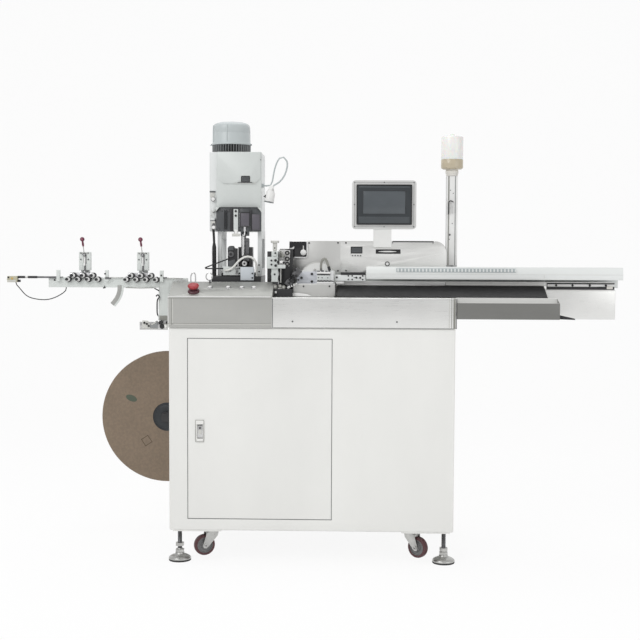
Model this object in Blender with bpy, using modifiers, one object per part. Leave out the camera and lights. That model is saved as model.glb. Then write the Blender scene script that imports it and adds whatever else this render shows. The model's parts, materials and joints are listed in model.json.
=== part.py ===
# Wire stripping and crimping machine: a sheet metal cabinet that carries a wire
# straightener, a feed, a crimping press with its applicator, a control box and a
# belt conveyor. Every size is in metres. X runs to the right, Y to the back and
# Z up. Places are measured from the middle of the cabinet's front edge on the
# floor, and one empty moves the whole machine so that its box stands on the origin.
import math

import bmesh
import bpy
from mathutils import Matrix, Vector

# Clearances
SEAT = 0.0003
RUNNING = 0.0003
SHEET = 0.002

# Cabinet
CABINET_WIDTH = 1.000
CABINET_DEPTH = 0.600
CABINET_BOTTOM = 0.120
CABINET_HEIGHT = 0.716
CABINET_TOP = CABINET_BOTTOM + CABINET_HEIGHT
CABINET_SIDE = CABINET_WIDTH / 2
EDGE_ROUND = 0.003
DOOR_WIDTH = 0.505
DOOR_HEIGHT = 0.636
DOOR_HINGE_X = 0.071
DOOR_BOTTOM = CABINET_BOTTOM + 0.042
DOOR_DEPTH = 0.018
DOOR_GAP = 0.0015
DOOR_STOP = 0.014
DOOR_LEFT = DOOR_HINGE_X - DOOR_WIDTH
DOOR_TOP = DOOR_BOTTOM + DOOR_HEIGHT
LATCH_FROM_EDGE = 0.043
LATCH_HEIGHT = 0.310
LATCH_WIDTH = 0.026
LATCH_LENGTH = 0.074
GLAND_RADIUS = 0.014

# Corner plates, levelling feet and castors
PLATE_LENGTH = 0.170
PLATE_WIDTH = 0.110
PLATE_THICKNESS = 0.005
PLATE_OUTER_X = CABINET_SIDE - 0.012
PLATE_INSET_Y = 0.004
FOOT_X = CABINET_SIDE - 0.030
FOOT_INSET_Y = 0.052
FOOT_PAD_RADIUS = 0.040
FOOT_ROD_RADIUS = 0.008
FOOT_SOLE = 0.006
CASTOR_X = CABINET_SIDE - 0.142
CASTOR_INSET_Y = 0.060
CASTOR_WHEEL_RADIUS = 0.0375
CASTOR_WHEEL_WIDTH = 0.024
CASTOR_TRAIL = 0.026
CASTOR_HEIGHT = 0.058
CASTOR_AXLE_RADIUS = 0.005
CASTOR_CROWN_RADIUS = 0.022
CASTOR_TURNS = (202, -37, 158, 30)

# Table pan and control console
TABLE_OVERHANG = 0.004
TABLE_HEIGHT = 0.107
TABLE_SIDE = CABINET_SIDE + TABLE_OVERHANG
TABLE_FRONT = -TABLE_OVERHANG
TABLE_BACK = CABINET_DEPTH + TABLE_OVERHANG
TABLE_LOW = CABINET_TOP + SEAT
TABLE_TOP = CABINET_TOP + TABLE_HEIGHT
TABLE_LIP = 0.028
TROUGH_FRONT = 0.036
TROUGH_BACK = 0.148
TROUGH_LEFT = 0.076
TROUGH_DEPTH = 0.020
CONSOLE_LEFT = -CABINET_SIDE
CONSOLE_RIGHT = -0.139
CONSOLE_SKIN = 0.0017
CONSOLE_RUN = 0.106
CONSOLE_RISE = 0.0485
CONSOLE_LIP = 0.0025
CONSOLE_FRONT = TABLE_FRONT - SEAT - CONSOLE_SKIN
CONSOLE_SLOPE = math.atan2(CONSOLE_RISE, CONSOLE_RUN)
ESTOP_X = CONSOLE_LEFT + 0.084
ESTOP_UP = 0.036
ESTOP_RADIUS = 0.020
ESTOP_STEM_RADIUS = 0.011
ESTOP_COLLAR_RADIUS = 0.0165
ESTOP_COLLAR_HEIGHT = 0.009
ESTOP_TRAVEL = 0.005
BUTTON_XS = (
    CONSOLE_LEFT + 0.138,
    CONSOLE_LEFT + 0.202,
    CONSOLE_LEFT + 0.250,
    CONSOLE_LEFT + 0.293,
)
BUTTON_UP = 0.069
BUTTON_RADIUS = 0.0068
BUTTON_RING = 0.0095
BUTTON_RING_HEIGHT = 0.0022
BUTTON_TRAVEL = 0.003
BUTTON_PROUD = 0.0042

# Press
PRESS_LEFT = -0.349
PRESS_RIGHT = -0.188
PRESS_FRONT = 0.166
PRESS_BACK = 0.350
PRESS_BASE_FRONT = 0.130
PRESS_BASE_LEFT = -0.366
PRESS_BASE_HEIGHT = 0.070
PRESS_BASE_TOP = TABLE_TOP + PRESS_BASE_HEIGHT
CHEEK = 0.014
HEAD_FRONT = 0.165
HEAD_LOW = TABLE_TOP + 0.231
HEAD_TOP = TABLE_TOP + 0.516
HEAD_STRIP_LEFT = -0.376
COVER_LOW = TABLE_TOP + 0.317
COVER_THICKNESS = 0.010
COVER_RAISED = 0.004
COVER_STEP_LOW = TABLE_TOP + 0.403
COVER_STEP_CHAMFER = 0.020
MOTOR_X = -0.305
MOTOR_Y = 0.250
MOTOR_RADIUS = 0.0715
MOTOR_FINS_HEIGHT = 0.032
MOTOR_COWL_HEIGHT = 0.083
MOTOR_RIBS = 16
GUIDE_FRONT = 0.140
GUIDE_CHAMFER = 0.016
RAM_X = -0.2465
RAM_WIDTH = 0.044
RAM_LOW = TABLE_TOP + 0.235
RAM_HEIGHT = 0.078
RAM_CLEVIS_WIDTH = 0.030
RAM_CLEVIS_HEIGHT = 0.020
HOOK_RADIUS = 0.0080
HOOK_NECK_RADIUS = 0.0040

# Applicator
APPLICATOR_LEFT = -0.332
APPLICATOR_RIGHT = -0.212
APPLICATOR_PLATE = 0.012
APPLICATOR_COLUMN_TOP = TABLE_TOP + 0.175
SLIDE_LEFT = -0.261
SLIDE_RIGHT = -0.232
SLIDE_ROD_RADIUS = 0.008
SLIDE_LOW = TABLE_TOP + 0.123
SLIDE_TOP = TABLE_TOP + 0.205
SLIDE_BACK = 0.172
SLEEVE_RADIUS = 0.0075
HOSE_RADIUS = 0.004

# Work lamp
LAMP_Y = 0.180
LAMP_NECK_RADIUS = 0.003
LAMP_TOP_RADIUS = 0.008
LAMP_RIM_RADIUS = 0.0165
LAMP_LENGTH = 0.056

# Wire feed tower and blades
WIRE_HEIGHT = TABLE_TOP + 0.064
WIRE_Y = 0.112
FEED_BACK = 0.134
FEED_PLATE = 0.010
FEED_TOP = WIRE_HEIGHT + 0.096
FEED_COLUMN_LEFT = -0.146
FEED_COLUMN_RIGHT = -0.124
FEED_FRONT = 0.082
FEED_COLUMN_DEPTH = 0.022
FEED_BASE_TOP = TABLE_TOP + 0.027
FEED_LEFT = -0.165
FEED_RIGHT = -0.072
FEED_X = (FEED_COLUMN_LEFT + FEED_COLUMN_RIGHT) / 2
FEED_WHEEL_RADIUS = 0.0150
FEED_WHEEL_WIDTH = 0.010
FEED_WHEEL_GAP = 0.0016
FEED_SHAFT_RADIUS = 0.005
KNOB_RADIUS = 0.015
KNOB_CAP_HEIGHT = 0.009
KNOB_STEM_RADIUS = 0.010
KNOB_STEM_HEIGHT = 0.029
GUIDE_ROLLER_X = -0.093
GUIDE_ROLLER_HEIGHTS = (WIRE_HEIGHT + 0.091, WIRE_HEIGHT + 0.070, WIRE_HEIGHT + 0.051)
GUIDE_ROLLER_RADIUS = 0.0078
BLADE_X = -0.073
BLADE_WIDTH = 0.024
BLADE_FRONT = 0.098
BLADE_OPENING = 0.010
BLADE_TURN = math.radians(38)

# Transfer gripper and pull-out carriage
BRACKET_LEFT = -0.070
BRACKET_RIGHT = 0.082
BRACKET_FRONT = 0.098
BRACKET_BACK = 0.157
BRACKET_HEIGHT = 0.045
DISC_X = 0.017
DISC_RADIUS = 0.070
GRIPPER_LEFT = 0.014
GRIPPER_RIGHT = 0.074
GRIPPER_FRONT = 0.103
GRIPPER_BACK = 0.121
GRIPPER_HEIGHT = 0.046
GRIPPER_PIVOT_X = 0.064
GRIPPER_POST_RADIUS = 0.005
CARRIAGE_LEFT = 0.078
CARRIAGE_LENGTH = 0.110
CARRIAGE_FRONT = 0.116
CARRIAGE_BACK = 0.166
CARRIAGE_HEIGHT = 0.022

# Control box and touch panel
BOX_LEFT = -0.076
BOX_RIGHT = 0.4805
BOX_FRONT = 0.200
BOX_BACK = 0.540
BOX_HEIGHT = 0.198
BOX_TOP = TABLE_TOP + SEAT + BOX_HEIGHT
BOX_CORNER = 0.040
WINDOW_LEFT = -0.089
WINDOW_WIDTH = 0.065
WINDOW_HEIGHT = 0.057
METER_X = 0.155
METER_WIDTH = 0.042
SLOT_X = 0.270
SLOT_WIDTH = 0.090
SLOT_HEIGHT = 0.016
BOX_BUTTON_X = 0.267
BOX_BUTTON_HEIGHT = BOX_TOP - 0.0823
BOX_BUTTON_RADIUS = 0.0055
BOX_BUTTON_RING = 0.0080
PANEL_X = 0.254
PANEL_WIDTH = 0.232
PANEL_HEIGHT = 0.176
PANEL_LOW = TABLE_TOP + 0.242
PANEL_FRONT = 0.190
PANEL_DEPTH = 0.048
PANEL_CORNER = 0.012
BEZEL_WIDTH = 0.200
BEZEL_HEIGHT = 0.145
BEZEL_THICKNESS = 0.005
SCREEN_WIDTH = 0.153
SCREEN_HEIGHT = 0.083
NECK_X = 0.2485
NECK_WIDTH = 0.065

# Pole and oil reservoir
POLE_X = 0.5025
POLE_Y = 0.260
POLE_SIZE = 0.040
POLE_TOP = TABLE_TOP + 0.437
POLE_SLOT = 0.008
POLE_SLOT_DEPTH = 0.006
COLLAR_RADIUS = 0.023
COLLAR_HEIGHT = 0.023
CUP_RADIUS = 0.0405
CUP_HEIGHT = 0.122
CUP_NUB = 0.008

# Conveyor, beam, cover and catch tray
BEAM_RIGHT = 1.082
BEAM_FRONT = 0.150
BEAM_BACK = 0.300
BEAM_LOW = TABLE_TOP - 0.079
BEAM_TOP = TABLE_TOP + 0.026
RAIL_FRONT = 0.1445
RAIL_BACK = 0.170
SILL_TOP = TABLE_TOP + 0.032
RAIL_TOP = TABLE_TOP + 0.055
RAIL_RIGHT = 1.071
BELT_LEFT = 0.085
BELT_RIGHT = 0.827
BELT_LOW_Y = 0.050
BELT_LOW = TABLE_TOP + 0.003
BELT_RUN = 0.088
BELT_RISE = 0.037
BELT_SLOPE = math.atan2(BELT_RISE, BELT_RUN)
BELT_WIDTH = math.hypot(BELT_RUN, BELT_RISE)
BELT_LOOP_RADIUS = 0.006
BELT_THICKNESS = 0.0014
COVER_LEFT = 0.190
COVER_RIGHT = 1.100
COVER_FRONT = 0.110
COVER_BACK = BOX_FRONT - SEAT
RAIL_COVER_LOW = RAIL_TOP + 0.008
RAIL_COVER_TOP = RAIL_COVER_LOW + 0.044
TRAY_RIGHT = 0.858
TRAY_FRONT = -0.012
TRAY_LOW = TABLE_TOP - 0.07
TRAY_WALL = 0.055
TRAY_FLOOR = 0.026
TRAY_BACK_TOP = TABLE_TOP + 0.001
TRAY_BACK_Y = 0.042
TRAY_SKIN = 0.0016

# Straightener
ARM_LEFT = -CABINET_SIDE - 0.451
ARM_RIGHT = -CABINET_SIDE - 0.05
ARM_FRONT = 0.118
ARM_PLATE = 0.008
ARM_LOW = WIRE_HEIGHT - 0.036
ARM_TOP = WIRE_HEIGHT
ROLLER_RADIUS = 0.0090
ROLLER_WIDTH = 0.010
ROLLER_GROOVE = 0.0012
ROLLER_STEP = 0.0355
LOWER_ROLLERS = 4
UPPER_ROLLERS = 3
LOWER_ROLLER_HEIGHT = WIRE_HEIGHT - 0.007
UPPER_ROLLER_HEIGHT = WIRE_HEIGHT + 0.007
BANK_XS = (-CABINET_SIDE - 0.329, -CABINET_SIDE - 0.12)
TOWER_WIDTH = 0.041
TOWER_LOW = WIRE_HEIGHT + 0.025
TOWER_TOP = WIRE_HEIGHT + 0.091
TOWER_SLOT = 0.009
LEVER_RADIUS = 0.003
LEVER_LENGTH = 0.050
LEVER_BALL = 0.0075
TOWER_OFFSET = 0.010
EYELET_XS = (-CABINET_SIDE - 0.42, -CABINET_SIDE - 0.245, -CABINET_SIDE - 0.048)
EYELET_WIDTH = 0.012
SENSOR_LEFT = -CABINET_SIDE - 0.595
SENSOR_WIDTH = 0.034
SENSOR_HEIGHT = 0.021
SENSOR_TIP = 0.005

# Terminal reel
REEL_X = -CABINET_SIDE - 0.103
REEL_HEIGHT = 0.434
REEL_RADIUS = 0.2625
REEL_FRONT = CABINET_DEPTH + 0.030
REEL_WIDTH = 0.044
REEL_FLANGE = 0.003
REEL_CORE_RADIUS = 0.190
REEL_HUB_RADIUS = 0.056
REEL_AXLE_RADIUS = 0.0125
REEL_AXLE_END = CABINET_DEPTH + 0.100
REEL_BAR = 0.012
REEL_BAR_SEAT = 0.070
REEL_HUB_PROUD = 0.003

# How far the machine reaches from the cabinet's front edge, to centre it
REACH_SIDE = 0.0
REACH_FRONT = TRAY_FRONT - TRAY_SKIN
CENTRE_Y = -(REEL_AXLE_END + REACH_FRONT) / 2

# Finishes: red, green, blue, roughness and metallic value
FINISHES = {
    "white_paint": (0.80, 0.80, 0.78, 0.45, 0.0),
    "press_white": (0.74, 0.76, 0.76, 0.40, 0.0),
    "black_paint": (0.03, 0.03, 0.032, 0.50, 0.0),
    "dark_casting": (0.08, 0.085, 0.09, 0.45, 0.3),
    "stainless": (0.60, 0.60, 0.58, 0.32, 1.0),
    "steel": (0.66, 0.66, 0.66, 0.28, 1.0),
    "zinc": (0.52, 0.52, 0.50, 0.38, 1.0),
    "aluminium": (0.60, 0.60, 0.61, 0.40, 1.0),
    "cowl_grey": (0.54, 0.57, 0.58, 0.42, 0.0),
    "tyre_maroon": (0.10, 0.03, 0.035, 0.60, 0.0),
    "red_plastic": (0.50, 0.04, 0.05, 0.35, 0.0),
    "belt": (0.045, 0.045, 0.048, 0.75, 0.0),
    "cup_plastic": (0.85, 0.83, 0.76, 0.35, 0.0),
    "cardboard": (0.26, 0.20, 0.14, 0.85, 0.0),
    "hose_white": (0.75, 0.75, 0.72, 0.40, 0.0),
    "cable_black": (0.02, 0.02, 0.02, 0.55, 0.0),
    "panel_dark": (0.05, 0.055, 0.06, 0.35, 0.0),
}


# Scene, collections and finishes
def clear_scene():
    for found in list(bpy.data.objects):
        bpy.data.objects.remove(found)


def new_collection(name, hidden=False):
    made = bpy.data.collections.new(name)
    made.hide_render = hidden
    bpy.context.scene.collection.children.link(made)
    return made


def finish(name):
    found = bpy.data.materials.get(name)
    if found:
        return found
    red, green, blue, roughness, metallic = FINISHES[name]
    made = bpy.data.materials.new(name)
    made.use_nodes = True
    shader = made.node_tree.nodes["Principled BSDF"]
    shader.inputs["Base Color"].default_value = (red, green, blue, 1)
    shader.inputs["Roughness"].default_value = roughness
    shader.inputs["Metallic"].default_value = metallic
    return made


# Shapes: each of these returns a working object that a part is then fused from
def working(mesh, matrix=None):
    if matrix is not None:
        mesh.transform(matrix)
    made = bpy.data.objects.new("working", mesh)
    WORK.objects.link(made)
    return made


def from_bmesh(shape, matrix=None):
    mesh = bpy.data.meshes.new("working")
    shape.to_mesh(mesh)
    shape.free()
    return working(mesh, matrix)


def baked(made):
    """The object's evaluated mesh as a new working object, in place of the object."""
    graph = bpy.context.evaluated_depsgraph_get()
    graph.update()
    mesh = bpy.data.meshes.new_from_object(made.evaluated_get(graph))
    shape = bmesh.new()
    shape.from_mesh(mesh)
    bmesh.ops.remove_doubles(shape, verts=shape.verts, dist=1e-6)
    shape.to_mesh(mesh)
    shape.free()
    mesh.transform(made.matrix_world)
    bpy.data.objects.remove(made)
    return working(mesh)


def block(x, y, z, round_by=0.0):
    shape = bmesh.new()
    bmesh.ops.create_cube(shape, size=1)
    size = Matrix.Diagonal((x[1] - x[0], y[1] - y[0], z[1] - z[0], 1))
    centre = Vector((sum(x) / 2, sum(y) / 2, sum(z) / 2))
    bmesh.ops.transform(shape, matrix=Matrix.Translation(centre) @ size, verts=shape.verts)
    if round_by:
        bmesh.ops.bevel(shape, geom=shape.edges[:], offset=round_by, segments=1, affect="EDGES")
    return from_bmesh(shape)


def along(start, end):
    """The place and turn that carry the Z axis onto the line from start to end."""
    start = Vector(start)
    way = Vector(end) - start
    return Matrix.Translation(start + way / 2) @ way.to_track_quat("Z", "Y").to_matrix().to_4x4()


def rod(start, end, radius, sides=16, end_radius=None, turn=0.0):
    shape = bmesh.new()
    bmesh.ops.create_cone(
        shape,
        cap_ends=True,
        segments=sides,
        radius1=radius,
        radius2=radius if end_radius is None else end_radius,
        depth=(Vector(end) - Vector(start)).length,
    )
    return from_bmesh(shape, along(start, end) @ Matrix.Rotation(turn, 4, "Z"))


def ball(centre, radius, sides=12):
    shape = bmesh.new()
    bmesh.ops.create_uvsphere(shape, u_segments=sides, v_segments=sides // 2, radius=radius)
    return from_bmesh(shape, Matrix.Translation(centre))


PLANES = {
    "XZ": Matrix(((1, 0, 0, 0), (0, 0, -1, 0), (0, 1, 0, 0), (0, 0, 0, 1))),
    "YZ": Matrix(((0, 0, 1, 0), (1, 0, 0, 0), (0, 1, 0, 0), (0, 0, 0, 1))),
    "XY": Matrix.Identity(4),
}


def slab(points, plane, low, high):
    """A flat outline in a plane, made solid from low to high across that plane."""
    shape = bmesh.new()
    levels = (-high, -low) if plane == "XZ" else (low, high)
    first, last = [
        [shape.verts.new((across, up, level)) for across, up in points] for level in levels
    ]
    shape.faces.new(first)
    shape.faces.new(last)
    for index in range(len(points)):
        shape.faces.new((first[index - 1], first[index], last[index], last[index - 1]))
    bmesh.ops.recalc_face_normals(shape, faces=shape.faces[:])
    return from_bmesh(shape, PLANES[plane])


def strip(points, plane, low, high, thickness):
    """A sheet bent along a line of points: the line, offset to one side, as a slab."""
    count = len(points)
    normals = []
    for index in range(count - 1):
        run = Vector(points[index + 1]) - Vector(points[index])
        normals.append(Vector((-run.y, run.x)).normalized())
    back = []
    for index in range(count):
        first = normals[max(index - 1, 0)]
        second = normals[min(index, count - 2)]
        middle = (first + second).normalized()
        back.append(Vector(points[index]) + middle * thickness / middle.dot(first))
    outline = [tuple(point) for point in points] + [tuple(point) for point in reversed(back)]
    return slab(outline, plane, low, high)


TURNS = {
    "Z": Matrix.Identity(4),
    "Y": Matrix.Rotation(math.pi / 2, 4, "X"),
    "X": Matrix.Rotation(math.pi / 2, 4, "Y"),
    "console": Matrix.Rotation(CONSOLE_SLOPE, 4, "X"),
}


def turned(profile, centre, axis="Z", steps=24):
    """A profile of (radius, height) from top to bottom, turned about an axis."""
    mesh = bpy.data.meshes.new("profile")
    mesh.from_pydata(
        [(radius, 0, height) for radius, height in profile],
        [(index, index + 1) for index in range(len(profile) - 1)],
        [],
    )
    made = bpy.data.objects.new("profile", mesh)
    WORK.objects.link(made)
    screw = made.modifiers.new("Screw", "SCREW")
    screw.steps = steps
    screw.render_steps = steps
    screw.use_merge_vertices = True
    screw.merge_threshold = 1e-5
    turn = TURNS[axis]
    made.matrix_world = Matrix.Translation(centre) @ turn
    bpy.context.view_layer.update()
    return baked(made)


def smooth_route(points, step):
    """Points a step apart on a smooth curve through the given points."""
    knots = [Vector(point) for point in points]
    ends = [knots[0] * 2 - knots[1]] + knots + [knots[-1] * 2 - knots[-2]]
    route = [knots[0]]
    for first, start, end, last in zip(ends, ends[1:], ends[2:], ends[3:]):
        pieces = max(1, round((end - start).length / step))
        for index in range(1, pieces + 1):
            t = index / pieces
            route.append(
                (
                    2 * start
                    + (end - first) * t
                    + (2 * first - 5 * start + 4 * end - last) * t * t
                    + (3 * start - first - 3 * end + last) * t * t * t
                )
                / 2
            )
    return route


def tube(points, radius, radii=None, resolution=2):
    curve = bpy.data.curves.new("route", "CURVE")
    curve.dimensions = "3D"
    curve.bevel_depth = radius
    curve.bevel_resolution = resolution
    curve.use_fill_caps = True
    spline = curve.splines.new("POLY")
    spline.points.add(len(points) - 1)
    for index, place in enumerate(points):
        spline.points[index].co = (*place, 1)
        spline.points[index].radius = radii[index] if radii else 1
    made = bpy.data.objects.new("route", curve)
    WORK.objects.link(made)
    bpy.context.view_layer.update()
    return baked(made)


def boolean(target, other, operation):
    step = target.modifiers.new(operation.title(), "BOOLEAN")
    step.operation = operation
    step.object = other
    bpy.context.view_layer.update()
    made = baked(target)
    bpy.data.objects.remove(other)
    return made


def cut(target, *cutters):
    for cutter in cutters:
        target = boolean(target, cutter, "DIFFERENCE")
    return target


def fuse(target, *others):
    for other in others:
        target = boolean(target, other, "UNION")
    return target


def turn_about(made, pivot, angle, axis):
    made.data.transform(
        Matrix.Translation(pivot) @ Matrix.Rotation(angle, 4, axis) @ Matrix.Translation(-Vector(pivot))
    )
    return made


# Parts: a finished shape becomes a named object with its origin at a chosen place
def part(name, made, material, origin=(0, 0, 0), parent=None, smooth=True):
    mesh = made.data
    bpy.data.objects.remove(made)
    mesh.name = name
    mesh.transform(Matrix.Translation(-Vector(origin)))
    mesh.materials.clear()
    mesh.materials.append(finish(material))
    if smooth:
        mesh.shade_smooth()
        mesh.set_sharp_from_angle(angle=math.radians(32))
    return place(name, mesh, origin, parent)


def place(name, mesh, origin, parent=None, turn=0.0):
    made = bpy.data.objects.new(name, mesh)
    made.location = origin
    made.rotation_euler = (0, 0, turn)
    made.parent = parent or MACHINE
    MODEL.objects.link(made)
    return made


def empty(name, location, turn=0.0):
    made = bpy.data.objects.new(name, None)
    made.location = location
    made.rotation_euler = (0, 0, turn)
    made.parent = MACHINE
    MODEL.objects.link(made)
    return made


clear_scene()
MODEL = new_collection("wire_stripping_crimping_machine")
WORK = new_collection("working_shapes", hidden=True)
MACHINE = bpy.data.objects.new("machine", None)
MACHINE.location = (REACH_SIDE, CENTRE_Y, 0)
MODEL.objects.link(MACHINE)


# Cabinet: a folded sheet box with a door frame, corner plates and a cable gland
def corner_plates():
    plates = []
    low = CABINET_BOTTOM - PLATE_THICKNESS
    high = CABINET_BOTTOM + SHEET / 2
    inner = PLATE_OUTER_X - PLATE_LENGTH
    depth = CABINET_DEPTH
    fronts = (PLATE_INSET_Y, depth - PLATE_INSET_Y - PLATE_WIDTH)
    for x in ((-PLATE_OUTER_X, -inner), (inner, PLATE_OUTER_X)):
        for front in fronts:
            plates.append(block(x, (front, front + PLATE_WIDTH), (low, high)))
    return plates


def foot_places():
    backs = (FOOT_INSET_Y, CABINET_DEPTH - FOOT_INSET_Y)
    return [(side * FOOT_X, y, 0) for y in backs for side in (-1, 1)]


def castor_places():
    backs = (CASTOR_INSET_Y, CABINET_DEPTH - CASTOR_INSET_Y)
    top = CABINET_BOTTOM - PLATE_THICKNESS
    return [(side * CASTOR_X, y, top) for y in backs for side in (-1, 1)]


def cabinet_shell():
    side = CABINET_SIDE
    back = CABINET_DEPTH
    low = CABINET_BOTTOM
    top = CABINET_TOP
    shell = block((-side, side), (0, back), (low, top), EDGE_ROUND)
    inside = block(
        (-side + SHEET, side - SHEET), (SHEET, back - SHEET), (low + SHEET, top - SHEET)
    )
    shell = cut(shell, inside)
    gap = DOOR_GAP
    left = DOOR_LEFT - gap
    right = DOOR_HINGE_X + gap
    bottom = DOOR_BOTTOM - gap
    head = DOOR_TOP + gap
    jamb_back = DOOR_DEPTH + SEAT + SHEET
    frame = block(
        (left - SHEET, right + SHEET),
        (SHEET / 2, jamb_back),
        (bottom - SHEET, head + SHEET),
    )
    shell = fuse(shell, frame)
    shell = cut(
        shell,
        block((left, right), (-SHEET, DOOR_DEPTH + SEAT), (bottom, head)),
        block(
            (left + DOOR_STOP, right - DOOR_STOP),
            (SHEET, jamb_back + SHEET),
            (bottom + DOOR_STOP, head - DOOR_STOP),
        ),
    )
    shell = fuse(shell, *corner_plates())
    for x, y, _ in foot_places():
        hole = FOOT_ROD_RADIUS + SEAT
        shell = cut(shell, rod((x, y, low - 0.02), (x, y, low + 0.02), hole))
    gland_y = back - SHEET / 2
    gland = rod(
        (side - 0.1, gland_y, low + 0.08),
        (side - 0.1, back + 0.016, low + 0.08),
        GLAND_RADIUS,
        6,
    )
    return part("cabinet_shell", fuse(shell, gland), "white_paint")


def cabinet_door():
    low = DOOR_BOTTOM
    top = DOOR_TOP
    right = DOOR_HINGE_X
    left = DOOR_LEFT
    door = block((left, right), (0, DOOR_DEPTH), (low, top), 0.0012)
    hollow = block(
        (left + SHEET, right - SHEET), (SHEET, DOOR_DEPTH + SHEET), (low + SHEET, top - SHEET)
    )
    door = cut(door, hollow)
    x, z = latch_centre()
    half = LATCH_WIDTH / 2
    tall = LATCH_LENGTH / 2
    body = block((x - half, x + half), (-0.0015, DOOR_DEPTH - 0.002), (z - tall, z + tall))
    door = fuse(door, body)
    pocket = block((x - 0.010, x + 0.010), (-0.004, 0.012), (z - 0.0265, z + 0.031))
    return part("cabinet_door", cut(door, pocket), "white_paint", (right, 0, low))


def latch_centre():
    return DOOR_LEFT + LATCH_FROM_EDGE, DOOR_BOTTOM + LATCH_HEIGHT


def door_latch_paddle():
    x, z = latch_centre()
    hinge = (x, 0.004, z - 0.021)
    paddle = block((x - 0.0095, x + 0.0095), (0.0005, 0.0045), (z - 0.0235, z + 0.020), 0.0005)
    pin = rod((x - 0.0097, 0.006, z - 0.0205), (x + 0.0097, 0.006, z - 0.0205), 0.0028, 12)
    barrel = rod((x, -0.0012, z - 0.011), (x, 0.003, z - 0.011), 0.006, 16)
    return part("door_latch_paddle", fuse(paddle, pin, barrel), "steel", hinge)


# Levelling feet and castors
def levelling_feet():
    top = CABINET_BOTTOM - PLATE_THICKNESS
    pad = FOOT_PAD_RADIUS
    stem = FOOT_ROD_RADIUS
    profile = [
        (0, CABINET_BOTTOM + 0.010),
        (stem, CABINET_BOTTOM + 0.010),
        (stem, 0.036),
        (0.013, 0.030),
        (pad - 0.006, FOOT_SOLE + 0.009),
        (pad, FOOT_SOLE + 0.003),
        (pad - 0.003, 0),
        (0, 0),
    ]
    nut_top = top - SEAT
    foot = turned(profile, (0, 0, 0), "Z", 16)
    foot = fuse(
        foot,
        rod((0, 0, nut_top - 0.010), (0, 0, nut_top), 0.0139, 6),
        rod((0, 0, 0.040), (0, 0, 0.050), 0.0139, 6),
    )
    names = ("front_left", "front_right", "back_left", "back_right")
    first = part("levelling_foot_front_left", foot, "zinc")
    first.location = foot_places()[0]
    for name, spot in list(zip(names, foot_places()))[1:]:
        place("levelling_foot_" + name, first.data, spot)


def castor_fork():
    crown = CASTOR_CROWN_RADIUS
    half = CASTOR_WHEEL_WIDTH / 2 + 0.003
    wall = 0.0025
    drop = -CASTOR_HEIGHT
    bearing = turned(
        [(0, -SEAT), (0.018, -SEAT), (crown, -0.006), (crown, -0.013), (0, -0.013)],
        (0, 0, 0),
        "Z",
        12,
    )
    cheek_outline = [
        (-crown, -0.011),
        (-crown + 0.003, -0.024),
        (CASTOR_TRAIL - 0.010, drop - 0.006),
        (CASTOR_TRAIL - 0.003, drop - 0.011),
        (CASTOR_TRAIL + 0.005, drop - 0.010),
        (CASTOR_TRAIL + 0.010, drop - 0.002),
        (crown + 0.002, -0.022),
        (crown, -0.011),
    ]
    bridge = block((-crown, crown), (-half - wall, half + wall), (-0.0135, -0.011))
    fork = fuse(bearing, bridge)
    for side in (-1, 1):
        low, high = sorted((side * half, side * (half + wall)))
        fork = fuse(fork, slab(cheek_outline, "XZ", low, high))
    reach = half + wall + 0.003
    axle = rod((CASTOR_TRAIL, -reach, drop), (CASTOR_TRAIL, reach, drop), CASTOR_AXLE_RADIUS, 8)
    return fuse(fork, axle)


def castor_wheel():
    half = CASTOR_WHEEL_WIDTH / 2
    tread = CASTOR_WHEEL_RADIUS
    bore = CASTOR_AXLE_RADIUS + RUNNING
    profile = [
        (bore, half + 0.002),
        (0.013, half + 0.002),
        (0.016, half - 0.001),
        (tread - 0.003, half - 0.001),
        (tread, half - 0.005),
        (tread, -half + 0.005),
        (tread - 0.003, -half + 0.001),
        (0.016, -half + 0.001),
        (0.013, -half - 0.002),
        (bore, -half - 0.002),
        (bore, half + 0.002),
    ]
    return turned(profile, (0, 0, 0), "Y", 16)


def castors():
    fork = castor_fork().data
    wheel = castor_wheel().data
    names = ("front_left", "front_right", "back_left", "back_right")
    for mesh, material in ((fork, "zinc"), (wheel, "tyre_maroon")):
        mesh.materials.append(finish(material))
        mesh.shade_smooth()
        mesh.set_sharp_from_angle(angle=math.radians(32))
    for name, spot, degrees in zip(names, castor_places(), CASTOR_TURNS):
        swivel = empty("castor_swivel_" + name, spot, math.radians(degrees))
        place("castor_fork_" + name, fork, (0, 0, 0), swivel)
        place("castor_wheel_" + name, wheel, (CASTOR_TRAIL, 0, -CASTOR_HEIGHT), swivel)


# Table pan and control console
def table_pan():
    side = TABLE_SIDE
    low = TABLE_LOW
    top = TABLE_TOP
    pan = block((-side, side), (TABLE_FRONT, TABLE_BACK), (low, top), 0.002)
    pan = cut(
        pan,
        block(
            (-side + SHEET, side - SHEET),
            (TABLE_FRONT + SHEET, TABLE_BACK - SHEET),
            (low + SHEET, top - SHEET),
        ),
        block(
            (-side + TABLE_LIP, side - TABLE_LIP),
            (TABLE_FRONT + TABLE_LIP, TABLE_BACK - TABLE_LIP),
            (low - SHEET, low + 2 * SHEET),
        ),
        block(
            (TROUGH_LEFT, side + SHEET),
            (TROUGH_FRONT, TROUGH_BACK),
            (top - TROUGH_DEPTH, top + SHEET),
        ),
    )
    return part("table_pan", pan, "stainless")


def console_point(up, proud=0.0):
    """A point on the sloping face, a distance up the slope and proud of it."""
    run = up * math.cos(CONSOLE_SLOPE) - proud * math.sin(CONSOLE_SLOPE)
    rise = up * math.sin(CONSOLE_SLOPE) + proud * math.cos(CONSOLE_SLOPE)
    return CONSOLE_FRONT + run, TABLE_TOP + CONSOLE_LIP + rise


def console_rod(x, up, start, end, radius, sides=16):
    return rod((x, *console_point(up, start)), (x, *console_point(up, end)), radius, sides)


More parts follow.
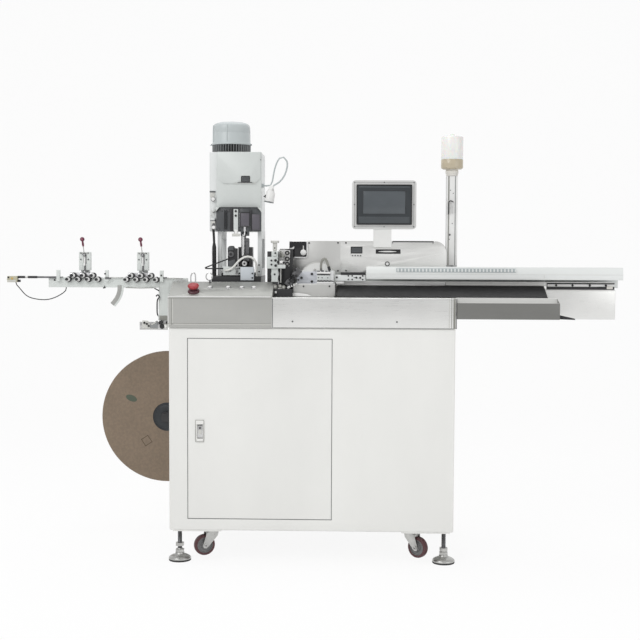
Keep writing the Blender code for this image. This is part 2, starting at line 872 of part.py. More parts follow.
def control_console():
    front = CONSOLE_FRONT
    seat = TABLE_TOP + SEAT
    brow = front + CONSOLE_RUN
    ridge = TABLE_TOP + CONSOLE_LIP + CONSOLE_RISE
    outline = [
        (front, TABLE_LOW),
        (front + CONSOLE_SKIN, TABLE_LOW),
        (front + CONSOLE_SKIN, seat),
        (brow + 0.006, seat),
        (brow + 0.006, ridge),
        (brow, ridge),
        (front, TABLE_TOP + CONSOLE_LIP),
    ]
    console = slab(outline, "YZ", CONSOLE_LEFT, CONSOLE_RIGHT)
    console = fuse(
        console, console_rod(ESTOP_X, ESTOP_UP, -0.004, ESTOP_COLLAR_HEIGHT, ESTOP_COLLAR_RADIUS)
    )
    for x in BUTTON_XS:
        ring = console_rod(x, BUTTON_UP, -0.003, BUTTON_RING_HEIGHT, BUTTON_RING, 12)
        console = fuse(console, ring)
    stem = ESTOP_STEM_RADIUS + RUNNING
    console = cut(console, console_rod(ESTOP_X, ESTOP_UP, -0.008, 0.03, stem))
    for x in BUTTON_XS:
        floor = button_low() - BUTTON_TRAVEL - 0.001
        bore = console_rod(x, BUTTON_UP, floor, 0.03, BUTTON_RADIUS + RUNNING, 12)
        console = cut(console, bore)
    return part("control_console", console, "stainless")


def emergency_stop():
    rim = ESTOP_RADIUS
    stem = ESTOP_STEM_RADIUS
    skirt_low = ESTOP_COLLAR_HEIGHT + ESTOP_TRAVEL + 0.001
    profile = [
        (0, 0.030),
        (rim * 0.55, 0.0295),
        (rim * 0.88, 0.0275),
        (rim, 0.025),
        (rim, 0.021),
        (rim * 0.84, skirt_low),
        (stem, skirt_low),
        (stem, -0.0022),
        (0, -0.0022),
    ]
    origin = (ESTOP_X, *console_point(ESTOP_UP))
    button = turned(profile, origin, "console", 16)
    return part("emergency_stop_button", button, "red_plastic", origin)


def button_low():
    """How far a button at rest reaches into the console, measured from its slope."""
    return BUTTON_PROUD - BUTTON_TRAVEL - 0.008


def push_buttons():
    for number, x in enumerate(BUTTON_XS, 1):
        cap = console_rod(x, BUTTON_UP, button_low(), BUTTON_PROUD, BUTTON_RADIUS, 12)
        part(f"push_button_{number}", cap, "steel", (x, *console_point(BUTTON_UP)))


# Press: base, cheeks and head in one casting, with the motor on top
def press_frame():
    base_low = TABLE_TOP + SEAT
    left = PRESS_LEFT + 0.002
    right = PRESS_RIGHT
    back = PRESS_BACK
    frame = block(
        (PRESS_BASE_LEFT, right), (PRESS_BASE_FRONT, back + 0.012), (base_low, PRESS_BASE_TOP), 0.002
    )
    heights = (PRESS_BASE_TOP - 0.004, HEAD_LOW + 0.004)
    for x in ((left, left + CHEEK), (right - CHEEK, right)):
        frame = fuse(frame, block(x, (PRESS_FRONT, back), heights))
    head = block((HEAD_STRIP_LEFT, right - 0.001), (HEAD_FRONT, back), (HEAD_LOW, HEAD_TOP), 0.002)
    frame = fuse(frame, head)
    window = block(
        (left - 0.05, right + 0.05),
        (PRESS_FRONT + 0.028, back - 0.034),
        (PRESS_BASE_TOP + 0.026, HEAD_LOW - 0.026),
    )
    frame = cut(frame, window)
    strip_x = (HEAD_STRIP_LEFT + PRESS_LEFT) / 2
    for z in (HEAD_LOW + 0.116, HEAD_LOW + 0.075):
        frame = fuse(
            frame,
            rod((strip_x, HEAD_FRONT + 0.002, z), (strip_x, HEAD_FRONT - 0.007, z), 0.0055, 10),
        )
    gland = block(
        (strip_x - 0.007, strip_x + 0.007), (HEAD_FRONT - 0.018, HEAD_FRONT + 0.002), sleeve_gland()
    )
    return part("press_frame", fuse(frame, gland), "press_white")


def sleeve_gland():
    """The lowest and highest point of the gland that takes the cable on the head's left strip."""
    return HEAD_LOW + 0.034, HEAD_LOW + 0.048


def press_cover():
    left = PRESS_LEFT
    right = PRESS_RIGHT
    back = HEAD_FRONT - SEAT
    front = back - COVER_THICKNESS
    cover = block((left, right), (front, back), (COVER_LOW, HEAD_TOP), 0.0015)
    step = COVER_STEP_CHAMFER
    low = COVER_STEP_LOW
    edge = 0.003
    outline = [
        (left + edge, HEAD_TOP - edge),
        (left + edge, low + step),
        (left + edge + step, low),
        (right - edge - step, low),
        (right - edge, low + step),
        (right - edge, HEAD_TOP - edge),
    ]
    cover = fuse(cover, slab(outline, "XZ", front - COVER_RAISED, front + 0.002))
    display = block(
        (-0.262, -0.228), (front - COVER_RAISED - 0.0015, front), (low + 0.004, low + 0.028), 0.0005
    )
    return part("press_cover", fuse(cover, display), "press_white")


def press_motor():
    low = HEAD_TOP + SEAT
    fins_top = low + MOTOR_FINS_HEIGHT
    top = low + MOTOR_FINS_HEIGHT + MOTOR_COWL_HEIGHT
    ribs = []
    for index in range(MOTOR_RIBS):
        start = 2 * math.pi * index / MOTOR_RIBS
        pitch = 2 * math.pi / MOTOR_RIBS
        for share, radius in (
            (0, MOTOR_RADIUS - 0.003),
            (0.45, MOTOR_RADIUS - 0.003),
            (0.5, MOTOR_RADIUS - 0.009),
            (0.95, MOTOR_RADIUS - 0.009),
        ):
            angle = start + share * pitch
            ribs.append((MOTOR_X + radius * math.cos(angle), MOTOR_Y + radius * math.sin(angle)))
    fins = slab(ribs, "XY", low, fins_top + 0.002)
    radius = MOTOR_RADIUS
    profile = [
        (0, top),
        (radius * 0.50, top - 0.002),
        (radius * 0.86, top - 0.012),
        (radius * 0.985, top - 0.028),
        (radius, top - 0.044),
        (radius, fins_top),
        (0, fins_top),
    ]
    cowl = turned(profile, (MOTOR_X, MOTOR_Y, 0), "Z", 24)
    return part("press_motor", fuse(fins, cowl), "cowl_grey")


def ram_outline(extra):
    """The ram's section seen from above: a narrow front with a wider back that holds it in."""
    half = RAM_WIDTH / 2 + extra
    front = GUIDE_FRONT - 0.002
    waist = GUIDE_FRONT + 0.010 - extra
    back = HEAD_FRONT - SEAT - 0.0008 + extra
    neck = half - 0.005
    return [
        (RAM_X - neck, front),
        (RAM_X + neck, front),
        (RAM_X + neck, waist),
        (RAM_X + half, waist),
        (RAM_X + half, back),
        (RAM_X - half, back),
        (RAM_X - half, waist),
        (RAM_X - neck, waist),
    ]


def ram_guide():
    left = PRESS_LEFT
    right = PRESS_RIGHT
    top = COVER_LOW - SEAT
    low = HEAD_LOW
    chamfer = GUIDE_CHAMFER
    outline = [
        (left, low),
        (right, low),
        (right, top - chamfer),
        (right - chamfer, top),
        (left + chamfer, top),
        (left, top - chamfer),
    ]
    guide = slab(outline, "XZ", GUIDE_FRONT, HEAD_FRONT - SEAT)
    ram_top = RAM_LOW + RAM_HEIGHT + RUNNING
    guide = cut(guide, slab(ram_outline(RUNNING), "XY", low - 0.01, ram_top))
    bar_left = -0.286
    bar_right = -0.2705
    bar = block(
        (bar_left, bar_right),
        (GUIDE_FRONT - 0.006, GUIDE_FRONT + 0.004),
        (low + 0.004, top - 0.001),
        0.001,
    )
    toe = block(
        (-0.290, RAM_X - RAM_WIDTH / 2 + 0.005 - 2 * RUNNING),
        (GUIDE_FRONT - 0.006, GUIDE_FRONT + 0.001),
        (low - 0.018, low - 0.008),
        0.001,
    )
    shank = block(
        (bar_left + 0.001, bar_right - 0.001),
        (GUIDE_FRONT - 0.004, GUIDE_FRONT + 0.002),
        (low - 0.010, low + 0.006),
    )
    return part("ram_guide", fuse(guide, bar, shank, toe), "dark_casting")


def press_ram():
    ram = slab(ram_outline(0), "XY", RAM_LOW, RAM_LOW + RAM_HEIGHT)
    half = RAM_CLEVIS_WIDTH / 2
    front = GUIDE_FRONT - 0.002
    back = HEAD_FRONT - 0.001
    low = RAM_LOW - RAM_CLEVIS_HEIGHT
    clevis = block((RAM_X - half, RAM_X + half), (front, back), (low, RAM_LOW + 0.002), 0.0015)
    ram = fuse(ram, clevis)
    hook_low, hook_top = hook_heights()
    head = HOOK_RADIUS + 2 * RUNNING
    neck = HOOK_NECK_RADIUS + 2 * RUNNING
    y = slide_rod_y()
    ram = cut(
        ram,
        block(
            (RAM_X - head, RAM_X + head),
            (front - 0.01, y + head),
            (hook_low - RUNNING, hook_top + RUNNING),
        ),
        block((RAM_X - neck, RAM_X + neck), (front - 0.01, y + neck), (low - 0.01, hook_low)),
    )
    return part("press_ram", ram, "dark_casting", (RAM_X, GUIDE_FRONT, RAM_LOW))


def hook_heights():
    low = RAM_LOW - RAM_CLEVIS_HEIGHT + 0.007
    return low, low + 0.0065


def slide_rod_y():
    return GUIDE_FRONT + 0.012


# Applicator: the frame on the press base and the slide that hangs in the ram
def applicator_slide():
    hook_low, hook_top = hook_heights()
    y = slide_rod_y()
    rod_x = SLIDE_LEFT + SLIDE_ROD_RADIUS
    slide = block((rod_x, SLIDE_RIGHT), (y + 0.004, SLIDE_BACK), (SLIDE_LOW, SLIDE_TOP), 0.001)
    column = rod((rod_x, y, SLIDE_LOW + 0.015), (rod_x, y, SLIDE_TOP), SLIDE_ROD_RADIUS, 16)
    head = block(
        (SLIDE_LEFT + 0.001, SLIDE_RIGHT - 0.001),
        (y - 0.007, y + 0.010),
        (SLIDE_TOP - 0.010, SLIDE_TOP + 0.002),
        0.0008,
    )
    stem = rod((RAM_X, y, SLIDE_TOP), (RAM_X, y, hook_low + 0.001), HOOK_NECK_RADIUS, 12)
    hook = rod((RAM_X, y, hook_low), (RAM_X, y, hook_top), HOOK_RADIUS, 16)
    punch = block(
        (RAM_X - 0.004, RAM_X + 0.004),
        (y + 0.006, y + 0.016),
        (SLIDE_LOW - 0.008, SLIDE_LOW + 0.002),
    )
    slide = fuse(slide, column, head, stem, hook, punch)
    return part("applicator_slide", slide, "steel", (RAM_X, y, SLIDE_LOW))


def applicator_frame():
    low = PRESS_BASE_TOP + SEAT
    top = low + APPLICATOR_PLATE
    left = APPLICATOR_LEFT
    right = APPLICATOR_RIGHT
    frame = block((left, right), (0.150, 0.290), (low, top), 0.001)
    ear = 0.0108
    column = block(
        (SLIDE_LEFT - ear, SLIDE_RIGHT + ear),
        (SLIDE_BACK - 0.012, SLIDE_BACK + 0.043),
        (low + 0.004, APPLICATOR_COLUMN_TOP),
        0.001,
    )
    channel = block(
        (SLIDE_LEFT - RUNNING, SLIDE_RIGHT + RUNNING),
        (SLIDE_BACK - 0.05, SLIDE_BACK + RUNNING),
        (top, APPLICATOR_COLUMN_TOP + 0.01),
    )
    frame = fuse(frame, cut(column, channel))
    anvil = block((RAM_X - 0.008, RAM_X + 0.008), (0.152, 0.168), (top - 0.002, top + 0.0025), 0.0005)
    white_block = block((-0.323, -0.263), (0.135, 0.168), (low + 0.004, TABLE_TOP + 0.104), 0.001)
    dark_outline = [
        (-0.308, TABLE_TOP + 0.102),
        (-0.308, TABLE_TOP + 0.171),
        (-0.304, TABLE_TOP + 0.177),
        (-0.298, TABLE_TOP + 0.179),
        (-0.288, TABLE_TOP + 0.179),
        (-0.284, TABLE_TOP + 0.171),
        (-0.2745, TABLE_TOP + 0.17),
        (-0.2745, TABLE_TOP + 0.102),
    ]
    dark_block = slab(dark_outline, "XZ", 0.140, 0.175)
    front_outline = [
        (0.118, TABLE_TOP + 0.057),
        (PRESS_BASE_FRONT - SEAT, TABLE_TOP + 0.057),
        (PRESS_BASE_FRONT - SEAT, low + 0.004),
        (0.153, low + 0.004),
        (0.153, TABLE_TOP + 0.087),
        (0.146, TABLE_TOP + 0.093),
        (0.132, TABLE_TOP + 0.103),
        (0.118, TABLE_TOP + 0.103),
    ]
    front_block = slab(front_outline, "YZ", -0.259, right - 0.0008)
    ear_plate = block((-0.251, -0.241), (0.122, 0.131), (TABLE_TOP + 0.099, TABLE_TOP + 0.117), 0.0005)
    dial = rod((-0.246, 0.1225, TABLE_TOP + 0.116), (-0.246, 0.138, TABLE_TOP + 0.116), 0.010, 16)
    frame = fuse(frame, anvil, white_block, dark_block, front_block, ear_plate, dial)
    lead = smooth_route(
        [
            (-0.300, 0.144, TABLE_TOP + 0.135),
            (-0.312, 0.138, TABLE_TOP + 0.13),
            (-0.345, 0.128, TABLE_TOP + 0.117),
            (-0.378, 0.122, TABLE_TOP + 0.104),
            (-0.388, 0.121, TABLE_TOP + 0.099),
            (-0.376, 0.122, TABLE_TOP + 0.0975),
            (-0.345, 0.130, TABLE_TOP + 0.0975),
            (-0.318, 0.140, TABLE_TOP + 0.0975),
        ],
        0.014,
    )
    return part("applicator_frame", fuse(frame, tube(lead, 0.0016, resolution=1)), "steel")


def cable_sleeve():
    gland_low = sleeve_gland()[0]
    low = PRESS_BASE_TOP + SEAT
    strip_x = (HEAD_STRIP_LEFT + PRESS_LEFT) / 2
    knots = [
        (-0.3570, 0.150, low),
        (-0.3570, 0.150, low + 0.050),
        (-0.3575, 0.150, low + 0.104),
        (-0.3595, 0.152, low + 0.150),
        (strip_x, 0.154, gland_low - 0.012),
        (strip_x, 0.154, gland_low - SEAT),
    ]
    route = smooth_route(knots, 0.018)
    radii = [1.0 if place.z < low + 0.105 else 0.58 for place in route]
    return part("cable_sleeve", tube(route, SLEEVE_RADIUS, radii), "cable_black")


def air_hose():
    low = PRESS_BASE_TOP + SEAT
    knots = [
        (-0.318, 0.1303, TABLE_TOP + 0.091),
        (-0.300, 0.1303, TABLE_TOP + 0.093),
        (-0.284, 0.1300, TABLE_TOP + 0.106),
        (-0.268, 0.1290, TABLE_TOP + 0.124),
        (-0.252, 0.1280, TABLE_TOP + 0.136),
        (-0.236, 0.1285, TABLE_TOP + 0.141),
        (-0.219, 0.1300, TABLE_TOP + 0.137),
        (-0.207, 0.1330, TABLE_TOP + 0.122),
        (-0.2035, 0.1370, TABLE_TOP + 0.1),
        (-0.2035, 0.1380, low),
    ]
    return part("air_hose", tube(smooth_route(knots, 0.013), HOSE_RADIUS), "hose_white")


def work_lamp():
    y = LAMP_Y
    knots = [
        (PRESS_RIGHT - 0.001 + SEAT, y, TABLE_TOP + 0.397),
        (-0.172, y, TABLE_TOP + 0.396),
        (-0.157, y, TABLE_TOP + 0.398),
        (-0.150, y, TABLE_TOP + 0.413),
        (-0.145, y - 0.001, TABLE_TOP + 0.442),
        (-0.137, y - 0.003, TABLE_TOP + 0.472),
        (-0.124, y - 0.006, TABLE_TOP + 0.495),
        (-0.109, y - 0.008, TABLE_TOP + 0.498),
        (-0.098, y - 0.010, TABLE_TOP + 0.485),
        (-0.096, y - 0.012, TABLE_TOP + 0.464),
        (-0.106, y - 0.014, TABLE_TOP + 0.432),
        (-0.124, y - 0.016, TABLE_TOP + 0.409),
        (-0.143, y - 0.017, TABLE_TOP + 0.397),
        (-0.152, y - 0.017, TABLE_TOP + 0.388),
    ]
    neck = tube(smooth_route(knots, 0.014), LAMP_NECK_RADIUS, resolution=1)
    top = Vector((-0.1515, y - 0.017, TABLE_TOP + 0.392))
    rim = top + Vector((-0.010, -0.004, -LAMP_LENGTH))
    shade = rod(top, rim, LAMP_TOP_RADIUS, 20, LAMP_RIM_RADIUS)
    boss = rod(
        (PRESS_RIGHT - 0.001 + SEAT, y, TABLE_TOP + 0.397),
        (PRESS_RIGHT + 0.007, y, TABLE_TOP + 0.397),
        0.007,
        12,
    )
    lamp = fuse(neck, shade, boss)
    way = (rim - top).normalized()
    hollow = rod(rim - way * 0.004, rim + way * 0.001, LAMP_RIM_RADIUS - 0.0035, 16)
    return part("work_lamp", cut(lamp, hollow), "press_white")


# Wire feed: a tower with two grooved wheels and a pressure knob, then the blades
def feed_tower():
    seat = TABLE_TOP + SEAT
    base = block(
        (CONSOLE_RIGHT + 0.0005, FEED_RIGHT + 0.001),
        (0.070, BOX_FRONT - SEAT),
        (seat, FEED_BASE_TOP),
        0.001,
    )
    plate = block(
        (FEED_LEFT, FEED_RIGHT),
        (FEED_BACK, FEED_BACK + FEED_PLATE),
        (FEED_BASE_TOP - 0.003, FEED_TOP),
        0.001,
    )
    left = FEED_COLUMN_LEFT
    right = FEED_COLUMN_RIGHT
    front = FEED_FRONT
    back = front + FEED_COLUMN_DEPTH
    over_console = TABLE_TOP + CONSOLE_LIP + CONSOLE_RISE + SEAT
    column = block((left, right), (front, back), (over_console, FEED_TOP), 0.0008)
    leg = block(
        (CONSOLE_RIGHT + 0.001, right - 0.0006),
        (front + 0.0005, back - 0.0005),
        (FEED_BASE_TOP - 0.002, over_console + 0.002),
    )
    bridge = block(
        (left + 0.001, right - 0.001),
        (back - 0.002, FEED_BACK + 0.002),
        (TABLE_TOP + 0.113, FEED_TOP - 0.001),
    )
    grey_plate = block(
        (-0.119, FEED_RIGHT - 0.0006),
        (FEED_BACK - FEED_PLATE + 0.001, FEED_BACK + 0.0035),
        (FEED_BASE_TOP - 0.004, TABLE_TOP + 0.169),
        0.0005,
    )
    clamp = block(
        (-0.162, -0.127),
        (front - 0.008, front + 0.001),
        (TABLE_TOP + 0.1, TABLE_TOP + 0.14),
        0.001,
    )
    finger = block(
        (-0.130, -0.097),
        (front - 0.0072, front - 0.001),
        (TABLE_TOP + 0.1005, TABLE_TOP + 0.112),
        0.0005,
    )
    tower = fuse(base, plate, column, leg, bridge, grey_plate, clamp, finger)
    for z in GUIDE_ROLLER_HEIGHTS:
        spool_y = FEED_BACK - FEED_PLATE + 0.002
        tower = fuse(
            tower,
            rod(
                (GUIDE_ROLLER_X, spool_y - 0.016, z),
                (GUIDE_ROLLER_X, spool_y - 0.004, z),
                GUIDE_ROLLER_RADIUS,
                12,
            ),
            rod((GUIDE_ROLLER_X, spool_y - 0.005, z), (GUIDE_ROLLER_X, spool_y + 0.001, z), 0.004, 8),
        )
    for height in feed_wheel_heights():
        hole = FEED_SHAFT_RADIUS + RUNNING
        tower = cut(
            tower,
            rod((FEED_X, FEED_BACK - 0.01, height), (FEED_X, FEED_BACK + 0.03, height), hole),
        )
    spindle = rod(
        (FEED_X, knob_y(), FEED_TOP - 0.012),
        (FEED_X, knob_y(), FEED_TOP + 0.01),
        0.004 + RUNNING,
        12,
    )
    return part("feed_tower", cut(tower, spindle), "dark_casting")


def feed_wheel_heights():
    reach = FEED_WHEEL_RADIUS + FEED_WHEEL_GAP / 2
    return WIRE_HEIGHT + reach, WIRE_HEIGHT - reach


def knob_y():
    return FEED_FRONT + FEED_COLUMN_DEPTH / 2


def feed_wheels():
    half = FEED_WHEEL_WIDTH / 2
    radius = FEED_WHEEL_RADIUS
    shaft = FEED_SHAFT_RADIUS
    shaft_end = FEED_BACK + FEED_PLATE + 0.004 - WIRE_Y
    profile = [
        (0, half),
        (radius - 0.001, half),
        (radius, half - 0.001),
        (radius, 0.0015),
        (radius - 0.0012, 0),
        (radius, -0.0015),
        (radius, -half + 0.001),
        (radius - 0.001, -half),
        (shaft, -half),
        (shaft, -shaft_end),
        (0, -shaft_end),
    ]
    for name, height in zip(("upper", "lower"), feed_wheel_heights()):
        centre = (FEED_X, WIRE_Y, height)
        part("feed_wheel_" + name, turned(profile, centre, "Y", 16), "steel", centre)


def feed_pressure_knob():
    low = FEED_TOP + SEAT
    stem = KNOB_STEM_RADIUS
    top = low + KNOB_STEM_HEIGHT + KNOB_CAP_HEIGHT
    profile = [
        (0, top),
        (KNOB_RADIUS - 0.001, top),
        (KNOB_RADIUS, top - 0.001),
        (KNOB_RADIUS, low + KNOB_STEM_HEIGHT),
        (stem, low + KNOB_STEM_HEIGHT),
        (stem, low),
        (0.004, low),
        (0.004, low - 0.010),
        (0, low - 0.010),
    ]
    knob = turned(profile, (FEED_X, knob_y(), 0), "Z", 16)
    return part("feed_pressure_knob", knob, "aluminium", (FEED_X, knob_y(), low))


def blade_blocks():
    """Two blocks on one sloping line through the wire, each with a notched blade at its tip."""
    half = BLADE_WIDTH / 2
    gap = BLADE_OPENING / 2
    front = BLADE_FRONT
    back = FEED_BACK - FEED_PLATE + 0.001 - SEAT
    pivot = (BLADE_X, WIRE_Y, WIRE_HEIGHT)
    for name, side, reach in (("upper", 1, 0.040), ("lower", -1, 0.032)):
        heights = sorted((WIRE_HEIGHT + side * (gap + 0.008), WIRE_HEIGHT + side * reach))
        holder = block((BLADE_X - half, BLADE_X + half), (front, back), heights, 0.0008)
        tip = WIRE_HEIGHT + side * gap
        root = WIRE_HEIGHT + side * (gap + 0.012)
        notch = WIRE_HEIGHT + side * (gap + 0.003)
        for shift in (-0.008, 0, 0.008):
            outline = [
                (WIRE_Y - 0.009, root),
                (WIRE_Y - 0.009, tip),
                (WIRE_Y - 0.004, tip),
                (WIRE_Y, notch),
                (WIRE_Y + 0.004, tip),
                (WIRE_Y + 0.009, tip),
                (WIRE_Y + 0.009, root),
            ]
            x = BLADE_X + shift
            holder = fuse(holder, slab(outline, "YZ", x - 0.001, x + 0.001))
        for shift in (-0.006, 0.006):
            screw = rod(
                (BLADE_X + shift, front + 0.002, sum(heights) / 2),
                (BLADE_X + shift, front - 0.003, sum(heights) / 2),
                0.0032,
                8,
            )
            holder = fuse(holder, screw)
        holder = turn_about(holder, pivot, BLADE_TURN, "Y")
        part("blade_block_" + name, holder, "steel", pivot)


# Transfer: a bracket with a round guard plate, a swinging gripper and a carriage
def transfer_bracket():
    seat = TABLE_TOP + SEAT
    top = seat + BRACKET_HEIGHT
    bracket = block((BRACKET_LEFT, BRACKET_RIGHT), (BRACKET_FRONT, BRACKET_BACK), (seat, top), 0.001)
    arc = [(DISC_X - DISC_RADIUS, top - 0.002)]
    for degrees in range(180, 29, -15):
        angle = math.radians(degrees)
        arc.append(
            (DISC_X + DISC_RADIUS * math.cos(angle), top + 0.008 + DISC_RADIUS * math.sin(angle)),
        )
    arc.append((DISC_X + DISC_RADIUS * math.cos(math.radians(30)), top - 0.002))
    guard = slab(arc, "XZ", BRACKET_BACK - 0.007, BRACKET_BACK - 0.001)
    post = rod(
        (GRIPPER_PIVOT_X, WIRE_Y, top - 0.002),
        (GRIPPER_PIVOT_X, WIRE_Y, top + 0.016),
        GRIPPER_POST_RADIUS,
        16,
    )
    return part("transfer_bracket", fuse(bracket, guard, post), "stainless")


def swing_gripper():
    low = TABLE_TOP + 2 * SEAT + BRACKET_HEIGHT
    top = low + GRIPPER_HEIGHT
    gripper = block((GRIPPER_LEFT, GRIPPER_RIGHT), (GRIPPER_FRONT, GRIPPER_BACK), (low, top), 0.001)
    jaw_end = GRIPPER_PIVOT_X - 0.012
    gripper = cut(
        gripper,
        block(
            (GRIPPER_LEFT - 0.01, jaw_end),
            (GRIPPER_FRONT - 0.01, GRIPPER_BACK + 0.01),
            (WIRE_HEIGHT - 0.003, WIRE_HEIGHT + 0.003),
        ),
        block(
            (GRIPPER_LEFT - 0.01, jaw_end - 0.004),
            (GRIPPER_FRONT - 0.01, GRIPPER_FRONT + 0.004),
            (top - 0.014, top - 0.009),
        ),
        rod(
            (GRIPPER_PIVOT_X, WIRE_Y, low - 0.01),
            (GRIPPER_PIVOT_X, WIRE_Y, low + 0.0175),
            GRIPPER_POST_RADIUS + RUNNING,
            16,
        ),
    )
    knots = [
        (0.029, WIRE_Y, top - 0.002),
        (0.0285, WIRE_Y, top + 0.018),
        (0.033, WIRE_Y, top + 0.036),
        (0.042, WIRE_Y, top + 0.041),
        (0.050, WIRE_Y, top + 0.030),
        (0.058, WIRE_Y, top - 0.002),
    ]
    lever = tube(smooth_route(knots, 0.010), 0.0035)
    gripper = fuse(gripper, lever)
    return part("swing_gripper", gripper, "aluminium", (GRIPPER_PIVOT_X, WIRE_Y, low))


def pull_out_carriage():
    low = RAIL_TOP + SEAT
    top = low + CARRIAGE_HEIGHT
    left = CARRIAGE_LEFT
    right = left + CARRIAGE_LENGTH
    carriage = block((left, right), (CARRIAGE_FRONT, CARRIAGE_BACK), (low, top), 0.001)
    bar = block(
        (left + 0.022, right),
        (CARRIAGE_BACK - 0.012, CARRIAGE_BACK),
        (top - 0.001, top + 0.007),
        0.0006,
    )
    keeper_y = RAIL_BACK + 0.0005
    keeper = block(
        (left + 0.015, right - 0.015),
        (keeper_y, keeper_y + 0.006),
        (low - 0.014, top),
        0.0006,
    )
    web = block(
        (left + 0.016, right - 0.016),
        (CARRIAGE_BACK - 0.002, keeper_y + 0.002),
        (low + 0.001, top - 0.001),
    )
    return part("pull_out_carriage", fuse(carriage, bar, web, keeper), "aluminium", (left, WIRE_Y, low))


# Control box with its meter, slot and button, and the touch panel on it
def control_box():
    low = TABLE_TOP + SEAT
    top = BOX_TOP
    corner = BOX_CORNER
    outline = [(BOX_LEFT, top), (BOX_LEFT, low), (BOX_RIGHT, low)]
    for degrees in range(0, 91, 15):
        angle = math.radians(degrees)
        outline.append(
            (BOX_RIGHT - corner + corner * math.cos(angle), top - corner + corner * math.sin(angle))
        )
    inside = [
        (BOX_LEFT + SHEET, top - SHEET),
        (BOX_LEFT + SHEET, low - SHEET),
        (BOX_RIGHT - SHEET, low - SHEET),
    ]
    for degrees in range(0, 91, 15):
        angle = math.radians(degrees)
        inner = corner - SHEET
        inside.append(
            (BOX_RIGHT - corner + inner * math.cos(angle), top - corner + inner * math.sin(angle))
        )
    box = slab(outline, "XZ", BOX_FRONT, BOX_BACK)
    box = cut(box, slab(inside, "XZ", BOX_FRONT + SHEET, BOX_BACK - SHEET))
    front = BOX_FRONT
    window = block(
        (WINDOW_LEFT, WINDOW_LEFT + WINDOW_WIDTH),
        (front - 0.006, front + SHEET),
        (top - 0.002 - WINDOW_HEIGHT, top - 0.002),
        0.001,
    )
    meter = block(
        (METER_X - METER_WIDTH / 2, METER_X + METER_WIDTH / 2),
        (front - 0.003, front + 0.001),
        (top - 0.057, top - 0.020),
        0.001,
    )
    slot = block(
        (SLOT_X - SLOT_WIDTH / 2, SLOT_X + SLOT_WIDTH / 2),
        (front - 0.002, front + 0.001),
        (top - 0.046, top - 0.046 + SLOT_HEIGHT),
        0.0008,
    )
    x = BOX_BUTTON_X
    z = BOX_BUTTON_HEIGHT
    ring = rod((x, front - 0.0025, z), (x, front + 0.012, z), BOX_BUTTON_RING, 16)
    box = fuse(box, window, meter, slot, ring)
    box = cut(box, rod((x, front - 0.02, z), (x, front + 0.010, z), BOX_BUTTON_RADIUS + RUNNING, 16))
    return part("control_box", box, "stainless")


def box_button():
    x = BOX_BUTTON_X
    z = BOX_BUTTON_HEIGHT
    front = BOX_FRONT
    cap = rod((x, front - 0.0055, z), (x, front + 0.0065, z), BOX_BUTTON_RADIUS, 16)
    return part("box_button", cap, "steel", (x, front, z))


def rounded_rectangle(left, right, low, high, radius, step=30):
    outline = []
    corners = ((right, high, 0), (left, high, 90), (left, low, 180), (right, low, 270))
    for x, z, start in corners:
        centre_x = x - radius if x == right else x + radius
        centre_z = z - radius if z == high else z + radius
        for degrees in range(start, start + 91, step):
            angle = math.radians(degrees)
            outline.append((centre_x + radius * math.cos(angle), centre_z + radius * math.sin(angle)))
    return outline


def touch_panel_housing():
    half = PANEL_WIDTH / 2
    outline = rounded_rectangle(
        PANEL_X - half,
        PANEL_X + half,
        PANEL_LOW,
        PANEL_LOW + PANEL_HEIGHT,
        PANEL_CORNER,
    )
    housing = slab(outline, "XZ", PANEL_FRONT, PANEL_FRONT + PANEL_DEPTH)
    neck = (NECK_X - NECK_WIDTH / 2, NECK_X + NECK_WIDTH / 2)
    stand = block(neck, (PANEL_FRONT + 0.004, PANEL_FRONT + 0.036), (BOX_TOP + SEAT, PANEL_LOW + 0.002))
    tab = block(neck, (PANEL_FRONT + 0.004, BOX_FRONT - SEAT), (BOX_TOP - 0.022, BOX_TOP + 0.003))
    return part("touch_panel_housing", fuse(housing, stand, tab), "white_paint")


def touch_panel():
    half = BEZEL_WIDTH / 2
    centre = PANEL_LOW + PANEL_HEIGHT / 2
    back = PANEL_FRONT - SEAT
    front = back - BEZEL_THICKNESS
    tall = BEZEL_HEIGHT / 2
    panel = slab(
        rounded_rectangle(PANEL_X - half, PANEL_X + half, centre - tall, centre + tall, 0.004),
        "XZ",
        front,
        back,
    )
    screen_low = centre + 0.008 - SCREEN_HEIGHT / 2
    screen = block(
        (PANEL_X - SCREEN_WIDTH / 2, PANEL_X + SCREEN_WIDTH / 2),
        (front - 0.01, front + 0.0012),
        (screen_low, screen_low + SCREEN_HEIGHT),
    )
    return part("touch_panel", cut(panel, screen), "panel_dark")


# Pole with its hook, and the oil reservoir on top
def profile_pole():
    half = POLE_SIZE / 2
    slot = POLE_SLOT / 2
    deep = half - POLE_SLOT_DEPTH
    quarter = [(-slot, -half), (-slot, -deep), (slot, -deep), (slot, -half), (half, -half)]
    outline = []
    for turn in range(4):
        angle = turn * math.pi / 2
        for x, y in quarter:
            outline.append(
                (
                    POLE_X + x * math.cos(angle) - y * math.sin(angle),
                    POLE_Y + x * math.sin(angle) + y * math.cos(angle),
                )
            )
    pole = slab(outline, "XY", BEAM_TOP + SEAT, POLE_TOP)
    hook_y = POLE_Y - half - 0.006
    hook = tube(
        [
            (POLE_X - 0.012, POLE_Y - half + 0.002, TABLE_TOP + 0.346),
            (POLE_X - 0.012, hook_y, TABLE_TOP + 0.346),
            (POLE_X - 0.004, hook_y, TABLE_TOP + 0.347),
            (POLE_X, hook_y, TABLE_TOP + 0.344),
            (POLE_X, hook_y, TABLE_TOP + 0.3),
        ],
        0.0018,
        resolution=1,
    )
    return part("profile_pole", fuse(pole, hook), "aluminium")


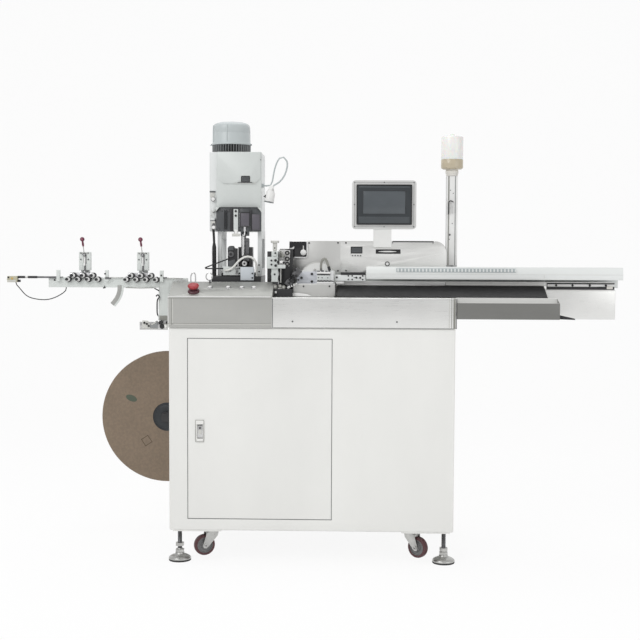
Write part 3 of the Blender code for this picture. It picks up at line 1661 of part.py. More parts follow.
def oil_reservoir():
    low = POLE_TOP + SEAT
    neck = low + COLLAR_HEIGHT
    top = neck + CUP_HEIGHT
    radius = CUP_RADIUS
    profile = [
        (0, top + CUP_NUB),
        (0.008, top + CUP_NUB),
        (0.008, top),
        (radius - 0.004, top),
        (radius, top - 0.003),
        (radius, neck + 0.006),
        (radius - 0.006, neck),
        (COLLAR_RADIUS, neck - 0.002),
        (COLLAR_RADIUS, low),
        (0, low),
    ]
    return part("oil_reservoir", turned(profile, (POLE_X, POLE_Y, 0), "Z", 20), "cup_plastic")


# Conveyor: the beam with its sill, rail and bed, the belt, the cover and the tray
def belt_frame():
    """The place and slope of the belt: X along the machine, Y up the slope, Z out of the belt."""
    return Matrix.Translation((0, BELT_LOW_Y, BELT_LOW)) @ Matrix.Rotation(BELT_SLOPE, 4, "X")


def belt_outline(inset):
    radius = BELT_LOOP_RADIUS - inset
    outline = []
    for x, start in ((BELT_RIGHT - BELT_LOOP_RADIUS, -90), (BELT_LEFT + BELT_LOOP_RADIUS, 90)):
        for degrees in range(start, start + 181, 30):
            angle = math.radians(degrees)
            outline.append((x + radius * math.cos(angle), -BELT_LOOP_RADIUS + radius * math.sin(angle)))
    return outline


def conveyor_belt():
    loop = slab(belt_outline(0), "XZ", 0, BELT_WIDTH)
    inside = slab(belt_outline(BELT_THICKNESS), "XZ", -0.01, BELT_WIDTH + 0.01)
    loop = cut(loop, inside)
    loop.data.transform(belt_frame())
    return part("conveyor_belt", loop, "belt")


def conveyor_beam():
    left = TABLE_SIDE + SEAT
    seat = TABLE_TOP + SEAT
    beam = block((left, BEAM_RIGHT), (BEAM_FRONT, BEAM_BACK), (BEAM_LOW, BEAM_TOP), 0.0015)
    inside = block(
        (left + SHEET, BEAM_RIGHT - SHEET),
        (BEAM_FRONT + SHEET, BEAM_BACK - SHEET),
        (BEAM_LOW - SHEET, BEAM_TOP - SHEET),
    )
    beam = cut(beam, inside)
    sill = block(
        (BELT_LEFT - 0.001, BEAM_RIGHT - 0.004),
        (BEAM_FRONT + 0.001, BOX_FRONT - 0.001),
        (seat, SILL_TOP),
        0.0005,
    )
    over_beam = block(
        (left - 0.001, BEAM_RIGHT - 0.01),
        (BEAM_FRONT - 0.002, BOX_FRONT + 0.01),
        (seat - 0.01, BEAM_TOP - SHEET),
    )
    sill = cut(sill, over_beam)
    rail = block(
        (BELT_LEFT - 0.001, RAIL_RIGHT),
        (RAIL_FRONT, RAIL_BACK),
        (SILL_TOP - 0.004, RAIL_TOP),
        0.0005,
    )
    foot = block(
        (POLE_X - POLE_SIZE / 2, left + 0.006), (POLE_Y - 0.024, POLE_Y + 0.024), (seat, BEAM_TOP)
    )
    bed_inset = BELT_THICKNESS + RUNNING
    bed = slab(belt_outline(bed_inset), "XZ", -0.001, BELT_WIDTH + 0.013)
    bed.data.transform(belt_frame())
    beam = fuse(beam, sill, rail, foot, bed)
    return part("conveyor_beam", beam, "white_paint")


def rail_cover():
    front = COVER_FRONT
    back = COVER_BACK
    crease = RAIL_COVER_LOW + 0.0145
    points = [
        (front, RAIL_COVER_LOW),
        (front, crease),
        (front + 0.005, RAIL_COVER_TOP),
        (back, RAIL_COVER_TOP),
        (back, SILL_TOP + SEAT),
    ]
    outer = [(y, z) for y, z in reversed(points)]
    cover = strip(outer, "YZ", COVER_LEFT, COVER_RIGHT, SHEET)
    end = slab(points[:-1] + [(back, RAIL_COVER_LOW)], "YZ", COVER_RIGHT - SHEET, COVER_RIGHT)
    cover = fuse(cover, end)
    return part("rail_cover", cover, "white_paint")


def catch_tray():
    left = TABLE_SIDE + SEAT
    skin = TRAY_SKIN
    front = TRAY_FRONT
    top = TRAY_LOW + TRAY_WALL
    toe = front + TRAY_FLOOR
    rise = TRAY_BACK_TOP - TRAY_LOW
    run = TRAY_BACK_Y - toe
    outer = [
        (front - skin, top),
        (front - skin, TRAY_LOW - skin),
        (toe + skin * 0.66, TRAY_LOW - skin),
        (TRAY_BACK_Y + skin * 1.08, TRAY_BACK_TOP),
    ]
    inner = [
        (front, top + rise),
        (front, TRAY_LOW),
        (toe, TRAY_LOW),
        (TRAY_BACK_Y + run, TRAY_BACK_TOP + rise),
    ]
    tray = slab(outer, "YZ", left, TRAY_RIGHT)
    tray = cut(tray, slab(inner, "YZ", left + skin, TRAY_RIGHT - skin))
    return part("catch_tray", tray, "stainless")


# Wire straightener: an arm with fixed lower rollers and two heads with upper rollers
def grooved_roller(x, z):
    half = ROLLER_WIDTH / 2
    radius = ROLLER_RADIUS
    shaft = 0.004
    back = ARM_FRONT - WIRE_Y + 0.002
    profile = [
        (0, half + 0.001),
        (radius - 0.003, half),
        (radius, half - 0.001),
        (radius - ROLLER_GROOVE, 0),
        (radius, -half),
        (shaft, -half),
        (shaft, -back),
        (0, -back),
    ]
    return turned(profile, (x, WIRE_Y, z), "Y", 10)


def straightener_arm():
    seat = TABLE_TOP + SEAT
    front = ARM_FRONT
    back = front + ARM_PLATE
    arm = block((ARM_LEFT, ARM_RIGHT), (front, back), (ARM_LOW, ARM_TOP), 0.001)
    lug = block(
        (ARM_RIGHT - 0.002, -CABINET_SIDE + 0.051),
        (front + 0.001, back + 0.004),
        (seat, ARM_TOP - 0.001),
        0.001,
    )
    drop = block(
        (-CABINET_SIDE - 0.054, -CABINET_SIDE - 0.017),
        (front + 0.0005, back - 0.002),
        (TABLE_TOP - 0.085, ARM_TOP - 0.002),
    )
    bracket = block(
        (-CABINET_SIDE - 0.0545, -TABLE_SIDE - SEAT),
        (front - 0.008, back + 0.034),
        (TABLE_TOP - 0.088, TABLE_TOP - 0.07),
        0.001,
    )
    arm = fuse(arm, lug, drop, bracket)
    for bank in BANK_XS:
        tower_x = bank + TOWER_OFFSET
        half = TOWER_WIDTH / 2
        tower = block(
            (tower_x - half, tower_x + half),
            (front - 0.006, back + 0.009),
            (TOWER_LOW, TOWER_TOP),
            0.001,
        )
        slot = block(
            (tower_x - TOWER_SLOT / 2, tower_x + TOWER_SLOT / 2),
            (front - SEAT, back + SEAT),
            (TOWER_LOW - 0.01, TOWER_TOP - 0.013),
        )
        tower = cut(tower, slot)
        spine = block(
            (tower_x - 0.016, tower_x + 0.016),
            (back + SEAT, back + 0.008),
            (ARM_LOW + 0.020, TOWER_LOW + 0.004),
        )
        tie = block(
            (tower_x - 0.015, tower_x + 0.015),
            (back - 0.002, back + 0.006),
            (ARM_LOW + 0.021, ARM_TOP - 0.001),
        )
        arm = fuse(arm, tie, spine, tower)
        for index in range(LOWER_ROLLERS):
            x = bank + (index - (LOWER_ROLLERS - 1) / 2) * ROLLER_STEP
            arm = fuse(arm, grooved_roller(x, LOWER_ROLLER_HEIGHT))
    for left in EYELET_XS:
        eyelet = block(
            (left, left + EYELET_WIDTH),
            (WIRE_Y - 0.006, front + 0.003),
            (ARM_TOP - 0.014, ARM_TOP + 0.026),
            0.0006,
        )
        arm = fuse(arm, eyelet)
    for left in EYELET_XS[1:]:
        arm = cut(
            arm,
            rod((left - 0.01, WIRE_Y, WIRE_HEIGHT), (left + 0.03, WIRE_Y, WIRE_HEIGHT), 0.003, 12),
        )
    inlet = rod(
        (EYELET_XS[0] + 0.004, WIRE_Y, WIRE_HEIGHT),
        (SENSOR_LEFT + 0.004, WIRE_Y, WIRE_HEIGHT),
        0.0032,
        10,
    )
    sensor = block(
        (SENSOR_LEFT, SENSOR_LEFT + SENSOR_WIDTH),
        (WIRE_Y - 0.012, WIRE_Y + 0.012),
        (WIRE_HEIGHT + 0.003 - SENSOR_HEIGHT, WIRE_HEIGHT + 0.003),
        0.001,
    )
    tip = rod(
        (SENSOR_LEFT + 0.001, WIRE_Y, WIRE_HEIGHT - 0.008),
        (SENSOR_LEFT - SENSOR_TIP, WIRE_Y, WIRE_HEIGHT - 0.008),
        0.006,
        12,
        0.003,
    )
    chute = strip(
        [
            (-CABINET_SIDE - 0.194, ARM_LOW + 0.006),
            (-CABINET_SIDE - 0.195, TABLE_TOP + 0.017),
            (-CABINET_SIDE - 0.199, TABLE_TOP + 0.002),
            (-CABINET_SIDE - 0.206, TABLE_TOP - 0.012),
            (-CABINET_SIDE - 0.216, TABLE_TOP - 0.025),
            (-CABINET_SIDE - 0.222, TABLE_TOP - 0.032),
        ],
        "XZ",
        front - 0.002,
        front + 0.002,
        0.014,
    )
    curl = tube(
        smooth_route(
            [
                (-CABINET_SIDE - 0.052, 0.125, TABLE_TOP - 0.079),
                (-CABINET_SIDE - 0.059, 0.120, TABLE_TOP - 0.067),
                (-CABINET_SIDE - 0.0595, 0.116, TABLE_TOP - 0.043),
                (-CABINET_SIDE - 0.058, 0.114, TABLE_TOP - 0.017),
                (-CABINET_SIDE - 0.051, 0.112, TABLE_TOP - 0.005),
                (-CABINET_SIDE - 0.056, 0.110, TABLE_TOP + 0.003),
                (-CABINET_SIDE - 0.062, 0.109, TABLE_TOP - 0.003),
            ],
            0.010,
        ),
        0.0018,
        resolution=1,
    )
    arm = fuse(arm, inlet, sensor, tip, chute, curl)
    return part("straightener_arm", arm, "white_paint")


def straightener_heads():
    front = ARM_FRONT
    back = front + ARM_PLATE
    for number, bank in enumerate(BANK_XS, 1):
        tower_x = bank + TOWER_OFFSET
        width = (UPPER_ROLLERS - 1) / 2 * ROLLER_STEP + 0.008
        head = block(
            (bank - width, bank + width),
            (front, back),
            (ARM_TOP + SEAT, ARM_TOP + 0.0175),
            0.0006,
        )
        half = TOWER_SLOT / 2 - RUNNING
        stem = block(
            (tower_x - half, tower_x + half),
            (front + 0.0002, back - 0.0002),
            (ARM_TOP + 0.015, TOWER_TOP - 0.024),
        )
        head = fuse(head, stem)
        for index in range(UPPER_ROLLERS):
            x = bank + (index - (UPPER_ROLLERS - 1) / 2) * ROLLER_STEP
            head = fuse(head, grooved_roller(x, UPPER_ROLLER_HEIGHT))
        part(f"straightener_head_{number}", head, "steel", (tower_x, WIRE_Y, ARM_TOP))


def straightener_levers():
    tower_front = ARM_FRONT - 0.006
    for number, bank in enumerate(BANK_XS, 1):
        x = bank + TOWER_OFFSET
        pivot = (x, tower_front - 0.004, TOWER_TOP - 0.010)
        disc = rod((x, tower_front - SEAT, pivot[2]), (x, tower_front - 0.008, pivot[2]), 0.008, 12)
        top = (x - 0.007, pivot[1], pivot[2] + LEVER_LENGTH + 0.006)
        stick = rod((x, pivot[1], pivot[2] + 0.002), top, LEVER_RADIUS, 8)
        lever = fuse(disc, stick, ball(top, LEVER_BALL, 10))
        part(f"straightener_lever_{number}", lever, "steel", pivot)


def sensor_cable():
    low = WIRE_HEIGHT + 0.003 - SENSOR_HEIGHT - SEAT
    knots = [
        (-CABINET_SIDE - 0.568, WIRE_Y, low),
        (-CABINET_SIDE - 0.568, WIRE_Y, low - 0.006),
        (-CABINET_SIDE - 0.554, WIRE_Y, TABLE_TOP + 0.024),
        (-CABINET_SIDE - 0.534, WIRE_Y, TABLE_TOP + 0.001),
        (-CABINET_SIDE - 0.512, WIRE_Y + 0.001, TABLE_TOP - 0.011),
        (-CABINET_SIDE - 0.476, WIRE_Y + 0.003, TABLE_TOP - 0.017),
        (-CABINET_SIDE - 0.447, WIRE_Y + 0.005, TABLE_TOP - 0.015),
        (-CABINET_SIDE - 0.418, WIRE_Y + 0.007, TABLE_TOP - 0.004),
        (-CABINET_SIDE - 0.394, WIRE_Y + 0.010, TABLE_TOP + 0.012),
        (-CABINET_SIDE - 0.388, WIRE_Y + 0.010, ARM_LOW - 0.006),
        (-CABINET_SIDE - 0.388, WIRE_Y + 0.010, ARM_LOW - SEAT),
    ]
    return part("sensor_cable", tube(smooth_route(knots, 0.012), 0.00175, resolution=1), "cable_black")


# Terminal reel behind the cabinet, its bar and axle, and the strip guide
def reel_bar():
    back = CABINET_DEPTH + SEAT
    end = REEL_AXLE_RADIUS + 0.004
    bar = block(
        (REEL_X - end, -CABINET_SIDE + REEL_BAR_SEAT),
        (back, back + REEL_BAR),
        (REEL_HEIGHT - end, REEL_HEIGHT + end),
        0.001,
    )
    collar = rod(
        (REEL_X, back + REEL_BAR - 0.002, REEL_HEIGHT),
        (REEL_X, REEL_FRONT - REEL_HUB_PROUD - SEAT, REEL_HEIGHT),
        0.022,
        16,
    )
    axle = rod(
        (REEL_X, back + 0.002, REEL_HEIGHT),
        (REEL_X, REEL_AXLE_END, REEL_HEIGHT),
        REEL_AXLE_RADIUS,
        16,
    )
    keeper_y = REEL_FRONT + REEL_WIDTH + REEL_HUB_PROUD + SEAT
    keeper = rod((REEL_X, keeper_y, REEL_HEIGHT), (REEL_X, keeper_y + 0.008, REEL_HEIGHT), 0.022, 16)
    return part("reel_bar", fuse(bar, collar, axle, keeper), "black_paint")


def terminal_reel():
    half = REEL_WIDTH / 2
    bore = REEL_AXLE_RADIUS + RUNNING
    radius = REEL_RADIUS
    flange = REEL_FLANGE
    hub = REEL_HUB_RADIUS
    proud = half + REEL_HUB_PROUD
    profile = [
        (bore, proud),
        (hub, proud),
        (hub, half),
        (radius, half),
        (radius, half - flange),
        (REEL_CORE_RADIUS, half - flange),
        (REEL_CORE_RADIUS, -half + flange),
        (radius, -half + flange),
        (radius, -half),
        (hub, -half),
        (hub, -proud),
        (bore, -proud),
        (bore, proud),
    ]
    centre = (REEL_X, REEL_FRONT + half, REEL_HEIGHT)
    return part("terminal_reel", turned(profile, centre, "Y", 32), "cardboard", centre)


def terminal_guide():
    top = TABLE_TOP - 0.088 - SEAT
    plate = block(
        (-CABINET_SIDE - 0.122, -CABINET_SIDE - 0.021),
        (ARM_FRONT - 0.006, ARM_FRONT - 0.002),
        (top - 0.035, top - 0.006),
        0.0006,
    )
    flange = block(
        (-CABINET_SIDE - 0.052, -CABINET_SIDE - 0.019),
        (ARM_FRONT - 0.006, ARM_FRONT + 0.034),
        (top - 0.010, top),
        0.0006,
    )
    guide = fuse(plate, flange)
    rollers = (
        (-CABINET_SIDE - 0.102, top - 0.018, 0.012),
        (-CABINET_SIDE - 0.069, top - 0.022, 0.008),
    )
    for x, z, radius in rollers:
        guide = fuse(guide, rod((x, ARM_FRONT - 0.004, z), (x, ARM_FRONT - 0.014, z), radius, 16))
    return part("terminal_guide", guide, "steel")


cabinet_shell()
cabinet_door()
door_latch_paddle()
levelling_feet()
castors()
table_pan()
control_console()
emergency_stop()
push_buttons()
press_frame()
press_cover()
press_motor()
ram_guide()
press_ram()
applicator_frame()
applicator_slide()
cable_sleeve()
air_hose()
work_lamp()
feed_tower()
feed_wheels()
feed_pressure_knob()
blade_blocks()
transfer_bracket()
swing_gripper()
pull_out_carriage()
control_box()
box_button()
touch_panel_housing()
touch_panel()
profile_pole()
oil_reservoir()
conveyor_beam()
conveyor_belt()
rail_cover()
catch_tray()
straightener_arm()
straightener_heads()
straightener_levers()
sensor_cable()
reel_bar()
terminal_reel()
terminal_guide()
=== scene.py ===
# %% [markdown]
# # Wire stripping and crimping machine
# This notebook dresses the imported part: finishes for its solids, detailed pieces that
# stand for some of them, and small parts such as screws, labels without text and cables.
# Lengths are in metres. X runs to the right, Y to the back and Z up.

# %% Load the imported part
import json
import math
import random

import bmesh
import bpy
from mathutils import Matrix, Vector

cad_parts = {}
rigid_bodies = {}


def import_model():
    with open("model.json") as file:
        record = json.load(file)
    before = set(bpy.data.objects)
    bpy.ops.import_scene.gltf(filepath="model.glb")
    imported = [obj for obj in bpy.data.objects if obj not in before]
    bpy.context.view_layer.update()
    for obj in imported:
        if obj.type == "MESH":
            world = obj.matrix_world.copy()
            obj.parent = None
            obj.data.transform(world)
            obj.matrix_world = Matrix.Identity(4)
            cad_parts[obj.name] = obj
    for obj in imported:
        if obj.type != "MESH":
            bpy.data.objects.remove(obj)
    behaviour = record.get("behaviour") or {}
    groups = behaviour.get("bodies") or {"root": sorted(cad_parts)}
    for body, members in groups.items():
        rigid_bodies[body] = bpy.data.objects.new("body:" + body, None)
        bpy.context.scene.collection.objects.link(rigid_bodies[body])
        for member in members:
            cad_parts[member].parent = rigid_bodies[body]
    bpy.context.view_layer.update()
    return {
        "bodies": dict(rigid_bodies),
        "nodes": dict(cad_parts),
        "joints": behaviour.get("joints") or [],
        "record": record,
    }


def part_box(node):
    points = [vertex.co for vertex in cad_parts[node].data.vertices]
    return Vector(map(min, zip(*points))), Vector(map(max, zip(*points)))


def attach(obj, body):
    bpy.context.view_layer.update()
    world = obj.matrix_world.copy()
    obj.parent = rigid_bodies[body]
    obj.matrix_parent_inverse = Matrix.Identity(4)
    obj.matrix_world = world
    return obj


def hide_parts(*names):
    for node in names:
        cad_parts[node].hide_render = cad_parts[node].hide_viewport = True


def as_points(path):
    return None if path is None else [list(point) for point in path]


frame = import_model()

NODES = frame["nodes"]
FRONT_Y = -0.3432
MACHINE = Matrix.Translation((0, FRONT_Y, 0))

# %% [markdown]
# ## Camera, light and floor
# The camera was fitted to the corners of the cabinet in the photograph.

# %% Camera
CAMERA_PLACE = (0.1421, -4.2458, 1.1167)
CAMERA_YAW = 0.0267
CAMERA_PITCH = 0.0591
CAMERA_ROLL = 0.0044
CAMERA_LENS = 68.71
SENSOR = 36.0


def make_camera():
    data = bpy.data.cameras.new("camera")
    data.lens = CAMERA_LENS
    data.sensor_width = SENSOR
    data.clip_end = 60
    yaw, pitch, roll = CAMERA_YAW, CAMERA_PITCH, CAMERA_ROLL
    ahead = Vector(
        (-math.sin(yaw) * math.cos(pitch), math.cos(yaw) * math.cos(pitch), -math.sin(pitch))
    )
    right = Vector((math.cos(yaw), math.sin(yaw), 0))
    up = right.cross(ahead)
    rolled_right = right * math.cos(roll) + up * math.sin(roll)
    rolled_up = up * math.cos(roll) - right * math.sin(roll)
    turn = Matrix((rolled_right, rolled_up, -ahead)).transposed().to_4x4()
    camera = bpy.data.objects.new("camera", data)
    camera.matrix_world = MACHINE @ Matrix.Translation(CAMERA_PLACE) @ turn
    bpy.context.scene.collection.objects.link(camera)
    bpy.context.scene.camera = camera


make_camera()
bpy.context.scene.view_settings.view_transform = "Standard"
print("camera at", [round(c, 3) for c in bpy.context.scene.camera.location])

# %% Lights and sky
def area_light(name, place, aim, size, power, colour=(1, 1, 1)):
    data = bpy.data.lights.new(name, "AREA")
    data.shape = "RECTANGLE"
    data.size, data.size_y = size
    data.energy = power
    data.color = colour
    lamp = bpy.data.objects.new(name, data)
    lamp.location = place
    lamp.rotation_euler = (Vector(aim) - Vector(place)).to_track_quat("-Z", "Y").to_euler()
    bpy.context.scene.collection.objects.link(lamp)


SKY_STRENGTH = 0.66
sky = bpy.data.worlds.new("studio")
sky.use_nodes = True
sky.node_tree.nodes["Background"].inputs["Color"].default_value = (1.0, 1.0, 1.0, 1)
sky.node_tree.nodes["Background"].inputs["Strength"].default_value = SKY_STRENGTH
bpy.context.scene.world = sky
area_light("key", (-2.2, -3.0, 3.4), (0, 0, 0.8), (2.4, 1.8), 51)
area_light("fill", (3.0, -2.6, 1.8), (0, 0, 0.8), (2.0, 2.0), 15)
area_light("top", (0.0, 0.4, 3.8), (0, 0, 0.9), (3.0, 2.0), 31)


WHITE_SHARE = 0.90


def stage_material():
    """A pale floor that the camera sees nearly white, with the machine's shadow kept."""
    made = bpy.data.materials.new("pale_floor")
    made.use_nodes = True
    tree = made.node_tree
    shader = tree.nodes["Principled BSDF"]
    shader.inputs["Base Color"].default_value = (0.93, 0.93, 0.93, 1)
    shader.inputs["Roughness"].default_value = 0.9
    shader.inputs["Specular IOR Level"].default_value = 0.1
    rays = tree.nodes.new("ShaderNodeLightPath")
    glow = tree.nodes.new("ShaderNodeEmission")
    glow.inputs["Strength"].default_value = 1.0
    seen = rays.outputs["Is Camera Ray"]
    for output in ("Is Glossy Ray", "Is Transmission Ray"):
        either = tree.nodes.new("ShaderNodeMath")
        either.operation = "MAXIMUM"
        tree.links.new(seen, either.inputs[0])
        tree.links.new(rays.outputs[output], either.inputs[1])
        seen = either.outputs["Value"]
    share = tree.nodes.new("ShaderNodeMath")
    share.operation = "MULTIPLY"
    share.inputs[1].default_value = WHITE_SHARE
    tree.links.new(seen, share.inputs[0])
    mix = tree.nodes.new("ShaderNodeMixShader")
    tree.links.new(share.outputs["Value"], mix.inputs["Fac"])
    tree.links.new(shader.outputs["BSDF"], mix.inputs[1])
    tree.links.new(glow.outputs["Emission"], mix.inputs[2])
    tree.links.new(mix.outputs["Shader"], tree.nodes["Material Output"].inputs["Surface"])
    return made


def make_stage():
    """A floor that curves up into a wall behind the machine."""
    shape = bmesh.new()
    reach, turn, steps = 9.0, 1.6, 16
    back = 3.4
    profile = [(-9.0, 0.0), (back, 0.0)]
    for index in range(1, steps + 1):
        angle = math.pi / 2 * index / steps
        profile.append((back + turn * math.sin(angle), turn * (1 - math.cos(angle))))
    profile.append((back + turn, 7.0))
    rows = [[shape.verts.new((side, y, z)) for y, z in profile] for side in (-reach, reach)]
    for index in range(len(profile) - 1):
        shape.faces.new(
            (rows[0][index], rows[1][index], rows[1][index + 1], rows[0][index + 1])
        )
    mesh = bpy.data.meshes.new("stage")
    shape.to_mesh(mesh)
    shape.free()
    mesh.shade_smooth()
    mesh.materials.append(stage_material())
    stage = bpy.data.objects.new("stage", mesh)
    bpy.context.scene.collection.objects.link(stage)


make_stage()
print("studio ready")

# %% [markdown]
# ## Finishes
# Each finish is a small set of shader nodes that reads the object's own coordinates.

# %% Finishes
class Finish:
    """A Principled shader with helpers for the textures that feed it."""

    def __init__(self, name, colour, roughness, metallic=0.0, **sockets):
        self.material = bpy.data.materials.new(name)
        self.material.use_nodes = True
        self.tree = self.material.node_tree
        self.shader = self.tree.nodes["Principled BSDF"]
        self.colour = (*colour, 1)
        self.shader.inputs["Base Color"].default_value = self.colour
        self.shader.inputs["Roughness"].default_value = roughness
        self.shader.inputs["Metallic"].default_value = metallic
        for socket, value in sockets.items():
            self.shader.inputs[socket.replace("_", " ")].default_value = value
        self.height = None
        self.coordinates = self.tree.nodes.new("ShaderNodeTexCoord")

    def link(self, start, end):
        self.tree.links.new(start, end)

    def node(self, kind, **values):
        made = self.tree.nodes.new(kind)
        for name, value in values.items():
            setattr(made, name, value)
        return made

    def stretched(self, scale=(1, 1, 1), turn=(0, 0, 0)):
        mapping = self.node("ShaderNodeMapping")
        mapping.inputs["Scale"].default_value = scale
        mapping.inputs["Rotation"].default_value = turn
        self.link(self.coordinates.outputs["Object"], mapping.inputs["Vector"])
        return mapping.outputs["Vector"]

    def noise(self, scale, detail=3.0, stretch=(1, 1, 1), roughness=0.55, turn=(0, 0, 0)):
        made = self.node("ShaderNodeTexNoise")
        made.inputs["Scale"].default_value = scale
        made.inputs["Detail"].default_value = detail
        made.inputs["Roughness"].default_value = roughness
        self.link(self.stretched(stretch, turn), made.inputs["Vector"])
        return made.outputs["Fac"]

    def ramp(self, value, stops):
        made = self.node("ShaderNodeValToRGB")
        ramp = made.color_ramp
        while len(ramp.elements) < len(stops):
            ramp.elements.new(0.5)
        for element, (position, colour) in zip(ramp.elements, stops):
            element.position = position
            element.color = (*colour, 1)
        self.link(value, made.inputs["Fac"])
        return made.outputs["Color"]

    def vary_colour(self, value, amount, low=0.35, high=0.65):
        """Darker and lighter by a share of the base colour."""
        red, green, blue, _ = self.colour
        darker = tuple(max(0, c * (1 - amount)) for c in (red, green, blue))
        lighter = tuple(min(1, c * (1 + amount)) for c in (red, green, blue))
        colour = self.ramp(value, [(low, darker), (high, lighter)])
        self.link(colour, self.shader.inputs["Base Color"])
        return colour

    def mix_colour(self, base, other, factor):
        made = self.node("ShaderNodeMix", data_type="RGBA")
        self.link(factor, made.inputs["Factor"])
        self.link(base, made.inputs["A"])
        if isinstance(other, tuple):
            made.inputs["B"].default_value = (*other, 1)
        else:
            self.link(other, made.inputs["B"])
        self.link(made.outputs["Result"], self.shader.inputs["Base Color"])
        return made.outputs["Result"]

    def vary_roughness(self, value, low, high):
        made = self.node("ShaderNodeMapRange")
        made.inputs["From Min"].default_value = 0.3
        made.inputs["From Max"].default_value = 0.7
        made.inputs["To Min"].default_value = low
        made.inputs["To Max"].default_value = high
        self.link(value, made.inputs["Value"])
        self.link(made.outputs["Result"], self.shader.inputs["Roughness"])

    def bump(self, value, depth, strength=1.0):
        made = self.node("ShaderNodeBump")
        made.inputs["Strength"].default_value = strength
        made.inputs["Distance"].default_value = depth
        self.link(value, made.inputs["Height"])
        if self.height is not None:
            self.link(self.height, made.inputs["Normal"])
        self.height = made.outputs["Normal"]
        self.link(self.height, self.shader.inputs["Normal"])


FINISHES = {}


def painted(name, colour, roughness=0.42, orange_peel=0.00012, dirt=0.035):
    made = Finish(name, colour, roughness, IOR=1.5, Coat_Weight=0.15, Coat_Roughness=0.2)
    made.vary_colour(made.noise(2.2, 4, (1, 1, 0.35)), dirt)
    made.vary_roughness(made.noise(9.0, 4), roughness - 0.06, roughness + 0.08)
    made.bump(made.noise(650.0, 2), orange_peel, 0.6)
    FINISHES[name] = made.material


def brushed(name, colour, roughness=0.32, along="X", dirt=0.07, depth=0.00005):
    made = Finish(name, colour, roughness, 1.0)
    stretch = {"X": (0.02, 1, 1), "Y": (1, 0.02, 1), "Z": (1, 1, 0.02)}[along]
    lines = made.noise(900.0, 2, stretch)
    patches = made.noise(5.0, 5)
    made.vary_colour(patches, dirt)
    made.vary_roughness(lines, roughness - 0.07, roughness + 0.10)
    made.bump(lines, depth, 0.5)
    FINISHES[name] = made.material


def worked_metal(name, colour, roughness=0.3, metallic=1.0, dirt=0.12, grain=260.0, depth=0.00006):
    made = Finish(name, colour, roughness, metallic)
    made.vary_colour(made.noise(38.0, 5), dirt)
    made.vary_roughness(made.noise(120.0, 4), roughness - 0.08, roughness + 0.12)
    made.bump(made.noise(grain, 3), depth, 0.5)
    FINISHES[name] = made.material


def moulded(name, colour, roughness=0.4, grain=1400.0, depth=0.00004, dirt=0.04, **sockets):
    made = Finish(name, colour, roughness, **sockets)
    made.vary_colour(made.noise(14.0, 4), dirt)
    made.vary_roughness(made.noise(60.0, 3), roughness - 0.05, roughness + 0.07)
    made.bump(made.noise(grain, 2), depth, 0.6)
    FINISHES[name] = made.material


painted("cabinet_white", (0.83, 0.83, 0.805))
painted("press_white", (0.63, 0.66, 0.645), 0.36, 0.00008)
painted("cover_white", (0.79, 0.81, 0.80), 0.34, 0.00006)
painted("cowl_grey", (0.48, 0.52, 0.525), 0.38, 0.0001, 0.05)
painted("black_paint", (0.022, 0.022, 0.024), 0.42, 0.00008, 0.2)
painted("charcoal", (0.075, 0.08, 0.085), 0.38, 0.00005, 0.12)
# Painted light: a shaded and a lit copy of the skirt's brushed steel, darker at the left and lighter at the right.
brushed("skirt_steel_shaded", (0.40, 0.40, 0.385), 0.34, "X", 0.10)
brushed("skirt_steel_lit", (0.62, 0.62, 0.605), 0.30, "X", 0.06)
brushed("box_steel", (0.80, 0.80, 0.785), 0.33, "X", 0.04)
brushed("tray_steel", (0.68, 0.68, 0.66), 0.36, "X", 0.10)
worked_metal("steel", (0.60, 0.60, 0.60), 0.26)
worked_metal("dark_steel", (0.16, 0.16, 0.165), 0.34, 0.9)
worked_metal("zinc", (0.50, 0.50, 0.485), 0.34)
worked_metal("aluminium", (0.66, 0.66, 0.67), 0.34, 1.0, 0.05, 500.0)
worked_metal("brass", (0.60, 0.44, 0.20), 0.3)
moulded("red_plastic", (0.36, 0.035, 0.042), 0.32)
moulded("dark_red", (0.14, 0.022, 0.05), 0.22)
moulded("black_plastic", (0.02, 0.02, 0.022), 0.45)
moulded("bezel", (0.030, 0.036, 0.041), 0.35)
moulded("panel_white", (0.80, 0.80, 0.79), 0.4)
moulded("hose_white", (0.74, 0.74, 0.71), 0.32)
moulded("cable_black", (0.018, 0.018, 0.019), 0.5)
moulded("tyre", (0.085, 0.030, 0.033), 0.45)
moulded("rubber", (0.03, 0.03, 0.03), 0.7)
moulded("beige_plastic", (0.48, 0.46, 0.34), 0.45)
worked_metal("anodised", (0.60, 0.60, 0.60), 0.38, 0.35, 0.04, 500.0)
moulded("belt", (0.020, 0.020, 0.021), 0.62, 900.0, 0.00012, 0.12)
moulded("lever_grey", (0.27, 0.27, 0.245), 0.34)
painted("fin_grey", (0.28, 0.29, 0.295), 0.4, 0.00008, 0.05)
moulded("amber", (0.55, 0.38, 0.12), 0.3)
print(len(FINISHES), "finishes")

# %% [markdown]
# ## Dressing the solids
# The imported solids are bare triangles. Loose triangles are welded, flat faces joined again,
# and edges get a small round, which catches the light as a real edge does. A short Geometry
# Nodes tree then makes the round parts smooth and keeps the flat faces flat.

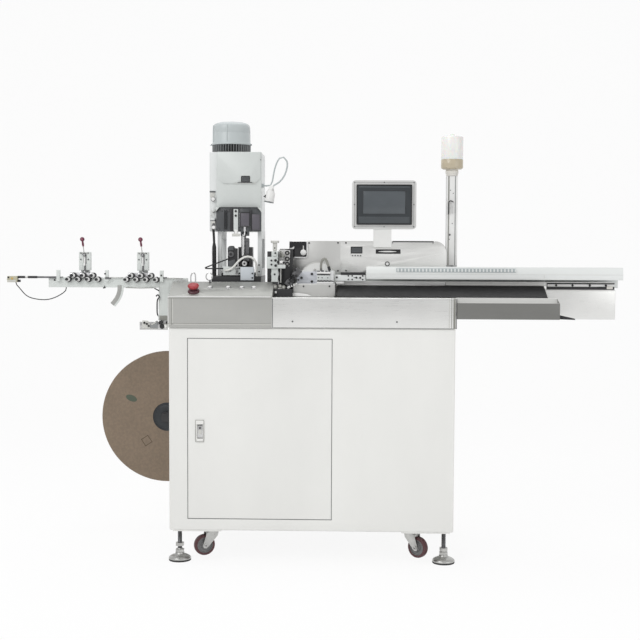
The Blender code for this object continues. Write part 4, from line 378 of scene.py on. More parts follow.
# %% Soft edges
def smooth_by_angle_tree():
    """Geometry Nodes: shade smooth where neighbouring faces turn by less than an angle."""
    tree = bpy.data.node_groups.new("soft_edges", "GeometryNodeTree")
    tree.interface.new_socket("Geometry", in_out="INPUT", socket_type="NodeSocketGeometry")
    limit = tree.interface.new_socket("Angle", in_out="INPUT", socket_type="NodeSocketFloat")
    limit.default_value = math.radians(38)
    tree.interface.new_socket("Geometry", in_out="OUTPUT", socket_type="NodeSocketGeometry")
    entry = tree.nodes.new("NodeGroupInput")
    leave = tree.nodes.new("NodeGroupOutput")
    angle = tree.nodes.new("GeometryNodeInputMeshEdgeAngle")
    compare = tree.nodes.new("FunctionNodeCompare")
    compare.data_type = "FLOAT"
    compare.operation = "LESS_THAN"
    faces = tree.nodes.new("GeometryNodeSetShadeSmooth")
    faces.domain = "FACE"
    edges = tree.nodes.new("GeometryNodeSetShadeSmooth")
    edges.domain = "EDGE"
    join = tree.links.new
    join(entry.outputs["Geometry"], faces.inputs["Geometry"])
    join(faces.outputs["Geometry"], edges.inputs["Geometry"])
    join(angle.outputs["Unsigned Angle"], compare.inputs["A"])
    join(entry.outputs["Angle"], compare.inputs["B"])
    join(compare.outputs["Result"], edges.inputs["Shade Smooth"])
    join(edges.outputs["Geometry"], leave.inputs["Geometry"])
    return tree


SOFT_EDGES = smooth_by_angle_tree()


RINGED = ("cabinet_door", "ram_guide", "straightener_head_2")


def soften(piece, width=0.0008, segments=2):
    """Weld, join flat faces and round the edges. A face that is a thin ring keeps its triangles."""
    weld = piece.modifiers.new("weld", "WELD")
    weld.merge_threshold = 0.00001
    if piece.name not in RINGED:
        flat = piece.modifiers.new("flat", "DECIMATE")
        flat.decimate_type = "DISSOLVE"
        flat.angle_limit = math.radians(1)
    bevel = piece.modifiers.new("edge", "BEVEL")
    bevel.width = width
    bevel.segments = segments
    bevel.limit_method = "ANGLE"
    bevel.angle_limit = math.radians(35)
    bevel.use_clamp_overlap = True
    bevel.harden_normals = False
    smooth = piece.modifiers.new("smooth", "NODES")
    smooth.node_group = SOFT_EDGES


def finish_node(name, finish, width=0.0008):
    node = NODES[name]
    node.data.materials.clear()
    node.data.materials.append(FINISHES[finish])
    if width:
        soften(node, width)
    return node


CORNERS = ("front_left", "front_right", "back_left", "back_right")
CARRIED = {
    "cabinet_shell": ("cabinet_white", 0.0014),
    "cabinet_door": ("cabinet_white", 0.0005),
    "door_latch_paddle": ("steel", 0.0015),
    "table_pan": ("box_steel", 0.0005),
    "control_console": ("box_steel", 0.0010),
    "press_frame": ("press_white", 0.0012),
    "press_cover": ("press_white", 0.0020),
    "press_motor": ("cowl_grey", 0.0008),
    "ram_guide": ("charcoal", 0.0003),
    "press_ram": ("charcoal", 0.0004),
    "applicator_frame": ("black_paint", 0.0005),
    "applicator_slide": ("dark_steel", 0.0004),
    "work_lamp": ("cowl_grey", 0.0004),
    "feed_tower": ("black_paint", 0.0005),
    "feed_wheel_upper": ("steel", 0.0003),
    "feed_wheel_lower": ("steel", 0.0003),
    "feed_pressure_knob": ("black_plastic", 0.0005),
    "blade_block_upper": ("dark_steel", 0.0003),
    "blade_block_lower": ("dark_steel", 0.0003),
    "transfer_bracket": ("aluminium", 0.0005),
    "swing_gripper": ("panel_white", 0.0005),
    "pull_out_carriage": ("steel", 0.0004),
    "control_box": ("box_steel", 0.0012),
    "box_button": ("black_plastic", 0.0006),
    "emergency_stop_button": ("red_plastic", 0.0015),
    "push_button_1": ("black_plastic", 0.0006),
    "push_button_2": ("black_plastic", 0.0006),
    "push_button_3": ("black_plastic", 0.0006),
    "push_button_4": ("black_plastic", 0.0006),
    "touch_panel_housing": ("panel_white", 0.0006),
    "touch_panel": ("bezel", 0.0012),
    "profile_pole": ("anodised", 0.0004),
    "oil_reservoir": ("panel_white", 0.0010),
    "conveyor_beam": ("box_steel", 0.0008),
    "conveyor_belt": ("belt", 0.0004),
    "rail_cover": ("cover_white", 0.0004),
    "catch_tray": ("tray_steel", 0.0006),
    "straightener_arm": ("aluminium", 0.0004),
    "straightener_head_1": ("aluminium", 0.0005),
    "straightener_head_2": ("aluminium", 0.0005),
    "straightener_lever_1": ("dark_red", 0.0006),
    "straightener_lever_2": ("dark_red", 0.0006),
    "reel_bar": ("black_paint", 0.0006),
    "terminal_guide": ("steel", 0.0004),
}
for name, (finish, width) in CARRIED.items():
    finish_node(name, finish, width)
for corner in CORNERS:
    finish_node("levelling_foot_" + corner, "zinc", 0.0008)
    finish_node("castor_fork_" + corner, "zinc", 0.0005)
    finish_node("castor_wheel_" + corner, "tyre", 0.0010)
print(len(CARRIED) + 12, "solids dressed")

# %% [markdown]
# ## Tools for new pieces
# Most small parts are one of four shapes: a block, a turned part, an outline with a depth
# and a tube along a route. One mesh can hold several, each with its own finish.

# %% Shapes
AXES = {
    "X": (Vector((0, 1, 0)), Vector((0, 0, 1)), Vector((1, 0, 0))),
    "Y": (Vector((0, 0, 1)), Vector((1, 0, 0)), Vector((0, 1, 0))),
    "Z": (Vector((1, 0, 0)), Vector((0, 1, 0)), Vector((0, 0, 1))),
}
PLANES = {"XZ": (0, 2, 1), "YZ": (1, 2, 0), "XY": (0, 1, 2)}


def spot(plane, across, up, depth):
    place = [0, 0, 0]
    for axis, value in zip(PLANES[plane], (across, up, depth)):
        place[axis] = value
    return Vector(place)


def frame_of(direction):
    """Two directions square to a third."""
    ahead = Vector(direction).normalized()
    helper = Vector((0, 0, 1)) if abs(ahead.z) < 0.9 else Vector((1, 0, 0))
    side = helper.cross(ahead).normalized()
    return side, ahead.cross(side), ahead


class Shape:
    """Solids gathered in one mesh, in the machine's own coordinates."""

    def __init__(self):
        self.mesh = bmesh.new()
        self.finishes = []

    def paint(self, faces, finish):
        if finish not in self.finishes:
            self.finishes.append(finish)
        for face in faces:
            face.material_index = self.finishes.index(finish)

    def loft(self, rings, finish, closed=False):
        """Skin a list of equally long rings of points, with ends closed by a face."""
        made = [[self.mesh.verts.new(point) for point in ring] for ring in rings]
        count = len(made[0])
        faces = []
        pairs = list(zip(made, made[1:]))
        if closed:
            pairs.append((made[-1], made[0]))
        for low, high in pairs:
            for index in range(count):
                following = (index + 1) % count
                faces.append(
                    self.mesh.faces.new(
                        (low[index], low[following], high[following], high[index])
                    )
                )
        if not closed:
            faces.append(self.mesh.faces.new(list(reversed(made[0]))))
            faces.append(self.mesh.faces.new(made[-1]))
        self.paint(faces, finish)
        return self

    def box(self, low, high, finish, turn=None):
        """A block between two corners, turned about its middle if asked."""
        centre = (Vector(low) + Vector(high)) / 2
        half = (Vector(high) - Vector(low)) / 2
        turn = turn or Matrix.Identity(3)
        rings = [
            [
                centre + turn @ Vector((x * half.x, y * half.y, z * half.z))
                for x, y in ((-1, -1), (1, -1), (1, 1), (-1, 1))
            ]
            for z in (-1, 1)
        ]
        return self.loft(rings, finish)

    def prism(self, outline, plane, near, far, finish):
        rings = [[spot(plane, u, v, depth) for u, v in outline] for depth in (near, far)]
        return self.loft(rings, finish)

    def turned(self, profile, base, direction, finish, steps=32, closed=False):
        """A turned part: (radius, height) pairs from its base along a direction."""
        side, up, ahead = frame_of(direction)
        rings = [
            [
                Vector(base)
                + ahead * height
                + (side * math.cos(angle) + up * math.sin(angle)) * max(radius, 0.00001)
                for angle in (2 * math.pi * index / steps for index in range(steps))
            ]
            for radius, height in profile
        ]
        return self.loft(rings, finish, closed)

    def rod(self, start, end, radius, finish, steps=20, edge=0.0):
        direction = Vector(end) - Vector(start)
        length = direction.length
        edge = edge or min(radius * 0.15, 0.0006)
        profile = [(radius - edge, 0), (radius, edge), (radius, length - edge), (radius - edge, length)]
        return self.turned(profile, start, direction, finish, steps)

    def tube(self, points, radius, finish, steps=10):
        """A round bar along a route, with its rings kept from twisting."""
        points = [Vector(point) for point in points]
        side = frame_of(points[1] - points[0])[0]
        rings = []
        for index, point in enumerate(points):
            before = points[max(index - 1, 0)]
            after = points[min(index + 1, len(points) - 1)]
            ahead = (after - before).normalized()
            side = (side - ahead * side.dot(ahead)).normalized()
            up = ahead.cross(side)
            size = radius[index] if isinstance(radius, (list, tuple)) else radius
            rings.append(
                [
                    point + (side * math.cos(angle) + up * math.sin(angle)) * size
                    for angle in (2 * math.pi * turn / steps for turn in range(steps))
                ]
            )
        return self.loft(rings, finish)

    def cap_screw(self, place, direction, radius, finish="zinc", washer=True):
        """A socket head screw on a washer, its base on the surface."""
        base = Vector(place)
        ahead = Vector(direction).normalized()
        if washer:
            self.turned([(radius * 1.35, 0), (radius * 1.35, radius * 0.3)], base, ahead, finish, 20)
            base = base + ahead * radius * 0.3
        tall = radius * 0.9
        profile = [
            (radius, 0), (radius, tall * 0.8), (radius * 0.85, tall), (radius * 0.55, tall),
            (radius * 0.5, tall * 0.45), (0, tall * 0.4),
        ]
        return self.turned(profile, base, ahead, finish, 12)

    def done(self, name, body, edge=0.0004, replaces=(), segments=2):
        """Close the mesh, lay it in the row frame and hang it on its body."""
        bmesh.ops.remove_doubles(self.mesh, verts=self.mesh.verts, dist=0.000002)
        bmesh.ops.recalc_face_normals(self.mesh, faces=self.mesh.faces)
        mesh = bpy.data.meshes.new(name)
        self.mesh.transform(MACHINE)
        self.mesh.to_mesh(mesh)
        self.mesh.free()
        for finish in self.finishes:
            mesh.materials.append(FINISHES[finish])
        piece = bpy.data.objects.new(name, mesh)
        bpy.context.scene.collection.objects.link(piece)
        if edge:
            bevel = piece.modifiers.new("edge", "BEVEL")
            bevel.width = edge
            bevel.segments = segments
            bevel.limit_method = "ANGLE"
            bevel.angle_limit = math.radians(40)
        smooth = piece.modifiers.new("smooth", "NODES")
        smooth.node_group = SOFT_EDGES
        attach(piece, body)
        if replaces:
            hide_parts(*replaces)
        return piece


def smooth_route(knots, step):
    """Points every step along a smooth curve through the knots."""
    knots = [Vector(knot) for knot in knots]
    ends = [knots[0] * 2 - knots[1]] + knots + [knots[-1] * 2 - knots[-2]]
    dense = []
    for a, b, c, d in zip(ends, ends[1:], ends[2:], ends[3:]):
        for index in range(24):
            t = index / 24
            dense.append(
                0.5 * (2 * b + (c - a) * t + (2 * a - 5 * b + 4 * c - d) * t * t
                       + (3 * b - a - 3 * c + d) * t ** 3)
            )
    dense.append(knots[-1])
    total = sum((b - a).length for a, b in zip(dense, dense[1:]))
    count = max(2, round(total / step))
    points, run, target = [dense[0]], 0.0, total / count
    for a, b in zip(dense, dense[1:]):
        span = (b - a).length
        while run + span >= target * len(points) and len(points) < count:
            points.append(a.lerp(b, (target * len(points) - run) / span))
        run += span
    points.append(dense[-1])
    return points


def arc(centre, radius, start, end, steps):
    """Points of an arc in a plane, by angle in degrees."""
    return [
        (
            centre[0] + radius * math.cos(math.radians(start + (end - start) * index / steps)),
            centre[1] + radius * math.sin(math.radians(start + (end - start) * index / steps)),
        )
        for index in range(steps + 1)
    ]


def rounded(low, high, radius, steps=5):
    """The outline of a rectangle with round corners."""
    (left, bottom), (right, top) = low, high
    outline = []
    for centre, start in (
        ((right - radius, bottom + radius), -90),
        ((right - radius, top - radius), 0),
        ((left + radius, top - radius), 90),
        ((left + radius, bottom + radius), 180),
    ):
        outline += arc(centre, radius, start, start + 90, steps)
    return outline


print("shape tools ready")

# %% [markdown]
# ## Cables and hoses
# A cable is one curve of its true length that leaves its gland straight and droops. The curves
# repeat the routes of the solids that they stand for.

# %% Cables and hoses
def route_length(points):
    return sum((b - a).length for a, b in zip(points, points[1:]))


SENSOR_CABLE_RADIUS = 0.00175
SENSOR_CABLE_KNOTS = [
    (-1.068, 0.112, 0.9887), (-1.068, 0.112, 0.9827), (-1.054, 0.112, 0.967),
    (-1.034, 0.112, 0.944), (-1.012, 0.113, 0.932), (-0.976, 0.115, 0.926),
    (-0.947, 0.117, 0.928), (-0.918, 0.119, 0.939), (-0.894, 0.122, 0.955),
    (-0.888, 0.122, 0.965), (-0.888, 0.122, 0.9707),
]
AIR_HOSE_RADIUS = 0.004
AIR_HOSE_KNOTS = [
    (-0.318, 0.1303, 1.034), (-0.300, 0.1303, 1.036), (-0.284, 0.1300, 1.049),
    (-0.268, 0.1290, 1.067), (-0.252, 0.1280, 1.079), (-0.236, 0.1285, 1.084),
    (-0.219, 0.1300, 1.080), (-0.207, 0.1330, 1.065), (-0.2035, 0.1370, 1.043),
    (-0.2035, 0.1380, 1.0133),
]
SLEEVE_RADIUS = 0.0075
SLEEVE_KNOTS = [
    (-0.3570, 0.150, 1.0133), (-0.3570, 0.150, 1.0633), (-0.3575, 0.150, 1.1173),
    (-0.3595, 0.152, 1.1633), (-0.3625, 0.154, 1.196), (-0.3625, 0.154, 1.2077),
]


def cord_piece(name, knots, step, radius, finish, steps=12):
    points = smooth_route(knots, step)
    piece = Shape().tube(points, radius, finish, steps).done(name, "base", 0, (name.rsplit("_run")[0],))
    return piece, [MACHINE @ point for point in points]


sensor_run, sensor_path = cord_piece(
    "sensor_cable_run", SENSOR_CABLE_KNOTS, 0.012, SENSOR_CABLE_RADIUS, "cable_black"
)
tuple(sensor_path[0])
route_length(sensor_path)
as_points(sensor_path)
hose_run, hose_path = cord_piece("air_hose_run", AIR_HOSE_KNOTS, 0.013, AIR_HOSE_RADIUS, "hose_white", 16)
tuple(hose_path[0])
route_length(hose_path)
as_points(hose_path)
print("sensor cable", round(route_length(sensor_path), 3), "air hose", round(route_length(hose_path), 3))

# %% [markdown]
# ## Repeats with Geometry Nodes
# Screws, ribs, rollers and slots repeat. One tree copies an item onto the points of a mesh,
# and each point carries the turn of its copy. The result is made a plain mesh.

# %% Copy an item onto points
def repeat_tree():
    tree = bpy.data.node_groups.new("repeat", "GeometryNodeTree")
    tree.interface.new_socket("Points", in_out="INPUT", socket_type="NodeSocketGeometry")
    tree.interface.new_socket("Item", in_out="INPUT", socket_type="NodeSocketObject")
    tree.interface.new_socket("Size", in_out="INPUT", socket_type="NodeSocketFloat")
    tree.interface.new_socket("Finish", in_out="INPUT", socket_type="NodeSocketMaterial")
    tree.interface.new_socket("Copies", in_out="OUTPUT", socket_type="NodeSocketGeometry")
    entry = tree.nodes.new("NodeGroupInput")
    leave = tree.nodes.new("NodeGroupOutput")
    item = tree.nodes.new("GeometryNodeObjectInfo")
    turn = tree.nodes.new("GeometryNodeInputNamedAttribute")
    turn.data_type = "FLOAT_VECTOR"
    turn.inputs["Name"].default_value = "turn"
    copies = tree.nodes.new("GeometryNodeInstanceOnPoints")
    real = tree.nodes.new("GeometryNodeRealizeInstances")
    paint = tree.nodes.new("GeometryNodeSetMaterial")
    join = tree.links.new
    join(entry.outputs["Points"], copies.inputs["Points"])
    join(entry.outputs["Item"], item.inputs["Object"])
    join(entry.outputs["Size"], copies.inputs["Scale"])
    join(item.outputs["Geometry"], copies.inputs["Instance"])
    join(turn.outputs["Attribute"], copies.inputs["Rotation"])
    join(copies.outputs["Instances"], real.inputs["Geometry"])
    join(real.outputs["Geometry"], paint.inputs["Geometry"])
    join(entry.outputs["Finish"], paint.inputs["Material"])
    join(paint.outputs["Geometry"], leave.inputs["Copies"])
    return tree


REPEAT = repeat_tree()


def item_mesh(shape):
    """A shape at the origin that is only copied, never shown."""
    bmesh.ops.remove_doubles(shape.mesh, verts=shape.mesh.verts, dist=0.000001)
    bmesh.ops.recalc_face_normals(shape.mesh, faces=shape.mesh.faces)
    mesh = bpy.data.meshes.new("item")
    shape.mesh.to_mesh(mesh)
    shape.mesh.free()
    return bpy.data.objects.new("item", mesh)


def repeat(name, item, places, finish, body="base", size=1.0):
    """Copy an item to (place, direction) pairs: its own Z axis points along the direction."""
    holder = bpy.data.meshes.new(name)
    holder.from_pydata([MACHINE @ Vector(place) for place, _ in places], [], [])
    turns = holder.attributes.new("turn", "FLOAT_VECTOR", "POINT")
    for index, (_, direction) in enumerate(places):
        if not isinstance(direction, Matrix):
            direction = Vector(direction).to_track_quat("Z", "Y").to_matrix()
        turns.data[index].vector = tuple(direction.to_euler())
    points = bpy.data.objects.new(name, holder)
    bpy.context.scene.collection.objects.link(points)
    bpy.context.scene.collection.objects.link(item)
    copies = points.modifiers.new("repeat", "NODES")
    copies.node_group = REPEAT
    inputs = {
        socket.name: socket.identifier
        for socket in REPEAT.interface.items_tree
        if socket.item_type == "SOCKET" and socket.in_out == "INPUT"
    }
    copies[inputs["Item"]] = item
    copies[inputs["Size"]] = size
    copies[inputs["Finish"]] = FINISHES[finish]
    bpy.context.view_layer.update()
    seen = points.evaluated_get(bpy.context.evaluated_depsgraph_get())
    mesh = bpy.data.meshes.new_from_object(seen)
    mesh.name = name
    bpy.data.objects.remove(points)
    bpy.data.objects.remove(item)
    piece = bpy.data.objects.new(name, mesh)
    bpy.context.scene.collection.objects.link(piece)
    smooth = piece.modifiers.new("smooth", "NODES")
    smooth.node_group = SOFT_EDGES
    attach(piece, body)
    return piece


def screw_item(radius):
    return item_mesh(Shape().cap_screw((0, 0, 0), (0, 0, 1), radius, "zinc"))


def pan_head_item(radius):
    """A domed screw with a cross recess."""
    shape = Shape()
    profile = [(radius, 0), (radius, radius * 0.25), (radius * 0.8, radius * 0.5), (radius * 0.3, radius * 0.62)]
    shape.turned(profile, (0, 0, 0), (0, 0, 1), "zinc", 16)
    for turn in (0, 90):
        bar = Matrix.Rotation(math.radians(turn), 3, "Z")
        shape.box(
            (-radius * 0.6, -radius * 0.09, radius * 0.5), (radius * 0.6, radius * 0.09, radius * 0.66),
            "zinc", bar,
        )
    return item_mesh(shape)


print("repeat tree with", len(REPEAT.nodes), "nodes")

# %% [markdown]
# ## Castors and levelling feet
# Each castor is a zinc fork with a wheel of dark red polyurethane on a moulded core. The feet
# are threaded stems with a jam nut, on a domed pad with a rubber sole.

# %% Castors
CASTOR_PLACES = {
    "front_left": (-0.358, 0.060, 202), "front_right": (0.358, 0.060, -37),
    "back_left": (-0.358, 0.540, 158), "back_right": (0.358, 0.540, 30),
}
WHEEL_RADIUS = 0.0375
WHEEL_HALF = 0.011


def castor_wheel(corner):
    """Stands on the middle of the solid wheel, along its axle."""
    low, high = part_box("castor_wheel_" + corner)
    middle = (low + high) / 2 - MACHINE.translation
    turn = math.radians(CASTOR_PLACES[corner][2])
    axle = Vector((-math.sin(turn), math.cos(turn), 0))
    wheel = Shape()
    tread = [
        (0.0285, -WHEEL_HALF), (0.0340, -WHEEL_HALF), (0.0362, -0.0095), (0.0373, -0.0055),
        (0.0375, 0), (0.0373, 0.0055), (0.0362, 0.0095), (0.0340, WHEEL_HALF), (0.0285, WHEEL_HALF),
    ]
    wheel.turned(tread, middle, axle, "tyre", 64, closed=True)
    core = [
        (0.0284, -0.0096), (0.0284, 0.0096), (0.0255, 0.0102), (0.0240, 0.0070), (0.0150, 0.0058),
        (0.0130, 0.0100), (0.0060, 0.0108), (0.0060, -0.0108), (0.0130, -0.0100), (0.0150, -0.0058),
        (0.0240, -0.0070), (0.0255, -0.0102),
    ]
    wheel.turned(core, middle, axle, "wheel_core", 48, closed=True)
    wheel.rod(middle - axle * 0.0109, middle + axle * 0.0109, 0.0059, "zinc", 24)
    return wheel.done(
        "castor_tyre_" + corner, "castor_wheel_" + corner, 0, ("castor_wheel_" + corner,)
    ), middle, axle


def castor_nuts(corner, middle, axle):
    """Lock nuts and washers outside the fork's legs."""
    nuts = Shape()
    for side in (-1, 1):
        out = axle * side
        start = middle + out * 0.0176
        nuts.turned([(0.0075, 0), (0.0075, 0.0012)], start, out, "zinc", 24)
        nuts.turned([(0.0058, 0.0012), (0.0062, 0.0022), (0.0062, 0.0046), (0.0040, 0.0058)], start, out, "zinc", 6)
        nuts.rod(start + out * 0.004, start + out * 0.0068, 0.0030, "dark_steel", 12)
    nuts.done("castor_nuts_" + corner, "castor_swivel_" + corner, 0.0002)


moulded("wheel_core", (0.17, 0.17, 0.17), 0.38)
for corner in CORNERS:
    tyre, middle, axle = castor_wheel(corner)
    castor_nuts(corner, middle, axle)
    print("castor", corner, [round(c, 4) for c in middle])

# %% Levelling feet
FOOT_X = 0.470
FOOT_YS = {"front": 0.052, "back": 0.548}
FOOT_STEM_RADIUS = 0.0078


def hexagon(shape, base, radius, tall, finish):
    """A nut with its corners turned off."""
    profile = [(radius * 0.93, 0), (radius, radius * 0.05), (radius, tall - radius * 0.05), (radius * 0.93, tall)]
    return shape.turned(profile, base, (0, 0, 1), finish, 6)


def thread(shape, x, y, low, high, radius, finish, pitch=0.00175):
    """Ridges of a coarse thread, drawn as turned rings."""
    profile = [(radius * 0.88, low)]
    count = round((high - low) / pitch)
    for index in range(count):
        level = low + index * (high - low) / count
        profile += [(radius * 0.88, level + pitch * 0.15), (radius, level + pitch * 0.6)]
    profile += [(radius * 0.88, high)]
    return shape.turned(profile, (x, y, 0), (0, 0, 1), finish, 20)


def levelling_foot(corner):
    row, side = corner.split("_")
    x = FOOT_X if side == "right" else -FOOT_X
    y = FOOT_YS[row]
    nut_level = {"left": 0.052, "right": 0.043}[side]
    foot = Shape()
    sole = [(0.0385, 0.0), (0.0396, 0.0012), (0.0396, 0.0052), (0.0380, 0.0060)]
    foot.turned(sole, (x, y, 0), (0, 0, 1), "rubber", 48)
    dome = [
        (0.0392, 0.0061), (0.0400, 0.0075), (0.0396, 0.0105), (0.0370, 0.0140), (0.0310, 0.0178),
        (0.0240, 0.0208), (0.0185, 0.0232), (0.0160, 0.0262), (0.0155, 0.0300),
    ]
    foot.turned(dome, (x, y, 0), (0, 0, 1), "zinc", 48)
    hexagon(foot, (x, y, 0.0299), 0.0165, 0.0105, "zinc")
    foot.turned([(0.0120, 0.0403), (0.0105, 0.0432)], (x, y, 0), (0, 0, 1), "zinc", 24)
    thread(foot, x, y, 0.0430, 0.1295, FOOT_STEM_RADIUS, "dark_steel")
    hexagon(foot, (x, y, nut_level), 0.0158, 0.0120, "zinc")
    body = "foot_" + corner
    return foot.done("foot_" + corner + "_detail", body, 0.0003, ("levelling_foot_" + corner,))


for corner in CORNERS:
    levelling_foot(corner)
print("feet at x", FOOT_X)

# %% [markdown]
# ## Terminal reel
# The reel is two discs of brown board on a core, with a wound strip of terminals between
# them and a dark hub. The board has soft fibres, a rubbed edge and two faint stamps: an
# empty oval and an empty square.

# %% Reel finish
REEL_CENTRE = (-0.603, 0.652, 0.434)
REEL_RADIUS = 0.2625


def board_finish():
    made = Finish("reel_board", (0.226, 0.176, 0.126), 0.78, Specular_IOR_Level=0.25)
    fibres = made.noise(90.0, 6, (1, 1, 1), 0.7)
    clouds = made.noise(7.0, 4)
    base = made.ramp(clouds, [(0.30, (0.232, 0.180, 0.133)), (0.70, (0.290, 0.224, 0.166))])
    fleck = made.ramp(fibres, [(0.42, (0.200, 0.158, 0.120)), (0.60, (0.275, 0.212, 0.157))])
    mix = made.node("ShaderNodeMix", data_type="RGBA")
    mix.inputs["Factor"].default_value = 0.45
    made.link(base, mix.inputs["A"])
    made.link(fleck, mix.inputs["B"])
    made.link(mix.outputs["Result"], made.shader.inputs["Base Color"])
    made.bump(fibres, 0.00025, 0.5)
    return made.material


FINISHES["reel_board"] = board_finish()
moulded("stamp_green", (0.095, 0.115, 0.085), 0.8)
moulded("stamp_dark", (0.085, 0.060, 0.042), 0.8)
moulded("hub_black", (0.020, 0.024, 0.028), 0.36)
worked_metal("terminal_strip", (0.55, 0.47, 0.33), 0.35, 1.0, 0.2, 700.0)

# %% Reel pieces
def terminal_reel():
    x, y, z = REEL_CENTRE
    reel = Shape()
    half, wall, core = 0.0220, 0.0028, 0.190
    for side in (-1, 1):
        face = side * half
        inner = face - side * wall
        rim = [
            (0.0560, inner), (REEL_RADIUS - 0.0008, inner), (REEL_RADIUS, inner + side * 0.0008),
            (REEL_RADIUS, face - side * 0.0008), (REEL_RADIUS - 0.0008, face), (0.0560, face),
        ]
        reel.turned(rim, (x, y, z), (0, 1, 0), "reel_board", 128, closed=True)
    inside = half - wall
    reel.turned(
        [(0.0560, -inside), (core, -inside), (core, inside), (0.0560, inside)],
        (x, y, z), (0, 1, 0), "terminal_strip", 96, closed=True,
    )
    hub = [
        (0.0150, -0.0250), (0.0455, -0.0250), (0.0475, -0.0238), (0.0482, -0.0225), (0.0545, -0.0225),
        (0.0562, -0.0236), (0.0575, -0.0226), (0.0575, -0.0220), (0.0558, -0.0218),
        (0.0558, 0.0218), (0.0575, 0.0220), (0.0575, 0.0226), (0.0562, 0.0236), (0.0545, 0.0225),
        (0.0482, 0.0225), (0.0475, 0.0238), (0.0455, 0.0250), (0.0150, 0.0250),
    ]
    reel.turned(hub, (x, y, z), (0, 1, 0), "hub_black", 72, closed=True)
    return reel.done("reel_detail", "reel", 0, ("terminal_reel",))


def reel_stamps():
    """Two thin printed shapes on the front board, with nothing written in them."""
    x, y, z = REEL_CENTRE
    front = y - 0.0220
    marks = Shape()
    oval_centre, oval_turn = (-0.648, 0.500), math.radians(-22)
    oval_centre = (x - 0.144, z + 0.074)
    outline = [
        (
            oval_centre[0] + 0.0235 * math.cos(a) * math.cos(oval_turn) - 0.0125 * math.sin(a) * math.sin(oval_turn),
            oval_centre[1] + 0.0235 * math.cos(a) * math.sin(oval_turn) + 0.0125 * math.sin(a) * math.cos(oval_turn),
        )
        for a in (2 * math.pi * index / 40 for index in range(40))
    ]
    marks.prism(outline, "XZ", front - 0.00012, front + 0.0002, "stamp_green")
    centre = Vector((x - 0.083, front, z - 0.098))
    tilt = Matrix.Rotation(math.radians(-33), 3, "Y")
    reach, line = 0.0155, 0.0011
    for across, up in ((1, 0), (-1, 0), (0, 1), (0, -1)):
        middle = centre + tilt @ Vector((across * reach, 0, up * reach))
        half = Vector((line if across else reach + line, 0.00012, reach + line if across else line))
        marks.box(middle - half, middle + half, "stamp_dark", tilt)
    marks.done("reel_stamps", "reel", 0)


terminal_reel()
reel_stamps()
print("reel", REEL_RADIUS * 2, "m across")

# %% [markdown]
# ## Console and stop button
# The console is folded stainless sheet: its slope sees the ceiling and looks bright, its front
# sees the room and looks darker. That light is painted into the steel's colour: faces that look up
# and faces that look forward get two separate colours. The stop button is a glossy red mushroom on a dark collar.

# %% Console finishes
def split_finish(name, low_colour, high_colour, level, source="height", roughness=0.36, metallic=1.0):
    """Two colours divided at a height, or by how far a face looks up. Divided by slope, they are painted light: a lit
    and a shaded copy of one material.
    """
    made = Finish(name, low_colour, roughness, metallic)
    geometry = made.node("ShaderNodeSeparateXYZ")
    made.link(made.coordinates.outputs["Normal" if source == "slope" else "Object"], geometry.inputs["Vector"])
    step = made.node("ShaderNodeMath", operation="GREATER_THAN")
    made.link(geometry.outputs["Z"], step.inputs[0])
    step.inputs[1].default_value = level
    wear = made.noise(6.0, 5)
    low = made.ramp(wear, [(0.35, tuple(c * 0.92 for c in low_colour)), (0.65, low_colour)])
    high = made.ramp(wear, [(0.35, tuple(c * 0.95 for c in high_colour)), (0.65, high_colour)])
    made.mix_colour(low, high, step.outputs["Value"])
    lines = made.noise(900.0, 2, (0.02, 1, 1))
    made.vary_roughness(lines, roughness - 0.06, roughness + 0.10)
    made.bump(lines, 0.00004, 0.4)
    FINISHES[name] = made.material


# Painted light: faces of the console that look up and faces that look forward get separate steel colours.
split_finish("console_steel_lit_and_shaded", (0.47, 0.47, 0.45), (0.43, 0.435, 0.415), 0.4, "slope", 0.42, 0.5)
split_finish("press_casting", (0.022, 0.022, 0.024), (0.74, 0.76, 0.755), 1.0134, "height", 0.38, 0.0)
split_finish("gripper_paint", (0.76, 0.77, 0.77), (0.36, 0.37, 0.33), 1.0352, "height", 0.36, 0.2)
moulded("collar_red", (0.085, 0.022, 0.032), 0.38)
NODES["control_console"].data.materials[0] = FINISHES["console_steel_lit_and_shaded"]
NODES["press_frame"].data.materials[0] = FINISHES["press_casting"]
NODES["swing_gripper"].data.materials[0] = FINISHES["gripper_paint"]

# %% Stop button and push buttons
CONSOLE_FOOT = (-0.006, 0.9455)
CONSOLE_SLOPE = math.atan2(0.0485, 0.106)
CONSOLE_NORMAL = Vector((0, -math.sin(CONSOLE_SLOPE), math.cos(CONSOLE_SLOPE)))
STOP_PLACE = (-0.416, 0.036)
BUTTON_XS = (-0.362, -0.298, -0.250, -0.207)
BUTTON_UP = 0.069


def console_place(x, up):
    return Vector(
        (x, CONSOLE_FOOT[0] + up * math.cos(CONSOLE_SLOPE), CONSOLE_FOOT[1] + up * math.sin(CONSOLE_SLOPE))
    )


